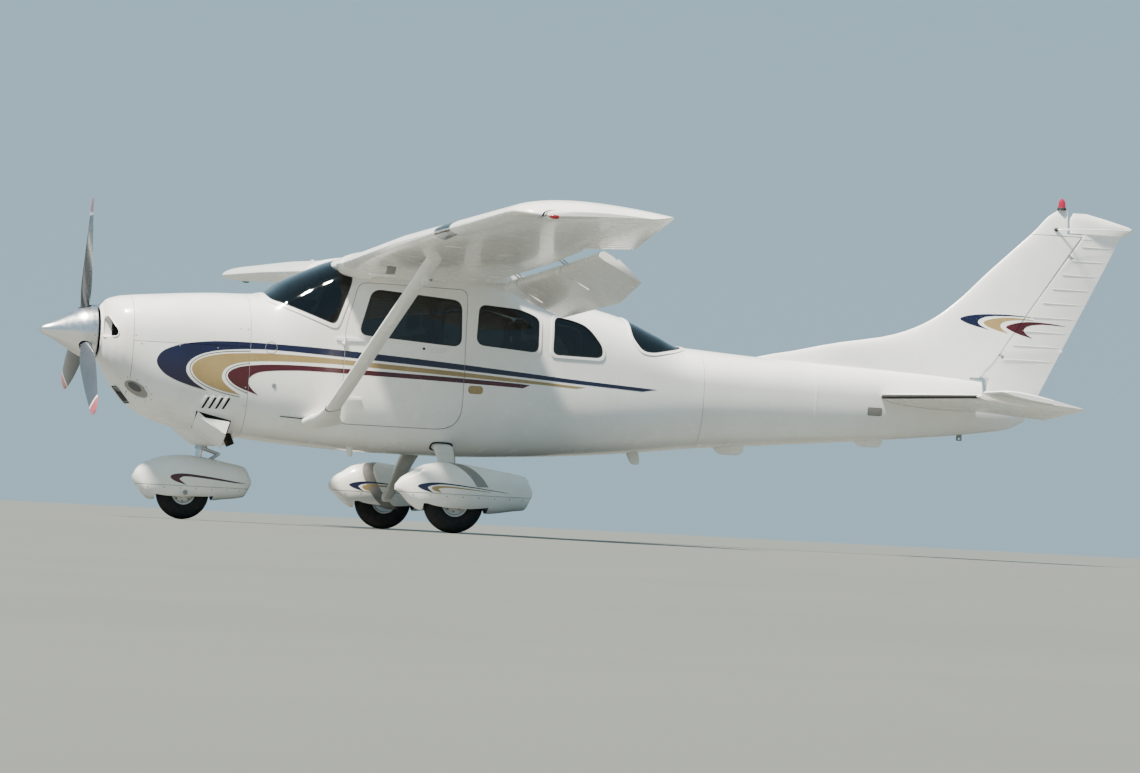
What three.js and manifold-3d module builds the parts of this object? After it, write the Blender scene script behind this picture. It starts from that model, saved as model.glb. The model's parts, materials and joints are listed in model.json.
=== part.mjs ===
// High-wing light aircraft with six seats, fixed tricycle gear and wheel fairings.
// Millimetres. +X points aft, +Y to starboard and +Z up. Inside the airframe group a station is
// measured aft from the spinner tip and a waterline up from the propeller axis.
import * as THREE from 'three';
import { mergeVertices } from 'three/addons/utils/BufferGeometryUtils.js';
import Module from 'manifold-3d';

const wasm = await Module();
wasm.setup();

// Driving dimensions
const overall = { length: 8610, ground: -1360 };
const seam = 0.3;                  // gap between pieces that touch
const moving = 6;                  // gap round pieces that move
const hingePin = 5;                // radius of a hinge pin
const pinBore = (hingePin + 0.5) / Math.cos(Math.PI / 8);
const wall = { side: 36, roof: 50, belly: 60, cowl: 14, glass: 8, tail: 7, fairing: 8, bulkhead: 40 };
const firewall = 1500;
const tailJoint = 5050;            // seam between cabin and tail cone
const propeller = { blade: 330, base: 405, radius: 1005, shank: 42, blades: 3, rest: 7.5 };
const wing = {
  root: 584, taper: 2540, rib: 5200, chord: 1626, endChord: 1086, lead: 2121, endLead: 2291, end: 5440,
  height: 591, dihedral: 0.035, incidence: 1.5, washout: 3, camber: 0.02, crest: 0.4, depth: 0.12,
};
const flap = {
  inner: 625, outer: 3385, nose: 3284, droop: 30, axisStation: 1132, axisDrop: 246, lip: 0.32, skin: 9,
  tracks: [1000, 2350], pinAt: 3360, corner: { lead: 3314, trail: 3747, out: 880 },
};
const aileron = { inner: 3425, outer: 5190, innerAxis: 3229, outerAxis: 3035, hinges: [3800, 4850] };
const tailplane = {
  half: 1980, hornFrom: 1500, lead: 6478, sweep: 0.268, hinge: 7300, level: -165, leadLevel: -135,
  rootTrail: 7900, tipTrail: 7565, hornLead: 6895, depth: 0.08, droop: 8.5, inner: 135, hinges: [430, 1200],
};
const rudderHinge = { low: [7430, 90], high: [8210, 1220] };
const strut = { root: [2105, 600, -545], top: [2440, 2450], chord: 150, thick: 54 };
const mainWheel = { station: 2940, out: 1235, radius: 222.5, width: 165, rim: 95, axle: 19 };
const noseWheel = { station: 1140, out: 0, radius: 200, width: 140, rim: 85, axle: 16 };
const steering = { at: [1257, -800], rake: 6.6, piston: 27, cylinder: 38 };
const tyreSides = 28;
const rimSides = 16;

// Finishes: colour, roughness, metalness
const finishes = {
  white: [0xe9eaea, 0.3, 0], silver: [0xc9ccd0, 0.2, 0.9], blade: [0x3a3d42, 0.45, 0.2],
  glass: [0x2b3338, 0.08, 0], rubber: [0x17171a, 0.9, 0], steel: [0x8c9096, 0.35, 0.8],
  cast: [0x55585c, 0.6, 0.6], cloth: [0x6d675f, 0.9, 0], panel: [0x1d1e20, 0.7, 0],
  carpet: [0x3b3a3a, 0.95, 0], lamp: [0xb01030, 0.15, 0], soot: [0x2a2320, 0.7, 0.5],
};

const airframe = new THREE.Group();
airframe.position.set(-overall.length / 2, 0, -overall.ground);

const rad = THREE.MathUtils.degToRad;
const lerp = THREE.MathUtils.lerp;
const aft = new THREE.Vector3(1, 0, 0);
const abeam = new THREE.Vector3(0, 1, 0);

// Closed mesh to solid, with its faces turned outwards
function solid(shape) {
  const bare = shape.clone();
  bare.deleteAttribute('normal');
  bare.deleteAttribute('uv');
  const merged = mergeVertices(bare, 1e-3);
  const spots = merged.attributes.position.array;
  const faces = [];
  let volume = 0;
  for (let i = 0; i < merged.index.count; i += 3) {
    const [a, b, c] = [0, 1, 2].map((k) => merged.index.getX(i + k));
    if (a === b || b === c || c === a) continue;
    const [p, q, r] = [a, b, c].map((n) => new THREE.Vector3().fromArray(spots, 3 * n));
    volume += p.dot(q.cross(r));
    faces.push([a, b, c]);
  }
  const turned = volume < 0 ? faces.map(([a, b, c]) => [a, c, b]) : faces;
  return new wasm.Manifold(new wasm.Mesh({
    numProp: 3, vertProperties: new Float32Array(spots), triVerts: new Uint32Array(turned.flat()),
  }));
}

function join(...parts) {
  return parts.reduce((sum, part) => sum.add(part));
}

function cut(body, ...tools) {
  return tools.reduce((left, tool) => left.subtract(tool), body);
}

function piece(name, body, finish) {
  const mesh = body.getMesh();
  const shape = new THREE.BufferGeometry();
  shape.setAttribute('position', new THREE.BufferAttribute(mesh.vertProperties, 3));
  shape.setIndex(new THREE.BufferAttribute(mesh.triVerts, 1));
  shape.computeVertexNormals();
  const [color, roughness, metalness] = finishes[finish];
  const item = new THREE.Mesh(shape, new THREE.MeshStandardMaterial({ color, roughness, metalness }));
  item.name = name;
  airframe.add(item);
}

// Body through rings of points, all rings with as many points
function loft(rings) {
  const sides = rings[0].length;
  const rows = rings.length - 1;
  const shape = new THREE.CylinderGeometry(1, 1, 1, sides, rows);
  const spots = shape.attributes.position;
  for (let i = 0; i < spots.count; i++) {
    const ring = rings[Math.round((0.5 - spots.getY(i)) * rows)];
    const onAxis = Math.hypot(spots.getX(i), spots.getZ(i)) < 0.5;
    const turn = Math.atan2(spots.getX(i), spots.getZ(i)) / (2 * Math.PI);
    const middle = [0, 1, 2].map((k) => ring.reduce((sum, spot) => sum + spot[k], 0) / sides);
    spots.setXYZ(i, ...(onAxis ? middle : ring[(Math.round(turn * sides) + sides) % sides]));
  }
  return solid(shape);
}

function box(x0, x1, y0, y1, z0, z1) {
  const shape = new THREE.BoxGeometry(x1 - x0, y1 - y0, z1 - z0);
  return solid(shape.translate((x0 + x1) / 2, (y0 + y1) / 2, (z0 + z1) / 2));
}

function rod(from, to, radius, sides = 8, endRadius = radius) {
  const start = new THREE.Vector3(...from);
  const run = new THREE.Vector3(...to).sub(start);
  const shape = new THREE.CylinderGeometry(endRadius, radius, run.length(), sides);
  const turn = new THREE.Quaternion().setFromUnitVectors(new THREE.Vector3(0, 1, 0), run.clone().normalize());
  shape.applyQuaternion(turn).translate(...start.addScaledVector(run, 0.5).toArray());
  return solid(shape);
}

// Outline with each corner eased by a curve that starts and ends at the given distance from it
function outline(corners, ease = 0) {
  const spots = corners.map(([x, z]) => new THREE.Vector2(x, z));
  const shape = new THREE.Shape();
  spots.forEach((spot, i) => {
    const before = spots.at(i - 1);
    const after = spots[(i + 1) % spots.length];
    const into = spot.clone().lerp(before, Math.min(ease / spot.distanceTo(before), 0.48));
    const out = spot.clone().lerp(after, Math.min(ease / spot.distanceTo(after), 0.48));
    if (i === 0) shape.moveTo(into.x, into.y);
    else shape.lineTo(into.x, into.y);
    if (ease) shape.quadraticCurveTo(spot.x, spot.y, out.x, out.y);
  });
  shape.closePath();
  return shape;
}

// Corners moved outwards by a distance, or inwards where it is negative
function grown(corners, distance) {
  const area = corners.reduce((sum, [x, z], i) => {
    const [nextX, nextZ] = corners[(i + 1) % corners.length];
    return sum + x * nextZ - nextX * z;
  }, 0);
  const side = Math.sign(area) * distance;
  return corners.map((corner, i) => {
    const here = new THREE.Vector2(...corner);
    const into = here.clone().sub(new THREE.Vector2(...corners.at(i - 1))).normalize();
    const out = new THREE.Vector2(...corners[(i + 1) % corners.length]).sub(here).normalize();
    const push = new THREE.Vector2(into.y + out.y, -into.x - out.x);
    const scale = side / (1 + into.dot(out));
    return [here.x + push.x * scale, here.y + push.y * scale];
  });
}

// Side-view outline swept from one buttline to another
function prism(shape, y0, y1, curveSegments = 2) {
  const body = new THREE.ExtrudeGeometry(shape, { depth: y1 - y0, bevelEnabled: false, curveSegments });
  return solid(body.rotateX(Math.PI / 2).translate(0, y1, 0));
}

// Plan-view outline raised from one level to another
function plan(corners, z0, z1) {
  const body = new THREE.ExtrudeGeometry(outline(corners), { depth: z1 - z0, bevelEnabled: false });
  return solid(body.translate(0, 0, z0));
}

// Turned body about a line along X or Y; profile rows are distance along the axis and radius
function turned(profile, sides, centre, along = 'x') {
  const shape = new THREE.LatheGeometry(profile.map(([run, r]) => new THREE.Vector2(r, run)), sides);
  shape.rotateY(Math.PI / sides);
  if (along === 'x') shape.rotateZ(-Math.PI / 2);
  if (along === 'z') shape.rotateX(Math.PI / 2);
  return solid(shape.translate(...centre));
}

const mirrored = (body) => body.mirror([0, 1, 0]);
const both = (body) => join(body, mirrored(body));

// Body made round the origin, turned about Y so that its nose drops, and moved to a place
function rolled(body, degrees, x, z) {
  return body.translate([-x, 0, -z]).rotate([0, degrees, 0]).translate([x, 0, z]);
}

// Hull: station, half width, top, bottom, level of the widest line, upper and lower squareness
const hullColumns = ['station', 'half', 'top', 'bottom', 'widest', 'upper', 'lower'];
const hullTable = [
  [440, 235, 215, -200, 0, 2, 2],
  [475, 335, 250, -250, 0, 2.2, 2.2],
  [520, 400, 268, -320, -10, 2.4, 2.3],
  [580, 440, 283, -400, -20, 2.6, 2.4],
  [700, 470, 298, -535, -40, 2.8, 2.5],
  [850, 490, 312, -620, -60, 2.9, 2.7],
  [1070, 510, 332, -680, -80, 3, 2.9],
  [1300, 530, 347, -710, -100, 3, 3.1],
  [1500, 545, 353, -725, -110, 3, 3.3],
  [1640, 553, 366, -738, -120, 2.9, 3.4],
  [1800, 562, 470, -750, -120, 2.9, 3.5],
  [2000, 571, 572, -762, -100, 3.2, 3.6],
  [2240, 579, 665, -775, -80, 3.8, 3.8],
  [2600, 585, 712, -785, -60, 4.2, 4],
  [3100, 585, 690, -785, -60, 4.2, 4],
  [3400, 580, 640, -775, -60, 4, 4],
  [3750, 562, 545, -755, -60, 3.6, 3.8],
  [4100, 528, 430, -728, -70, 3.2, 3.6],
  [4450, 486, 345, -694, -90, 2.8, 3.3],
  [4700, 450, 243, -665, -110, 2.6, 3.1],
  [4920, 415, 155, -636, -130, 2.4, 2.9],
  [5050, 395, 146, -620, -140, 2.4, 2.8],
  [5500, 330, 120, -578, -150, 2.4, 2.6],
  [6000, 262, 98, -530, -160, 2.4, 2.5],
  [6500, 195, 82, -480, -165, 2.4, 2.4],
  [7000, 130, 66, -425, -165, 2.3, 2.3],
  [7400, 82, 50, -372, -165, 2.2, 2.2],
  [7650, 52, 20, -325, -170, 2, 2],
  [7780, 22, -150, -260, -205, 2, 2],
].map((row) => Object.fromEntries(row.map((value, i) => [hullColumns[i], value])));

function hullAt(station) {
  const after = hullTable.findIndex((row) => row.station >= station);
  const [a, b] = after < 1 ? [hullTable[0], hullTable[0]] : [hullTable[after - 1], hullTable[after]];
  const t = a === b ? 0 : (station - a.station) / (b.station - a.station);
  return Object.fromEntries(hullColumns.map((key) => [key, lerp(a[key], b[key], t)]));
}

const arc = (turn, power) => Math.sign(turn) * Math.abs(turn) ** (2 / power);

// Ring of the hull at a station, drawn in by separate amounts at the side, top and bottom
function hullRing(station, side = 0, top = side, bottom = side, sides = 20) {
  const row = hullAt(station);
  return Array.from({ length: sides }, (_, k) => {
    const turn = ((k + 0.5) / sides) * 2 * Math.PI;
    const rise = Math.sin(turn);
    const power = rise > 0 ? row.upper : row.lower;
    const height = rise > 0 ? row.top - top - row.widest : row.widest - row.bottom - bottom;
    return [station, (row.half - side) * arc(Math.cos(turn), power), row.widest + height * arc(rise, power)];
  });
}

function hull(from, to, side = 0, top = side, bottom = side) {
  const rows = hullTable.filter((row) => row.station > from + 1 && row.station < to - 1);
  const stations = [from, ...rows.map((row) => row.station), to];
  return loft(stations.map((station) => hullRing(station, side, top, bottom)));
}

const far = 3000;
const between = (from, to) => box(from, to, -far, far, -far, far);
const above = (level) => box(0, 9000, -far, far, level, far);
const below = (level) => box(0, 9000, -far, far, -far, level);

// Wing: leading edge, chord and set at a buttline, and its surface points
function wingAt(y) {
  const t = Math.max(0, (y - wing.taper) / (wing.end - wing.taper));
  return {
    lead: lerp(wing.lead, wing.endLead, t), chord: lerp(wing.chord, wing.endChord, t),
    level: wing.height + wing.dihedral * (y - wing.root), set: rad(wing.incidence - wing.washout * t),
  };
}

function thickness(x) {
  return 5 * (0.2969 * Math.sqrt(x) - 0.126 * x - 0.3516 * x ** 2 + 0.2843 * x ** 3 - 0.1015 * x ** 4);
}

function camber(x) {
  const ahead = x < wing.crest;
  const scale = wing.camber / (ahead ? wing.crest : 1 - wing.crest) ** 2;
  return scale * ((ahead ? 0 : 1 - 2 * wing.crest) + 2 * wing.crest * x - x * x);
}

// Point of the wing section at a share of the chord; side is 1 on top, -1 below and 0 on the mean line
function wingSpot(y, share, side, inset = 0) {
  const { lead, chord, level, set } = wingAt(y);
  const rise = chord * (camber(share) + side * wing.depth * thickness(share)) - (share ? side * inset : 0);
  const run = share ? share * chord : inset;
  const [c, s] = [Math.cos(set), Math.sin(set)];
  return [lead + run * c + rise * s, level - run * s + rise * c];
}

const shareAt = (y, station) => (station - wingAt(y).lead) / wingAt(y).chord;
const spread = (count) => (
  Array.from({ length: count + 1 }, (_, i) => (1 - Math.cos((Math.PI * i) / count)) / 2)
);

function wingRing(y, grow = 0) {
  const shares = spread(9);
  const top = shares.map((share) => wingSpot(y, share, 1, -grow)).reverse();
  const under = shares.slice(1).map((share) => wingSpot(y, share, -1, -grow));
  return [...top, ...under].map(([x, z]) => [x, y, z]);
}

const wingLoft = (buttlines, grow = 0) => loft(buttlines.map((y) => wingRing(y, grow)));
const wingBody = wingLoft([wing.root + seam, wing.taper, wing.rib - seam]);

// Round-nosed control surface section about its hinge, in the plane of a ring: nose, then trailing edge
function noseRing(centre, radius, trail, place, stretch = 1, steps = 6) {
  const [cx, cz] = centre;
  const lean = Math.atan2(trail[1] - cz, trail[0] - cx);
  const nose = Array.from({ length: steps + 1 }, (_, i) => {
    const turn = lean + Math.PI / 2 + (Math.PI * i) / steps;
    return [cx + stretch * radius * Math.cos(turn), cz + radius * Math.sin(turn)];
  });
  const end = [[trail[0], trail[1] - 2], [trail[0], trail[1] + 2]];
  return [...nose, ...end].map(([u, v]) => place(u, v));
}

// Frame of a hinge: its place, the way along the pin and the way aft
function frameAt(spot, along, aft) {
  const side = new THREE.Vector3().crossVectors(along, aft).normalize();
  const back = new THREE.Vector3().crossVectors(side, along).normalize();
  return new THREE.Matrix4().makeBasis(back, side, along.clone().normalize()).setPosition(...spot);
}

function inFrame(body, frame) {
  return body.transform(frame.elements);
}

// Bracket of a fixed surface in a notch of a moving one, held by a pin of the moving one
const bracket = { half: 6, notch: 14, arm: 11 };
function hingeParts(frame, radius) {
  const clear = Math.max(0.75 * radius, bracket.arm + moving);
  const reach = -radius - 40;
  const arm = box(reach, bracket.arm, -bracket.arm, bracket.arm, -bracket.half, bracket.half);
  const bore = rod([0, 0, -far], [0, 0, far], pinBore);
  return {
    notch: inFrame(box(-radius - 5, clear, -far / 10, far / 10, -bracket.notch, bracket.notch), frame),
    pin: inFrame(rod([0, 0, -bracket.notch - 8], [0, 0, bracket.notch + 8], hingePin), frame),
    arm: inFrame(arm.subtract(bore), frame),
  };
}

// Ailerons and flaps of the port wing; the starboard ones mirror them
const aileronAxis = (y) => {
  const t = (y - aileron.inner) / (aileron.outer - aileron.inner);
  const station = lerp(aileron.innerAxis, aileron.outerAxis, t);
  const share = shareAt(y, station);
  return { centre: wingSpot(y, share, 0), radius: 0.93 * wing.depth * thickness(share) * wingAt(y).chord };
};

function aileronLoft(from, to, grow) {
  return loft([from, to].map((y) => {
    const { centre, radius } = aileronAxis(y);
    const trail = grow ? [centre[0] + 900, centre[1]] : wingSpot(y, 1, 0);
    return noseRing(centre, radius + grow, trail, (x, z) => [x, y, z], 1, 5);
  }));
}

const flapAxis = (y) => [
  wing.lead + flap.axisStation, wing.height + wing.dihedral * (y - wing.root) - flap.axisDrop,
];

// Flap section with the flap in, grown by a clearance: round nose, upper skin below the lip, trailing edge
function flapRing(y, grow) {
  const nose = shareAt(y, flap.nose);
  const lip = lerp(nose, 1, flap.lip);
  const tuck = flap.skin + moving - grow;
  const [noseX] = wingSpot(y, nose, 0);
  const high = wingSpot(y, nose, 1, tuck)[1] - 14;
  const low = wingSpot(y, nose + 0.015, -1)[1];
  const middle = (high + low) / 2;
  const half = (high - low) / 2;
  const depth = 0.9 * half;
  const front = [60, 30, 0, -30, -60].map(rad).map((turn) => [
    noseX + depth - (depth + grow) * Math.cos(turn), middle + (half + grow) * Math.sin(turn),
  ]);
  const top = [
    wingSpot(y, lip + 0.012, 1), wingSpot(y, lip + 0.008, 1, tuck), wingSpot(y, nose + 0.06, 1, tuck),
  ];
  const under = [0.03, 0.12].map((step) => wingSpot(y, nose + step, -1, -grow));
  return [wingSpot(y, 1, 1), ...top, ...front, ...under, wingSpot(y, 1, -1)].map(([x, z]) => [x, y, z]);
}

// Space for the flap: its own form with a clearance, open below and behind the lip
function flapBay(from, to) {
  const stops = [from, wing.taper, to].filter((y, i, all) => i === 0 || y > all[i - 1]);
  return loft(stops.map((y) => {
    const nose = shareAt(y, flap.nose);
    const lip = lerp(nose, 1, flap.lip);
    const front = wingSpot(y, nose, 0)[0] - moving;
    const [lipX, lipZ] = wingSpot(y, lip, 1, flap.skin);
    const under = wingSpot(y, nose, 1, flap.skin);
    return [
      [lipX, lipZ + 60], [lipX, lipZ], [under[0] + 40, wingSpot(y, nose + 0.03, 1, flap.skin)[1]],
      [front + 8, under[1] - 16], [front, under[1] - 40], [front, under[1] - 400],
      [lipX + 900, under[1] - 400], [lipX + 900, lipZ + 60],
    ].map(([x, z]) => [x, y, z]);
  }));
}

const flapAlong = new THREE.Vector3(0, 1, wing.dihedral).normalize();

// Turn about the flap's axis, which runs along the span below the wing
function flapTurned(body, degrees) {
  const [x, z] = flapAxis(wing.root);
  const turn = new THREE.Matrix4().makeRotationAxis(flapAlong, rad(degrees));
  const back = new THREE.Matrix4().makeTranslation(-x, -wing.root, -z);
  const there = new THREE.Matrix4().makeTranslation(x, wing.root, z);
  return body.transform(there.multiply(turn).multiply(back).elements);
}

// Track plate with a slot that curves about the flap's axis, and the pin of the flap in it
function trackAt(y) {
  const [axisX, axisZ] = flapAxis(y);
  const [, pinZ] = wingSpot(y, shareAt(y, flap.pinAt), 0);
  const reach = Math.hypot(flap.pinAt - axisX, pinZ - axisZ);
  const start = Math.atan2(pinZ - axisZ, flap.pinAt - axisX);
  const band = (half, from, to, steps) => {
    const turns = Array.from({ length: steps + 1 }, (_, i) => lerp(from, to, i / steps));
    const line = (r) => turns.map((turn) => [axisX + r * Math.cos(turn), axisZ + r * Math.sin(turn)]);
    return [...line(reach + half), ...line(reach - half).reverse()];
  };
  const plate = outline(band(15, start + rad(5), start - rad(45), 8));
  const slot = outline(band(hingePin + 0.5, start + rad(1.6), start - rad(41.6), 12));
  const root = outline([
    [flap.nose - 45, pinZ - 22], [flap.nose - 45, pinZ + 14],
    [flap.pinAt - 22, pinZ + 14], [flap.pinAt - 8, pinZ - 10],
  ]);
  return {
    plate: cut(join(prism(plate, y - 4, y + 4), prism(root, y - 4, y + 4)), prism(slot, y - 9, y + 9)),
    pin: rod([flap.pinAt, y - 22, pinZ], [flap.pinAt, y + 22, pinZ], hingePin),
    notch: box(flap.nose - 30, axisX + reach + 25, y - 11, y + 11, pinZ - 150, pinZ + 150),
  };
}

const tracks = flap.tracks.map(trackAt);
const flapLoft = (grow) => loft([flap.inner, wing.taper, flap.outer].map((y) => flapRing(y, grow)));
// The inner corner is cut away aft, clear of the doors
const { corner } = flap;
const cornerSlope = (corner.out - flap.inner) / (corner.trail - corner.lead);
const innerCorner = plan([
  [corner.lead, 0], [corner.trail + 400, 0], [corner.trail + 400, corner.out + 400 * cornerSlope],
  [corner.lead, flap.inner],
], 0, 1200);
const flapIn = join(
  cut(flapLoft(0), innerCorner, ...tracks.map((track) => track.notch)), ...tracks.map((track) => track.pin),
);
const flapBody = flapTurned(flapIn, flap.droop);

const aileronAlong = () => {
  const [inner, outer] = aileron.hinges.map((y) => {
    const [x, z] = aileronAxis(y).centre;
    return new THREE.Vector3(x, y, z);
  });
  return outer.sub(inner).normalize();
};
const aileronHinges = aileron.hinges.map((y) => {
  const { centre, radius } = aileronAxis(y);
  const frame = frameAt([centre[0], y, centre[1]], aileronAlong(), aft);
  return hingeParts(frame, radius);
});
const aileronBody = join(
  cut(aileronLoft(aileron.inner, aileron.outer, 0), ...aileronHinges.map((hinge) => hinge.notch)),
  ...aileronHinges.map((hinge) => hinge.pin),
);

// Landing lamp cover in the port leading edge
const lamp = { from: 3520, to: 3900, depth: 85 };
const lampBox = (grow) => box(
  wing.lead - 50, wingAt(lamp.from).lead + lamp.depth + grow, lamp.from - grow, lamp.to + grow, 0, 1200,
);

const aileronBay = join(
  aileronLoft(aileron.inner - moving, wing.rib + 40, moving),
  loft([aileron.inner - moving, wing.rib + 40].map((y) => {
    const [x] = aileronAxis(y).centre;
    return [[x, 300], [x, 1200], [4300, 1200], [4300, 300]].map(([u, v]) => [u, y, v]);
  })),
  box(aileron.innerAxis + 40, 4300, flap.outer, aileron.inner, 300, 1100),
);
const fixedWing = join(
  cut(wingBody, flapBay(wing.root - 50, flap.outer + moving), aileronBay),
  ...tracks.map((track) => track.plate), ...aileronHinges.map((hinge) => hinge.arm),
);

// Wing tip: buttline, share of the chord kept, step aft of its leading edge, droop and depth
const tipTable = [
  [wing.rib, 1, 0, 0, 1],
  [5300, 0.985, 8, -2, 0.93],
  [5400, 0.93, 40, -14, 0.74],
  [5455, 0.82, 100, -30, 0.5],
  [5486, 0.66, 190, -44, 0.22],
];
const tipBody = loft(tipTable.map(([y, keep, step, droop, deep], i) => {
  const centre = wingSpot(y, 0.5, 0);
  return wingRing(y, -seam).map(([x, , z]) => {
    const meanZ = wingSpot(y, THREE.MathUtils.clamp(shareAt(y, x), 0, 1), 0)[1];
    const lead = wingAt(y).lead;
    const level = centre[1] + droop + (meanZ - centre[1]) * keep + (z - meanZ) * deep;
    return [lead + step + (x - lead) * keep, y + (i ? 0 : seam), level];
  });
}));

for (const [side, turn] of [['left', mirrored], ['right', (body) => body]]) {
  const lampCut = side === 'left' ? [lampBox(seam)] : [];
  piece(`wing_${side}`, turn(cut(fixedWing, ...lampCut)), 'white');
  piece(`wing_tip_${side}`, turn(tipBody), 'white');
  piece(`flap_${side}`, turn(flapBody), 'white');
  piece(`aileron_${side}`, turn(aileronBody), 'white');
}
piece('landing_lamp_cover', mirrored(wingBody.intersect(lampBox(-seam))), 'glass');

// Doors and windows: side-view corners
const openings = {
  pilotDoor: [[2206, -588], [2206, 130], [2300, 470], [3122, 462], [3122, -588]],
  pilotWindow: [[2302, 100], [2395, 428], [3082, 378], [3092, 52]],
  cargoFront: [[3152, -560], [3152, 420], [3560, 366], [3740, 316], [3740, -560]],
  cargoRear: [[3758, -560], [3758, 320], [3960, 312], [4280, 262], [4280, -500]],
  cargoBay: [
    [3152, -560], [3152, 420], [3560, 366], [3740, 324], [3960, 312], [4280, 262], [4280, -500], [3758, -560],
  ],
  windowTwo: [[3202, 58], [3216, 362], [3520, 344], [3600, 322], [3692, 282], [3692, 24]],
  windowThree: [[3806, 18], [3812, 308], [3960, 288], [4085, 248], [4200, 100], [4205, 14]],
  windshield: [[1640, 318], [2128, 140], [2250, 482], [2242, 900], [1640, 900]],
  rearWindow: [[4462, 600], [4450, 200], [4530, 92], [4620, 80], [4860, 128], [4925, 152], [4925, 600]],
};
const ease = 55;

const hullSkin = hull(firewall + seam / 2, tailJoint - seam / 2);
const rootRing = wingRing(wing.root);
const centreWing = loft([-wing.root, wing.root].map((y) => rootRing.map(([x, , z]) => [x, y, z])));
const voidStations = [
  firewall + 15, 1640, 2000, 2300, 2600, 3100, 3600, 4100, 4500, tailJoint - wall.bulkhead,
];
const cabinSpace = (inset, foot = inset) => loft(voidStations.map((station) => (
  hullRing(station, wall.side + inset, wall.roof + inset, wall.belly + foot, 16)
)));
const cabinVoid = cabinSpace(0);
const glassSkin = cut(hull(firewall + 1, tailJoint - 1, 4), hull(firewall, tailJoint, 4 + wall.glass));

const port = [-far, -250];
const starboard = [250, far];
const opening = (name, sides, growth = 0, round = ease) => (
  prism(outline(grown(openings[name], growth), round), ...sides)
);

// Door panels: name, opening, side, window in it
const doors = [
  ['pilot_door', 'pilotDoor', port, 'pilotWindow', 'pilot_door_window'],
  ['cargo_door_front', 'cargoFront', starboard, 'windowTwo', 'cargo_window_front'],
  ['cargo_door_rear', 'cargoRear', starboard, 'windowThree', 'cargo_window_rear'],
];
const fixedWindows = [
  ['window_left_middle', 'windowTwo', port], ['window_left_rear', 'windowThree', port],
  ['window_right_front', 'pilotWindow', starboard],
];
const across = [-far, far];

// Door hinges: door, station and sense of the pin line, and levels
const doorHinges = [
  ['pilot_door', 2200, 1, -1, [-400, 40]],
  ['cargo_door_front', 3146, 1, 1, [-400, 150]],
  ['cargo_door_rear', 4286, -1, 1, [-380, 120]],
];
const doorPin = { out: 12, barrel: 9, half: 18, foot: 10 };

function doorHinge([, station, sense, side, levels], pins) {
  const out = side * (hullAt(station).half + doorPin.out);
  return join(...levels.map((level) => {
    const at = (dz) => [station, out, level + dz];
    const inward = (run, dz) => [station + run, out - side * 40, level + dz];
    if (pins) {
      const foot = rod(at(-doorPin.half - 12), inward(-sense * 30, -doorPin.half - 12), doorPin.foot);
      const collar = rod(at(-doorPin.half - 22), at(-doorPin.half - 0.5), doorPin.barrel);
      return join(foot, collar, rod(at(-doorPin.half - 10), at(doorPin.half), hingePin));
    }
    const barrel = rod(at(-doorPin.half), at(doorPin.half), doorPin.barrel);
    const leaf = rod(at(0), inward(sense * 34, 0), doorPin.foot - 2);
    return cut(join(barrel, leaf), rod(at(-60), at(60), pinBore));
  }));
}

// Main leg, spring steel: buttline, station, level, half chord, half thickness
const axleLevel = (wheel) => overall.ground + wheel.radius * Math.cos(Math.PI / tyreSides);
const legTable = [
  [330, 3005, -708, 75, 24],
  [480, 3005, -722, 75, 28],
  [1060, 2950, -1088, 36, 20],
  [1145, 2941, axleLevel(mainWheel), 32, 20],
];
const superRing = (sides, power, place) => Array.from({ length: sides }, (_, k) => {
  const turn = ((k + 0.5) / sides) * 2 * Math.PI;
  return place(arc(Math.cos(turn), power), arc(Math.sin(turn), power));
});
const legLoft = (grow) => loft(legTable.map(([y, x, z, halfX, halfZ]) => superRing(12, 3.2, (u, v) => (
  [x + u * (halfX + grow), y, z + v * (halfZ + grow)]
))));
const axleAt = (wheel, from, to, radius) => (
  rod([wheel.station, from, axleLevel(wheel)], [wheel.station, to, axleLevel(wheel)], radius, 20)
);
const legBody = join(legLoft(0), axleAt(mainWheel, 1140, 1335, mainWheel.axle));

const shellOpenings = [
  opening('windshield', across), opening('rearWindow', across),
  opening('pilotDoor', port, moving), opening('cargoBay', starboard, moving),
  ...fixedWindows.map(([, name, side]) => opening(name, side)),
];
const cabinShell = join(
  cut(join(hullSkin, centreWing), cabinVoid, ...shellOpenings, both(legLoft(seam))),
  ...doorHinges.map((row) => doorHinge(row, true)),
);
piece('cabin_shell', cabinShell, 'white');
piece('windshield', glassSkin.intersect(opening('windshield', across, -seam)), 'glass');
piece('rear_window', glassSkin.intersect(opening('rearWindow', across, -seam)), 'glass');
for (const [name, hole, side] of fixedWindows) {
  piece(name, glassSkin.intersect(opening(hole, side, -seam)), 'glass');
}
doors.forEach(([name, hole, side, window, glassName], i) => {
  const panel = cut(hullSkin.intersect(opening(hole, side)), cabinVoid, opening(window, side));
  piece(name, join(panel, doorHinge(doorHinges[i], false)), 'white');
  piece(glassName, glassSkin.intersect(opening(window, side, -seam)), 'glass');
});

// Cabin fittings
const floorTop = -560;
const floorSpace = cabinSpace(moving + 3, seam).intersect(between(1600, 4400));
piece('cabin_floor', cut(floorSpace.intersect(below(floorTop)), both(legLoft(seam))), 'carpet');
const panelSide = [
  [1530, 250], [1640, 282], [1960, 322], [1992, 318], [1985, 285], [1950, 262],
  [1925, -60], [1870, -60], [1850, 180], [1530, 200],
];
piece('instrument_panel', cabinSpace(seam).intersect(prism(outline(panelSide), -far, far)), 'panel');

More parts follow.
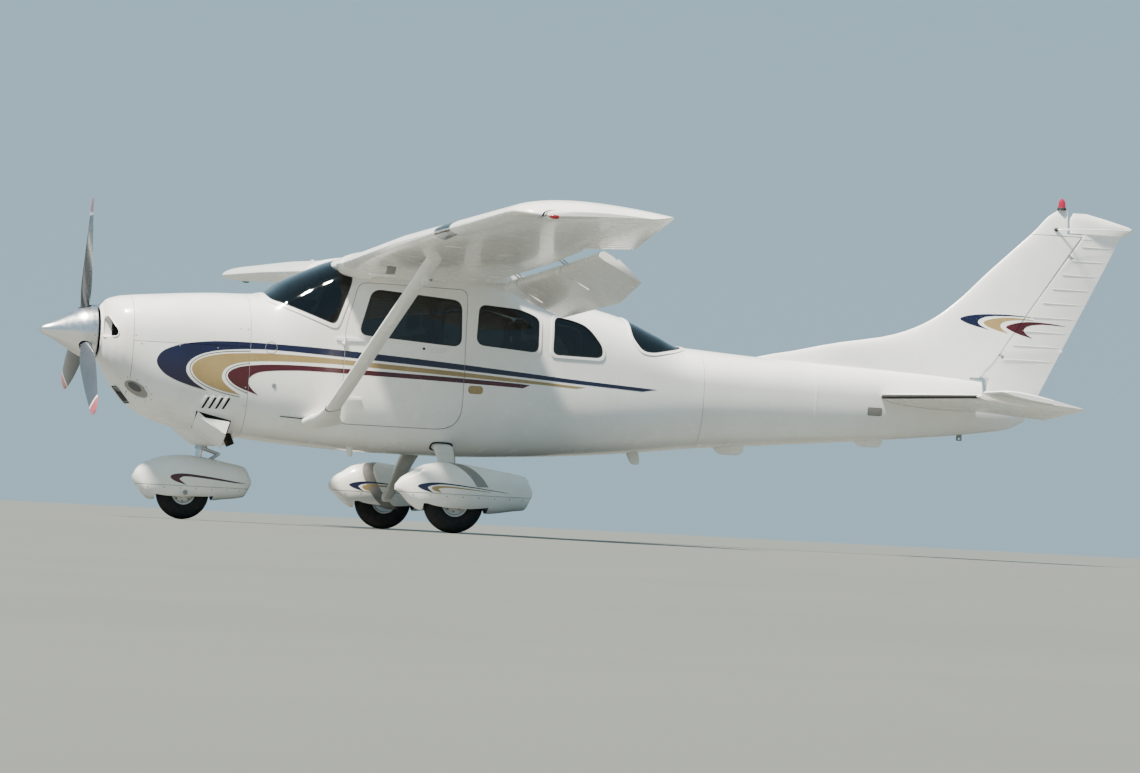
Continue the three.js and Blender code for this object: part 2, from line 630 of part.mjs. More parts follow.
// Seats: name, station of the back's foot, middle buttline, half width
const seats = [
  ['seat_front_left', 2780, -270, 215], ['seat_front_right', 2780, 270, 215],
  ['seat_middle_left', 3580, -255, 205], ['seat_middle_right', 3580, 255, 205],
  ['seat_rear_bench', 4240, 0, 400],
];
const seatSide = [
  [-400, 0], [-60, 0], [-60, 180], [40, 210], [150, 700], [130, 850], [70, 850], [60, 720], [-40, 330],
  [-460, 350], [-490, 300], [-460, 200], [-400, 190],
];
for (const [name, station, middle, half] of seats) {
  const low = name.endsWith('bench') ? 0.8 : 1;
  const side = seatSide.map(([x, z]) => [station + x, floorTop + seam + z * low]);
  piece(name, prism(outline(side), middle - half, middle + half).intersect(cabinSpace(2 * moving)), 'cloth');
}

// Cowling: thin shell in three pieces with its air inlets
const cowlSplit = -60;
const bowlEnd = 640;
const cowlSkin = hull(440, firewall - seam / 2);
const cowlVoid = hull(454, firewall + 60, wall.cowl);
const shaftHole = rod([400, 0, 0], [520, 0, 0], 90, 24);
const inlet = prism(outline([[400, -25], [400, 125], [640, 125], [640, -25]], 0), 225, 395);
const intake = box(500, 660, -150, 150, -520, -385);
const steerUp = new THREE.Vector3(Math.sin(rad(steering.rake)), 0, Math.cos(rad(steering.rake)));
const steerAt = (run) => [steering.at[0] + run * steerUp.x, 0, steering.at[1] + run * steerUp.z];

// Fairing under the cowl round the nose strut: station, half width, bottom
const chinTable = [
  [1040, 40, -690], [1110, 90, -745], [1210, 118, -800], [1410, 114, -797], [1495, 80, -752],
];
const chinLoft = loft(chinTable.map(([x, half, bottom]) => superRing(16, 2.4, (u, v) => (
  [x, u * half, -640 + v * (-640 - bottom)]
))));
const openCowl = cut(join(cowlSkin, chinLoft), cowlVoid, shaftHole, both(inlet), intake);
const strutHole = rod(steerAt(-60), steerAt(160), steering.cylinder + seam, 20);
const exhaust = { at: [1385, -215], radius: 36, from: -345, to: -800 };
const pipe = (radius) => {
  const [x, y] = exhaust.at;
  return rod([x, y, exhaust.from], [x + 60, y, exhaust.to], radius, 20);
};
piece('nose_bowl', openCowl.intersect(between(0, bowlEnd - seam / 2)), 'white');
const rearCowl = openCowl.intersect(between(bowlEnd + seam / 2, firewall));
const lowerCowl = rearCowl.intersect(below(cowlSplit - seam / 2));
piece('upper_cowl', rearCowl.intersect(above(cowlSplit + seam / 2)), 'white');
piece('lower_cowl', cut(lowerCowl, strutHole, pipe(exhaust.radius + seam)), 'white');
const engine = { front: 690, rear: 1430, half: 385, top: 165, bottom: -325 };
const mountRods = [[-250, 100], [250, 100], [-250, -250], [250, -250]].map(([y, z]) => (
  rod([engine.rear - 20, y, z], [firewall - seam / 2, y, z], 16)
));
piece('engine_block', join(
  box(engine.front, engine.rear, -engine.half, engine.half, engine.bottom, engine.top),
  rod([413.4, 0, 0], [engine.front + 20, 0, 0], 55, 24), ...mountRods,
), 'cast');
piece('exhaust_stack', cut(pipe(exhaust.radius), pipe(exhaust.radius - 5).intersect(below(-560))), 'soot');

const cowlFlapSide = [[1205, -560], [1165, -690], [1425, -722], [1445, -640]];
const cowlFlap = cut(
  prism(outline(cowlFlapSide), 290, 480),
  prism(outline([[1235, -585], [1195, -682], [1500, -716], [1500, -560]]), 300, 470),
);
for (const [side, turn] of [['left', mirrored], ['right', (body) => body]]) {
  piece(`cowl_flap_${side}`, cut(turn(cowlFlap), hull(440, firewall + 20, -seam)), 'white');
}

// Propeller and spinner, turning about the X axis
const blades = Array.from({ length: propeller.blades }, (_, i) => (
  propeller.rest + (360 * i) / propeller.blades
));
// Radius, chord, thickness, blade angle
const bladeTable = [
  [60, 84, 84, 0], [150, 86, 80, 20], [230, 110, 50, 42], [380, 158, 30, 36],
  [620, 165, 20, 26], [850, 140, 13, 19], [970, 100, 9, 16], [propeller.radius, 50, 6, 15],
];
const blade = loft(bladeTable.map(([radius, chord, thick, pitch]) => superRing(8, 2, (u, v) => {
  const [c, s] = [Math.cos(rad(pitch)), Math.sin(rad(pitch))];
  const [run, rise] = [(u * chord) / 2, (v * thick) / 2];
  return [propeller.blade + run * s + rise * c, run * c - rise * s, radius];
})));
const hub = turned([[285, 0], [285, 85], [404, 85], [405.3, 204], [413, 204], [413, 0]], 20, [0, 0, 0]);
piece('propeller', join(hub, ...blades.map((degrees) => blade.rotate([degrees, 0, 0]))), 'blade');
const spinnerProfile = [
  [0, 0], [25, 33], [100, 68], [200, 126], [300, 183], [360, 199], [propeller.base, 205],
];
const spinnerInside = spinnerProfile.slice(2).map(([x, r]) => [x, r - 5]).reverse();
const bladeHoles = blades.map((degrees) => (
  rod([propeller.blade, 0, 120], [propeller.blade, 0, 260], propeller.shank + 8, 16).rotate([degrees, 0, 0])
));
const spinnerBody = turned([...spinnerProfile, ...spinnerInside, [60, 0]], 20, [0, 0, 0]);
piece('spinner', cut(spinnerBody, ...bladeHoles), 'silver');

// Wing struts: the station and level of the middle line run from the root to the wing
const [topX, topY] = strut.top;
const strutTop = [topX, topY, wingSpot(topY, shareAt(topY, topX), -1)[1] + 30];
const strutRoot = [strut.root[0] - 50, strut.root[1] - 70, strut.root[2] - 40];
const strutRing = ([x, y, z], grow) => superRing(14, 2, (u, v) => (
  [x + u * (strut.chord / 2) * grow, y, z + v * (strut.thick / 2 / Math.cos(rad(31))) * grow]
));
const cuff = [strut.root[0] - 30, strut.root[1] + 20, strut.root[2] + 12];
const strutFoot = [strut.root[0] + 8, strut.root[1] + 90, strut.root[2] + 55];

// Tie-down lug: a plate with a hole, hanging below the place that carries it
const lug = { half: 22, thick: 5, hole: 9, edge: 16 };
const lugAt = ([x, y, z], bottom) => cut(
  box(x - lug.half, x + lug.half, y - lug.thick, y + lug.thick, bottom, z),
  rod([x, y - 20, bottom + lug.edge], [x, y + 20, bottom + lug.edge], lug.hole, 12),
);
const lugShare = 0.9;
const strutLug = strutFoot.map((value, i) => lerp(value, strutTop[i], lugShare));
const strutBody = cut(
  join(
    loft([strutRing(strutRoot, 1.7), strutRing(cuff, 1.5), strutRing(strutFoot, 1), strutRing(strutTop, 1)]),
    lugAt(strutLug, strutLug[2] - 85),
  ),
  hull(firewall, tailJoint, -seam), wingLoft([wing.root, wing.taper, wing.rib], seam),
);

// Fairings: station, half width, top, bottom
const mainSpatTable = [
  [2500, 22, -1020, -1062], [2545, 62, -965, -1092], [2600, 90, -930, -1150], [2700, 122, -870, -1205],
  [2870, 146, -840, -1213], [3000, 148, -850, -1214], [3200, 132, -877, -1206], [3400, 98, -908, -1176],
  [3470, 80, -921, -1166], [3525, 40, -1010, -1070],
];
const noseSpatTable = [
  [755, 25, -1050, -1085], [790, 70, -985, -1130], [885, 118, -925, -1220], [1050, 142, -882, -1222],
  [1140, 145, -877, -1217], [1330, 138, -893, -1212], [1450, 112, -916, -1197], [1600, 70, -947, -1172],
  [1655, 30, -1035, -1080],
];
function spatLoft(table, out, inset = 0) {
  return loft(table.map(([x, half, top, bottom], i) => {
    const end = i === 0 ? inset : i === table.length - 1 ? -inset : 0;
    return superRing(12, 2.6, (u, v) => (
      [x + end, out + u * (half - inset), (top + bottom) / 2 + v * ((top - bottom) / 2 - inset)]
    ));
  }));
}
const spatOpening = ({ station, out, radius }, half) => (
  box(station - radius - 20, station + radius + 20, out - half, out + half, -1400, -1150)
);
const mainSpat = cut(
  spatLoft(mainSpatTable, mainWheel.out), spatLoft(mainSpatTable, mainWheel.out, wall.fairing),
  spatOpening(mainWheel, 106), legLoft(seam),
);
const noseSpat = cut(
  spatLoft(noseSpatTable, 0), spatLoft(noseSpatTable, 0, wall.fairing), spatOpening(noseWheel, 98),
  rod(steerAt(-160), steerAt(20), steering.piston + seam, 20),
);

// Wheels: profile rows are distance from the middle and radius
function tyre({ station, out, radius, width, rim }) {
  const seat = (rim + seam) / Math.cos(Math.PI / tyreSides);
  const profile = [
    [-0.36, 0], [-0.5, 0.3], [-0.45, 0.7], [-0.3, 0.93], [-0.12, 1],
    [0.12, 1], [0.3, 0.93], [0.45, 0.7], [0.5, 0.3], [0.36, 0], [-0.36, 0],
  ].map(([side, share]) => [side * width, seat + share * (radius - seat)]);
  return turned(profile, tyreSides, [station, out, axleLevel({ radius })], 'y');
}

function rim({ station, out, radius, width, rim: edge, axle }) {
  const bore = (axle + seam) / Math.cos(Math.PI / rimSides);
  const profile = [
    [-0.36, edge], [-0.12, edge - 18], [-0.12, 42], [-0.34, 36], [-0.34, bore],
    [0.34, bore], [0.34, 36], [0.12, 42], [0.12, edge - 18], [0.36, edge], [-0.36, edge],
  ].map(([side, r]) => [side * width, r]);
  return turned(profile, rimSides, [station, out, axleLevel({ radius })], 'y');
}

for (const [side, turn] of [['left', mirrored], ['right', (body) => body]]) {
  piece(`strut_${side}`, turn(strutBody), 'white');
  piece(`main_leg_${side}`, turn(legBody), 'white');
  piece(`main_spat_${side}`, turn(mainSpat), 'white');
  piece(`main_tyre_${side}`, turn(tyre(mainWheel)), 'rubber');
  piece(`main_rim_${side}`, turn(rim(mainWheel)), 'white');
}

// Nose gear
const strutBracket = box(1240, firewall - seam / 2, -55, 55, -520, -450);
piece('nose_strut', join(rod(steerAt(0), steerAt(370), steering.cylinder, 20), strutBracket), 'steel');
const crown = box(1170, 1290, -90, 90, -954, -934);
const forkLegs = [-1, 1].map((side) => (
  rod([1225, side * 85, -940], [noseWheel.station, side * 85, axleLevel(noseWheel)], 9)
));
const knee = [1400, 0, -860];
const links = [[steerAt(-14), knee], [knee, [1275, 0, -940]]].map(([from, to]) => rod(from, to, 10));
piece('nose_fork', join(
  rod(steerAt(-seam), steerAt(-30), steering.cylinder - 2, 20),
  rod(steerAt(-20), steerAt(-148), steering.piston, 20),
  crown, ...forkLegs, ...links, rod([knee[0], -30, knee[2]], [knee[0], 30, knee[2]], 11),
  axleAt(noseWheel, -96, 96, noseWheel.axle),
), 'steel');
piece('nose_spat', cut(noseSpat, rod(knee, [1275, 0, -940], 16), rod(steerAt(-14), knee, 16)), 'white');
piece('nose_tyre', tyre(noseWheel), 'rubber');
piece('nose_rim', rim(noseWheel), 'white');

// Tail cone
const coneEnd = 7400;
const tailLead = (y) => tailplane.lead + tailplane.sweep * Math.abs(y);
const tailTrail = (y) => lerp(tailplane.rootTrail, tailplane.tipTrail, Math.abs(y) / tailplane.half);
function tailSpot(y, share, side, grow = 0) {
  const [lead, trail] = [tailLead(y), tailTrail(y)];
  const slope = (tailplane.level - tailplane.leadLevel) / (tailplane.hinge - lead);
  const run = share * (trail - lead);
  const half = share ? tailplane.depth * thickness(share) * (trail - lead) + grow : 0;
  return [lead + (share ? run : -grow), tailplane.leadLevel + slope * run + side * half];
}
const tailShare = (y) => (tailplane.hinge - tailLead(y)) / (tailTrail(y) - tailLead(y));
const tailRadius = (y) => 0.93 * (tailSpot(y, tailShare(y), 1)[1] - tailSpot(y, tailShare(y), 0)[1]);

function tailRing(y, grow = 0) {
  const shares = spread(6);
  const top = shares.map((share) => tailSpot(y, share, 1, grow)).reverse();
  const under = shares.slice(1).map((share) => tailSpot(y, share, -1, grow));
  return [...top, ...under].map(([x, z]) => [x, y, z]);
}
const tailEnds = [-tailplane.hornFrom, 0, tailplane.hornFrom];
const tailSurface = (grow) => loft(tailEnds.map((y) => tailRing(y, grow)));
const tailAxis = [tailplane.hinge, tailplane.level];
const elevatorNose = (ends, grow, trail) => loft(ends.map((y) => (
  noseRing(tailAxis, tailRadius(y) + grow, [trail(y), tailplane.level], (x, z) => [x, y, z], 1, 5)
)));
const tailCove = (clearance) => join(
  both(elevatorNose([0, tailplane.hornFrom + 20], clearance, () => 8400)),
  box(tailplane.hinge + moving - clearance, 8400, -far, far, -600, 300),
);
const elevatorHinges = tailplane.hinges.map((y) => (
  hingeParts(frameAt([tailplane.hinge, y, tailplane.level], abeam, aft), tailRadius(y))
));
const elevatorRows = [tailplane.inner, 260, tailplane.hornFrom + 14, tailplane.half - 60, tailplane.half];
const elevatorTrail = (y) => (y < 200 ? 7420 : tailTrail(y) - (y > tailplane.half - 10 ? 40 : 0));
const hornLoft = loft([tailplane.hornFrom + 14, tailplane.half - 60, tailplane.half].map((y, i) => {
  const lead = tailplane.hornLead + (i === 2 ? 30 : 0);
  const chord = elevatorTrail(y) - lead;
  const shares = spread(5);
  const spot = (share, side) => [
    lead + share * chord, y, tailplane.level + side * 0.09 * thickness(share) * chord * (i === 2 ? 0.6 : 1),
  ];
  const under = shares.slice(1).map((share) => spot(share, -1));
  return [...shares.map((share) => spot(share, 1)).reverse(), ...under];
}));
const elevatorHalf = cut(
  elevatorNose(elevatorRows, 0, elevatorTrail), ...elevatorHinges.map((hinge) => hinge.notch),
);
const tubeAlong = (half, radius) => (
  rod([tailplane.hinge, -half, tailplane.level], [tailplane.hinge, half, tailplane.level], radius, 16)
);
const torqueTube = 24;
const elevatorFlat = join(
  both(join(elevatorHalf, hornLoft, ...elevatorHinges.map((hinge) => hinge.pin))),
  tubeAlong(200, torqueTube),
);
piece('elevator', rolled(elevatorFlat, tailplane.droop, tailplane.hinge, tailplane.level), 'white');
piece('stabilizer', join(
  cut(tailSurface(0), tailCove(moving)), both(join(...elevatorHinges.map((hinge) => hinge.arm))),
), 'white');

const coneSkin = cut(
  hull(tailJoint + seam / 2, coneEnd), hull(tailJoint - 20, coneEnd - wall.tail, wall.tail),
);
const stinger = hull(coneEnd - wall.tail, 7780).intersect(below(-155));
const tailLug = lugAt([7250, 0, -380], -440);
const tailSlot = cut(tailSurface(2 * seam), tailCove(moving - 2 * seam));
piece('tail_cone', cut(
  join(coneSkin, stinger, tailLug), tailSlot, tubeAlong(300, torqueTube + moving),
), 'white');

// Fin and rudder; the hinge line leans aft
const [lowX, lowZ] = rudderHinge.low;
const [highX, highZ] = rudderHinge.high;
const hingeSlope = (highX - lowX) / (highZ - lowZ);
const hingeX = (level) => lowX + hingeSlope * (level - lowZ);
const rudderTrail = (level) => 7910 + 0.49 * level;
const rudderAlong = new THREE.Vector3(highX - lowX, 0, highZ - lowZ).normalize();
const leanStretch = 1 / rudderAlong.z;
// Level, leading edge, half thickness at the hinge
const finTable = [
  [0, 5350, 46], [130, 5600, 50], [170, 5800, 52], [265, 6200, 52], [340, 6600, 50], [405, 6800, 49],
  [510, 7000, 47], [670, 7200, 43], [870, 7400, 39], [1060, 7600, 35], [1250, 7800, 31], [1360, 7900, 25],
  [1420, 7985, 9],
];
const finDepth = (level) => {
  const after = finTable.findIndex((row) => row[0] >= level);
  const [a, b] = after < 1 ? [finTable[0], finTable[0]] : [finTable[after - 1], finTable[after]];
  return a === b ? a[2] : lerp(a[2], b[2], (level - a[0]) / (b[0] - a[0]));
};
const finLoft = loft(finTable.map(([level, lead, half]) => {
  const trail = Math.max(hingeX(level), lead + 60);
  const shares = [0.004, 0.03, 0.1, 0.25, 0.5, 0.75, 1];
  const spot = (share, side) => (
    [lead + share * (trail - lead), side * half * (2.2 * Math.sqrt(share) - 1.2 * share), level]
  );
  return [...shares.map((share) => spot(share, 1)), ...shares.map((share) => spot(share, -1)).reverse()];
}));
const rudderNose = (rows, grow, trailAt) => loft(rows.map(([level, centre, half]) => (
  noseRing([centre, 0], half + grow, [trailAt(level), 0], (x, y) => [x, y, level], leanStretch, 5)
)));
const rudderLevels = [95, 500, 900, 1228];
const rudderRows = rudderLevels.map((level) => [level, hingeX(level), 0.95 * finDepth(level)]);
const rudderFoot = [[-135, 7480, 30], [60, 7492, 44]];
const rudderHinges = [250, 1050].map((level) => hingeParts(
  frameAt([hingeX(level), 0, level], rudderAlong, aft), finDepth(level),
));
// Cap over the fin and rudder: level, leading and trailing edge, half thickness
const capTable = [
  [1243, 8080, 8560, 34], [1300, 8080, overall.length, 32], [1350, 8084, 8450, 26], [1402, 8110, 8220, 7],
];
const capSides = 16;
const capReach = arc(Math.cos(Math.PI / capSides), 2.6);
const rudderCap = loft(capTable.map(([level, lead, trail, half]) => superRing(capSides, 2.6, (u, v) => (
  [lerp(lead, trail, (u / capReach + 1) / 2), v * half * (1 - 0.35 * Math.max(0, u)), level]
))));
const rudderTop = rudderNose([[1200, hingeX(1200), 32], [1255, hingeX(1228), 30]], 0, (level) => (
  rudderTrail(Math.min(level, 1230))
));
const rudderBlade = rudderNose([...rudderFoot, ...rudderRows], 0, rudderTrail);
piece('rudder', join(
  cut(rudderBlade, ...rudderHinges.map((hinge) => hinge.notch)),
  rudderTop, rudderCap, ...rudderHinges.map((hinge) => hinge.pin),
), 'white');
const coveRows = [-200, 1300].map((level) => [level, hingeX(level), finDepth(Math.max(level, 0)) + 1]);
const finCove = rudderNose(coveRows, moving + 14, (level) => hingeX(level) + 900);
const capSpace = box(8055, 9000, -100, 100, 1231, 1600);
const footSpace = box(7300, 9000, -200, 200, -300, 60);
const finBody = join(
  cut(finLoft, finCove, capSpace, footSpace, hull(tailJoint, 7780, -seam)),
  ...rudderHinges.map((hinge) => hinge.arm),
);
piece('fin', finBody, 'white');
piece('beacon', turned([
  [1420 + seam, 0], [1420 + seam, 34], [1440, 34], [1445, 28], [1480, 26], [1503, 16], [1513, 0],
], 20, [0, 0, 0], 'z').translate([8010, 0, 0]), 'lamp');

export default airframe;
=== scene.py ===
"""Looks of a high-wing light aircraft with six seats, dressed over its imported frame.

Lengths are metres. Shapes are worked out in stations (aft of the spinner tip), buttlines (to
starboard) and waterlines (up from the propeller axis), and are moved to the frame as they are placed.
"""

import json
import logging
import math
from dataclasses import dataclass
from enum import Enum
from functools import partial
from typing import Callable, Iterable, Sequence

import bmesh
import bpy
import numpy as np
from mathutils import Matrix, Vector


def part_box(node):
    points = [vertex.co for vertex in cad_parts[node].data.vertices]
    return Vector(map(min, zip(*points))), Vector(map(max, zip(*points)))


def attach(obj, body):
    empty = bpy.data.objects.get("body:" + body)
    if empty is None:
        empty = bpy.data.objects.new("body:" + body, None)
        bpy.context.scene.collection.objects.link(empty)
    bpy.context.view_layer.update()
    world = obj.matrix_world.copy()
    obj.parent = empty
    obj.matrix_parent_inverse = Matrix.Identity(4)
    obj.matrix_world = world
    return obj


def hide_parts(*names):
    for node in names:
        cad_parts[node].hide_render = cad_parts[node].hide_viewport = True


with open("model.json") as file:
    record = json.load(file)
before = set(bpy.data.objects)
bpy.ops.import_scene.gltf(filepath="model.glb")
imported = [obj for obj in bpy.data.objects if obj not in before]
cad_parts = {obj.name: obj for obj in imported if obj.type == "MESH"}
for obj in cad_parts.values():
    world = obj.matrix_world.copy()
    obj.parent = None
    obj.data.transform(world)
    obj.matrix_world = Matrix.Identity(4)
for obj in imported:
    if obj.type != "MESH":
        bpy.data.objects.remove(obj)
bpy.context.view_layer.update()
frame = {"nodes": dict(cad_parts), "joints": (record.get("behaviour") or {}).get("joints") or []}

log = logging.getLogger("aircraft")
JOINTS = {joint["name"]: joint for joint in frame["joints"]}
# Station zero is the spinner tip and waterline zero the propeller axis
ORIGIN = Vector((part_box("spinner")[0].x, 0.0, JOINTS["propeller_spin"]["pos_m"][2]))
FLOOR = -ORIGIN.z
FAR = 3.0

Mesh = bpy.types.Mesh
Socket = bpy.types.NodeSocket
Field = Callable[[np.ndarray], np.ndarray]


class Join(Enum):
    """Ways to combine closed bodies."""

    ADD = "UNION"
    CUT = "DIFFERENCE"
    KEEP = "INTERSECT"


class Side(Enum):
    """The two sides of the aircraft, as the sign of the buttline."""

    LEFT = -1
    RIGHT = 1

    @property
    def word(self) -> str:
        """Name of the side in node and piece names."""
        return self.name.lower()


# Colour and node helpers


def linear(colour: str) -> tuple[float, float, float, float]:
    """Turns an sRGB hex colour to linear RGBA.

    Args:
        colour: Six hex digits after a hash sign.

    Returns:
        Linear red, green, blue and an alpha of one.
    """
    parts = [int(colour[i:i + 2], 16) / 255 for i in (1, 3, 5)]
    return (*[c / 12.92 if c <= 0.04045 else ((c + 0.055) / 1.055) ** 2.4 for c in parts], 1.0)


def add_node(tree: bpy.types.NodeTree, kind: str, settings: dict | None = None,
             **links: Socket) -> bpy.types.Node:
    """Adds a node with its settings and links.

    Args:
        tree: Node tree that takes the node.
        kind: Node type, such as ShaderNodeMix.
        settings: Node properties, or values of inputs by name.
        links: Source sockets by input name, with spaces written as underscores.

    Returns:
        The new node.
    """
    node = tree.nodes.new(kind)
    for key, value in (settings or {}).items():
        if hasattr(node, key):
            setattr(node, key, value)
        else:
            node.inputs[key].default_value = value
    for key, source in links.items():
        tree.links.new(source, node.inputs[key.replace("_", " ")])
    return node


class Recipe:
    """A new material with its Principled shader, and short ways to add patterns to it."""

    def __init__(self, name: str, colour: str, roughness: float, **values: float | tuple) -> None:
        """Makes the material.

        Args:
            name: Name of the material.
            colour: sRGB hex base colour.
            roughness: Roughness of the shader.
            values: Further shader inputs, with spaces written as underscores.
        """
        self.material = bpy.data.materials.new(name)
        self.material.use_nodes = True
        self.tree = self.material.node_tree
        self.shader = self.tree.nodes["Principled BSDF"]
        self.shader.inputs["Base Color"].default_value = linear(colour)
        self.shader.inputs["Roughness"].default_value = roughness
        for key, value in values.items():
            self.shader.inputs[key.replace("_", " ")].default_value = value
        self.place = add_node(self.tree, "ShaderNodeTexCoord").outputs["Object"]

    def stretched(self, scale: tuple[float, float, float]) -> Socket:
        """Object coordinates scaled apart along the axes."""
        node = add_node(self.tree, "ShaderNodeMapping", {"Scale": scale}, Vector=self.place)
        return node.outputs["Vector"]

    def noise(self, size_mm: float, detail: float = 3.0, place: Socket | None = None) -> Socket:
        """Noise whose patches are about as large as the given size.

        Args:
            size_mm: Size of a patch in millimetres.
            detail: Octaves of finer noise.
            place: Coordinates, or None for plain object coordinates.

        Returns:
            Socket with values from 0 to 1.
        """
        settings = {"Scale": 1000.0 / size_mm, "Detail": detail}
        node = add_node(self.tree, "ShaderNodeTexNoise", settings, Vector=place or self.place)
        return node.outputs["Fac"]

    def band(self, value: Socket, low: float, high: float, start: float = 0.0, end: float = 1.0) -> Socket:
        """Maps a value range to another one, held at its ends."""
        settings = {"From Min": low, "From Max": high, "To Min": start, "To Max": end}
        return add_node(self.tree, "ShaderNodeMapRange", settings, Value=value).outputs["Result"]

    def maths(self, operation: str, *values: Socket) -> Socket:
        """Result of a Math node on two sockets."""
        node = add_node(self.tree, "ShaderNodeMath", {"operation": operation})
        for value, place in zip(values, node.inputs):
            self.tree.links.new(value, place)
        return node.outputs[0]

    def tint(self, other: str, amount: Socket) -> None:
        """Mixes another colour into the base colour, by a socket with values from 0 to 1."""
        shade = self.shader.inputs["Base Color"]
        mix = add_node(self.tree, "ShaderNodeMix", {"data_type": "RGBA"})
        if shade.is_linked:
            self.tree.links.new(shade.links[0].from_socket, mix.inputs[6])
        else:
            mix.inputs[6].default_value = shade.default_value
        mix.inputs[7].default_value = linear(other)
        self.tree.links.new(amount, mix.inputs[0])
        self.tree.links.new(mix.outputs[2], shade)

    def rough(self, value: Socket, low: float, high: float) -> None:
        """Lets the roughness follow a value from 0 to 1."""
        self.tree.links.new(self.band(value, 0.0, 1.0, low, high), self.shader.inputs["Roughness"])

    def bump(self, height: Socket, depth_mm: float) -> None:
        """Adds relief of the given depth; earlier relief stays under it."""
        under = self.shader.inputs["Normal"]
        node = add_node(self.tree, "ShaderNodeBump", {"Strength": 1.0, "Distance": depth_mm / 1000})
        self.tree.links.new(height, node.inputs["Height"])
        if under.is_linked:
            self.tree.links.new(under.links[0].from_socket, node.inputs["Normal"])
        self.tree.links.new(node.outputs["Normal"], under)


# Finishes


@dataclass(frozen=True)
class Finish:
    """What a surface is made of; each kind mixes its own material."""

    name: str
    colour: str

    def make(self) -> bpy.types.Material:
        """Gives the material, mixed at its first use."""
        return bpy.data.materials.get(self.name) or self.mixed()

    def mixed(self) -> bpy.types.Material:
        """Mixes the material."""
        raise NotImplementedError


@dataclass(frozen=True)
class Enamel(Finish):
    """Two-pack polyurethane enamel, sprayed over primed aluminium sheet or glass fibre."""

    shade: str
    grime: float = 0.0

    def mixed(self) -> bpy.types.Material:
        """Mixes the material: glossy, with soft waves of the sheet and a little dust."""
        paint = Recipe(self.name, self.colour, 0.24, IOR=1.5, Coat_Weight=0.35, Coat_Roughness=0.08)
        # Chalking and hand marks change the colour by a hair over a hand's breadth
        paint.tint(self.shade, paint.band(paint.noise(260), 0.35, 0.75))
        paint.rough(paint.noise(90, 4), 0.17, 0.34)
        # Sheet between ribs and frames bows in and out by fractions of a millimetre
        paint.bump(paint.noise(420, 1.0), 0.5)
        # Orange peel of sprayed enamel, 2 mm across and drawn at 6 mm so that it shows
        paint.bump(paint.noise(6, 1.0), 0.005)
        if self.grime:
            # Oil film and dust that the air drags aft in streaks
            streaks = paint.noise(60, 5, paint.stretched((0.12, 1.0, 1.0)))
            amount = paint.band(streaks, 0.5, 0.85, 0.0, self.grime)
            paint.tint("#6F6A5A", amount)
        return paint.material


@dataclass(frozen=True)
class Metal(Finish):
    """Bare metal with lines from polishing or brushing."""

    roughness: float
    line_mm: float = 0.0
    stain: str = ""

    def mixed(self) -> bpy.types.Material:
        """Mixes the material, with fine lines and stains where it has them."""
        metal = Recipe(self.name, self.colour, self.roughness, Metallic=1.0)
        metal.rough(metal.noise(35, 4), 0.7 * self.roughness, 1.5 * self.roughness)
        if self.line_mm:
            lines = metal.noise(self.line_mm, 2, metal.stretched((1.0, 0.04, 0.04)))
            metal.bump(lines, 0.02)
        if self.stain:
            metal.tint(self.stain, metal.band(metal.noise(50, 5), 0.45, 0.7))
        return metal.material


@dataclass(frozen=True)
class Tint(Finish):
    """Cast acrylic sheet, smoke tinted and polished."""

    roughness: float = 0.015

    def mixed(self) -> bpy.types.Material:
        """Mixes the material: clear through its colour, with hair scratches that catch light."""
        sheet = Recipe(self.name, self.colour, self.roughness, IOR=1.49, Transmission_Weight=1.0)
        sheet.rough(sheet.noise(70, 6), self.roughness, 3 * self.roughness)
        return sheet.material


@dataclass(frozen=True)
class Moulded(Finish):
    """Moulded plastic or rubber with a fine grained face."""

    shade: str
    roughness: float
    grain_mm: float = 1.5
    depth_mm: float = 0.12

    def mixed(self) -> bpy.types.Material:
        """Mixes the material with its grain and worn, paler patches."""
        body = Recipe(self.name, self.colour, self.roughness)
        body.tint(self.shade, body.band(body.noise(45, 5), 0.45, 0.8))
        body.bump(body.noise(self.grain_mm, 2), self.depth_mm)
        body.rough(body.noise(30, 3), 0.85 * self.roughness, min(1.0, 1.2 * self.roughness))
        return body.material


# Divisor of a wave texture's scale at which its bands lie two thread sizes apart, so that they show
BAND_DIVISOR = 6.3


@dataclass(frozen=True)
class Woven(Finish):
    """Woven wool and nylon upholstery cloth or looped carpet."""

    shade: str
    thread_mm: float

    def mixed(self) -> bpy.types.Material:
        """Mixes the material: crossed threads, sheen and sun-faded patches."""
        cloth = Recipe(self.name, self.colour, 0.92, Sheen_Weight=0.3, Sheen_Roughness=0.5)
        cloth.tint(self.shade, cloth.band(cloth.noise(120, 3), 0.3, 0.7))
        waves = []
        for direction in ("X", "Y", "Z"):
            scale = 1000 / (BAND_DIVISOR * self.thread_mm)
            settings = {"bands_direction": direction, "Scale": scale, "Distortion": 0.6}
            node = add_node(cloth.tree, "ShaderNodeTexWave", settings, Vector=cloth.place)
            waves.append(node.outputs["Fac"])
        weave = cloth.maths("MAXIMUM", waves[0], cloth.maths("MULTIPLY", waves[1], waves[2]))
        cloth.bump(weave, 0.5)
        cloth.tint(self.shade, cloth.band(weave, 0.0, 1.0, 0.0, 0.4))
        return cloth.material


@dataclass(frozen=True)
class Lamp(Finish):
    """Moulded lens of a lamp, coloured through."""

    glow: float = 0.0

    def mixed(self) -> bpy.types.Material:
        """Mixes the material, with light behind it where the lens glows."""
        lens = Recipe(
            self.name, self.colour, 0.08, IOR=1.5, Transmission_Weight=0.5, Coat_Weight=0.5,
            Emission_Color=linear(self.colour), Emission_Strength=self.glow,
        )
        # Ribs moulded on the inside spread the light
        rings = add_node(lens.tree, "ShaderNodeTexWave", {"bands_direction": "Z", "Scale": 40.0},
                         Vector=lens.place)
        lens.bump(rings.outputs["Fac"], 0.3)
        return lens.material


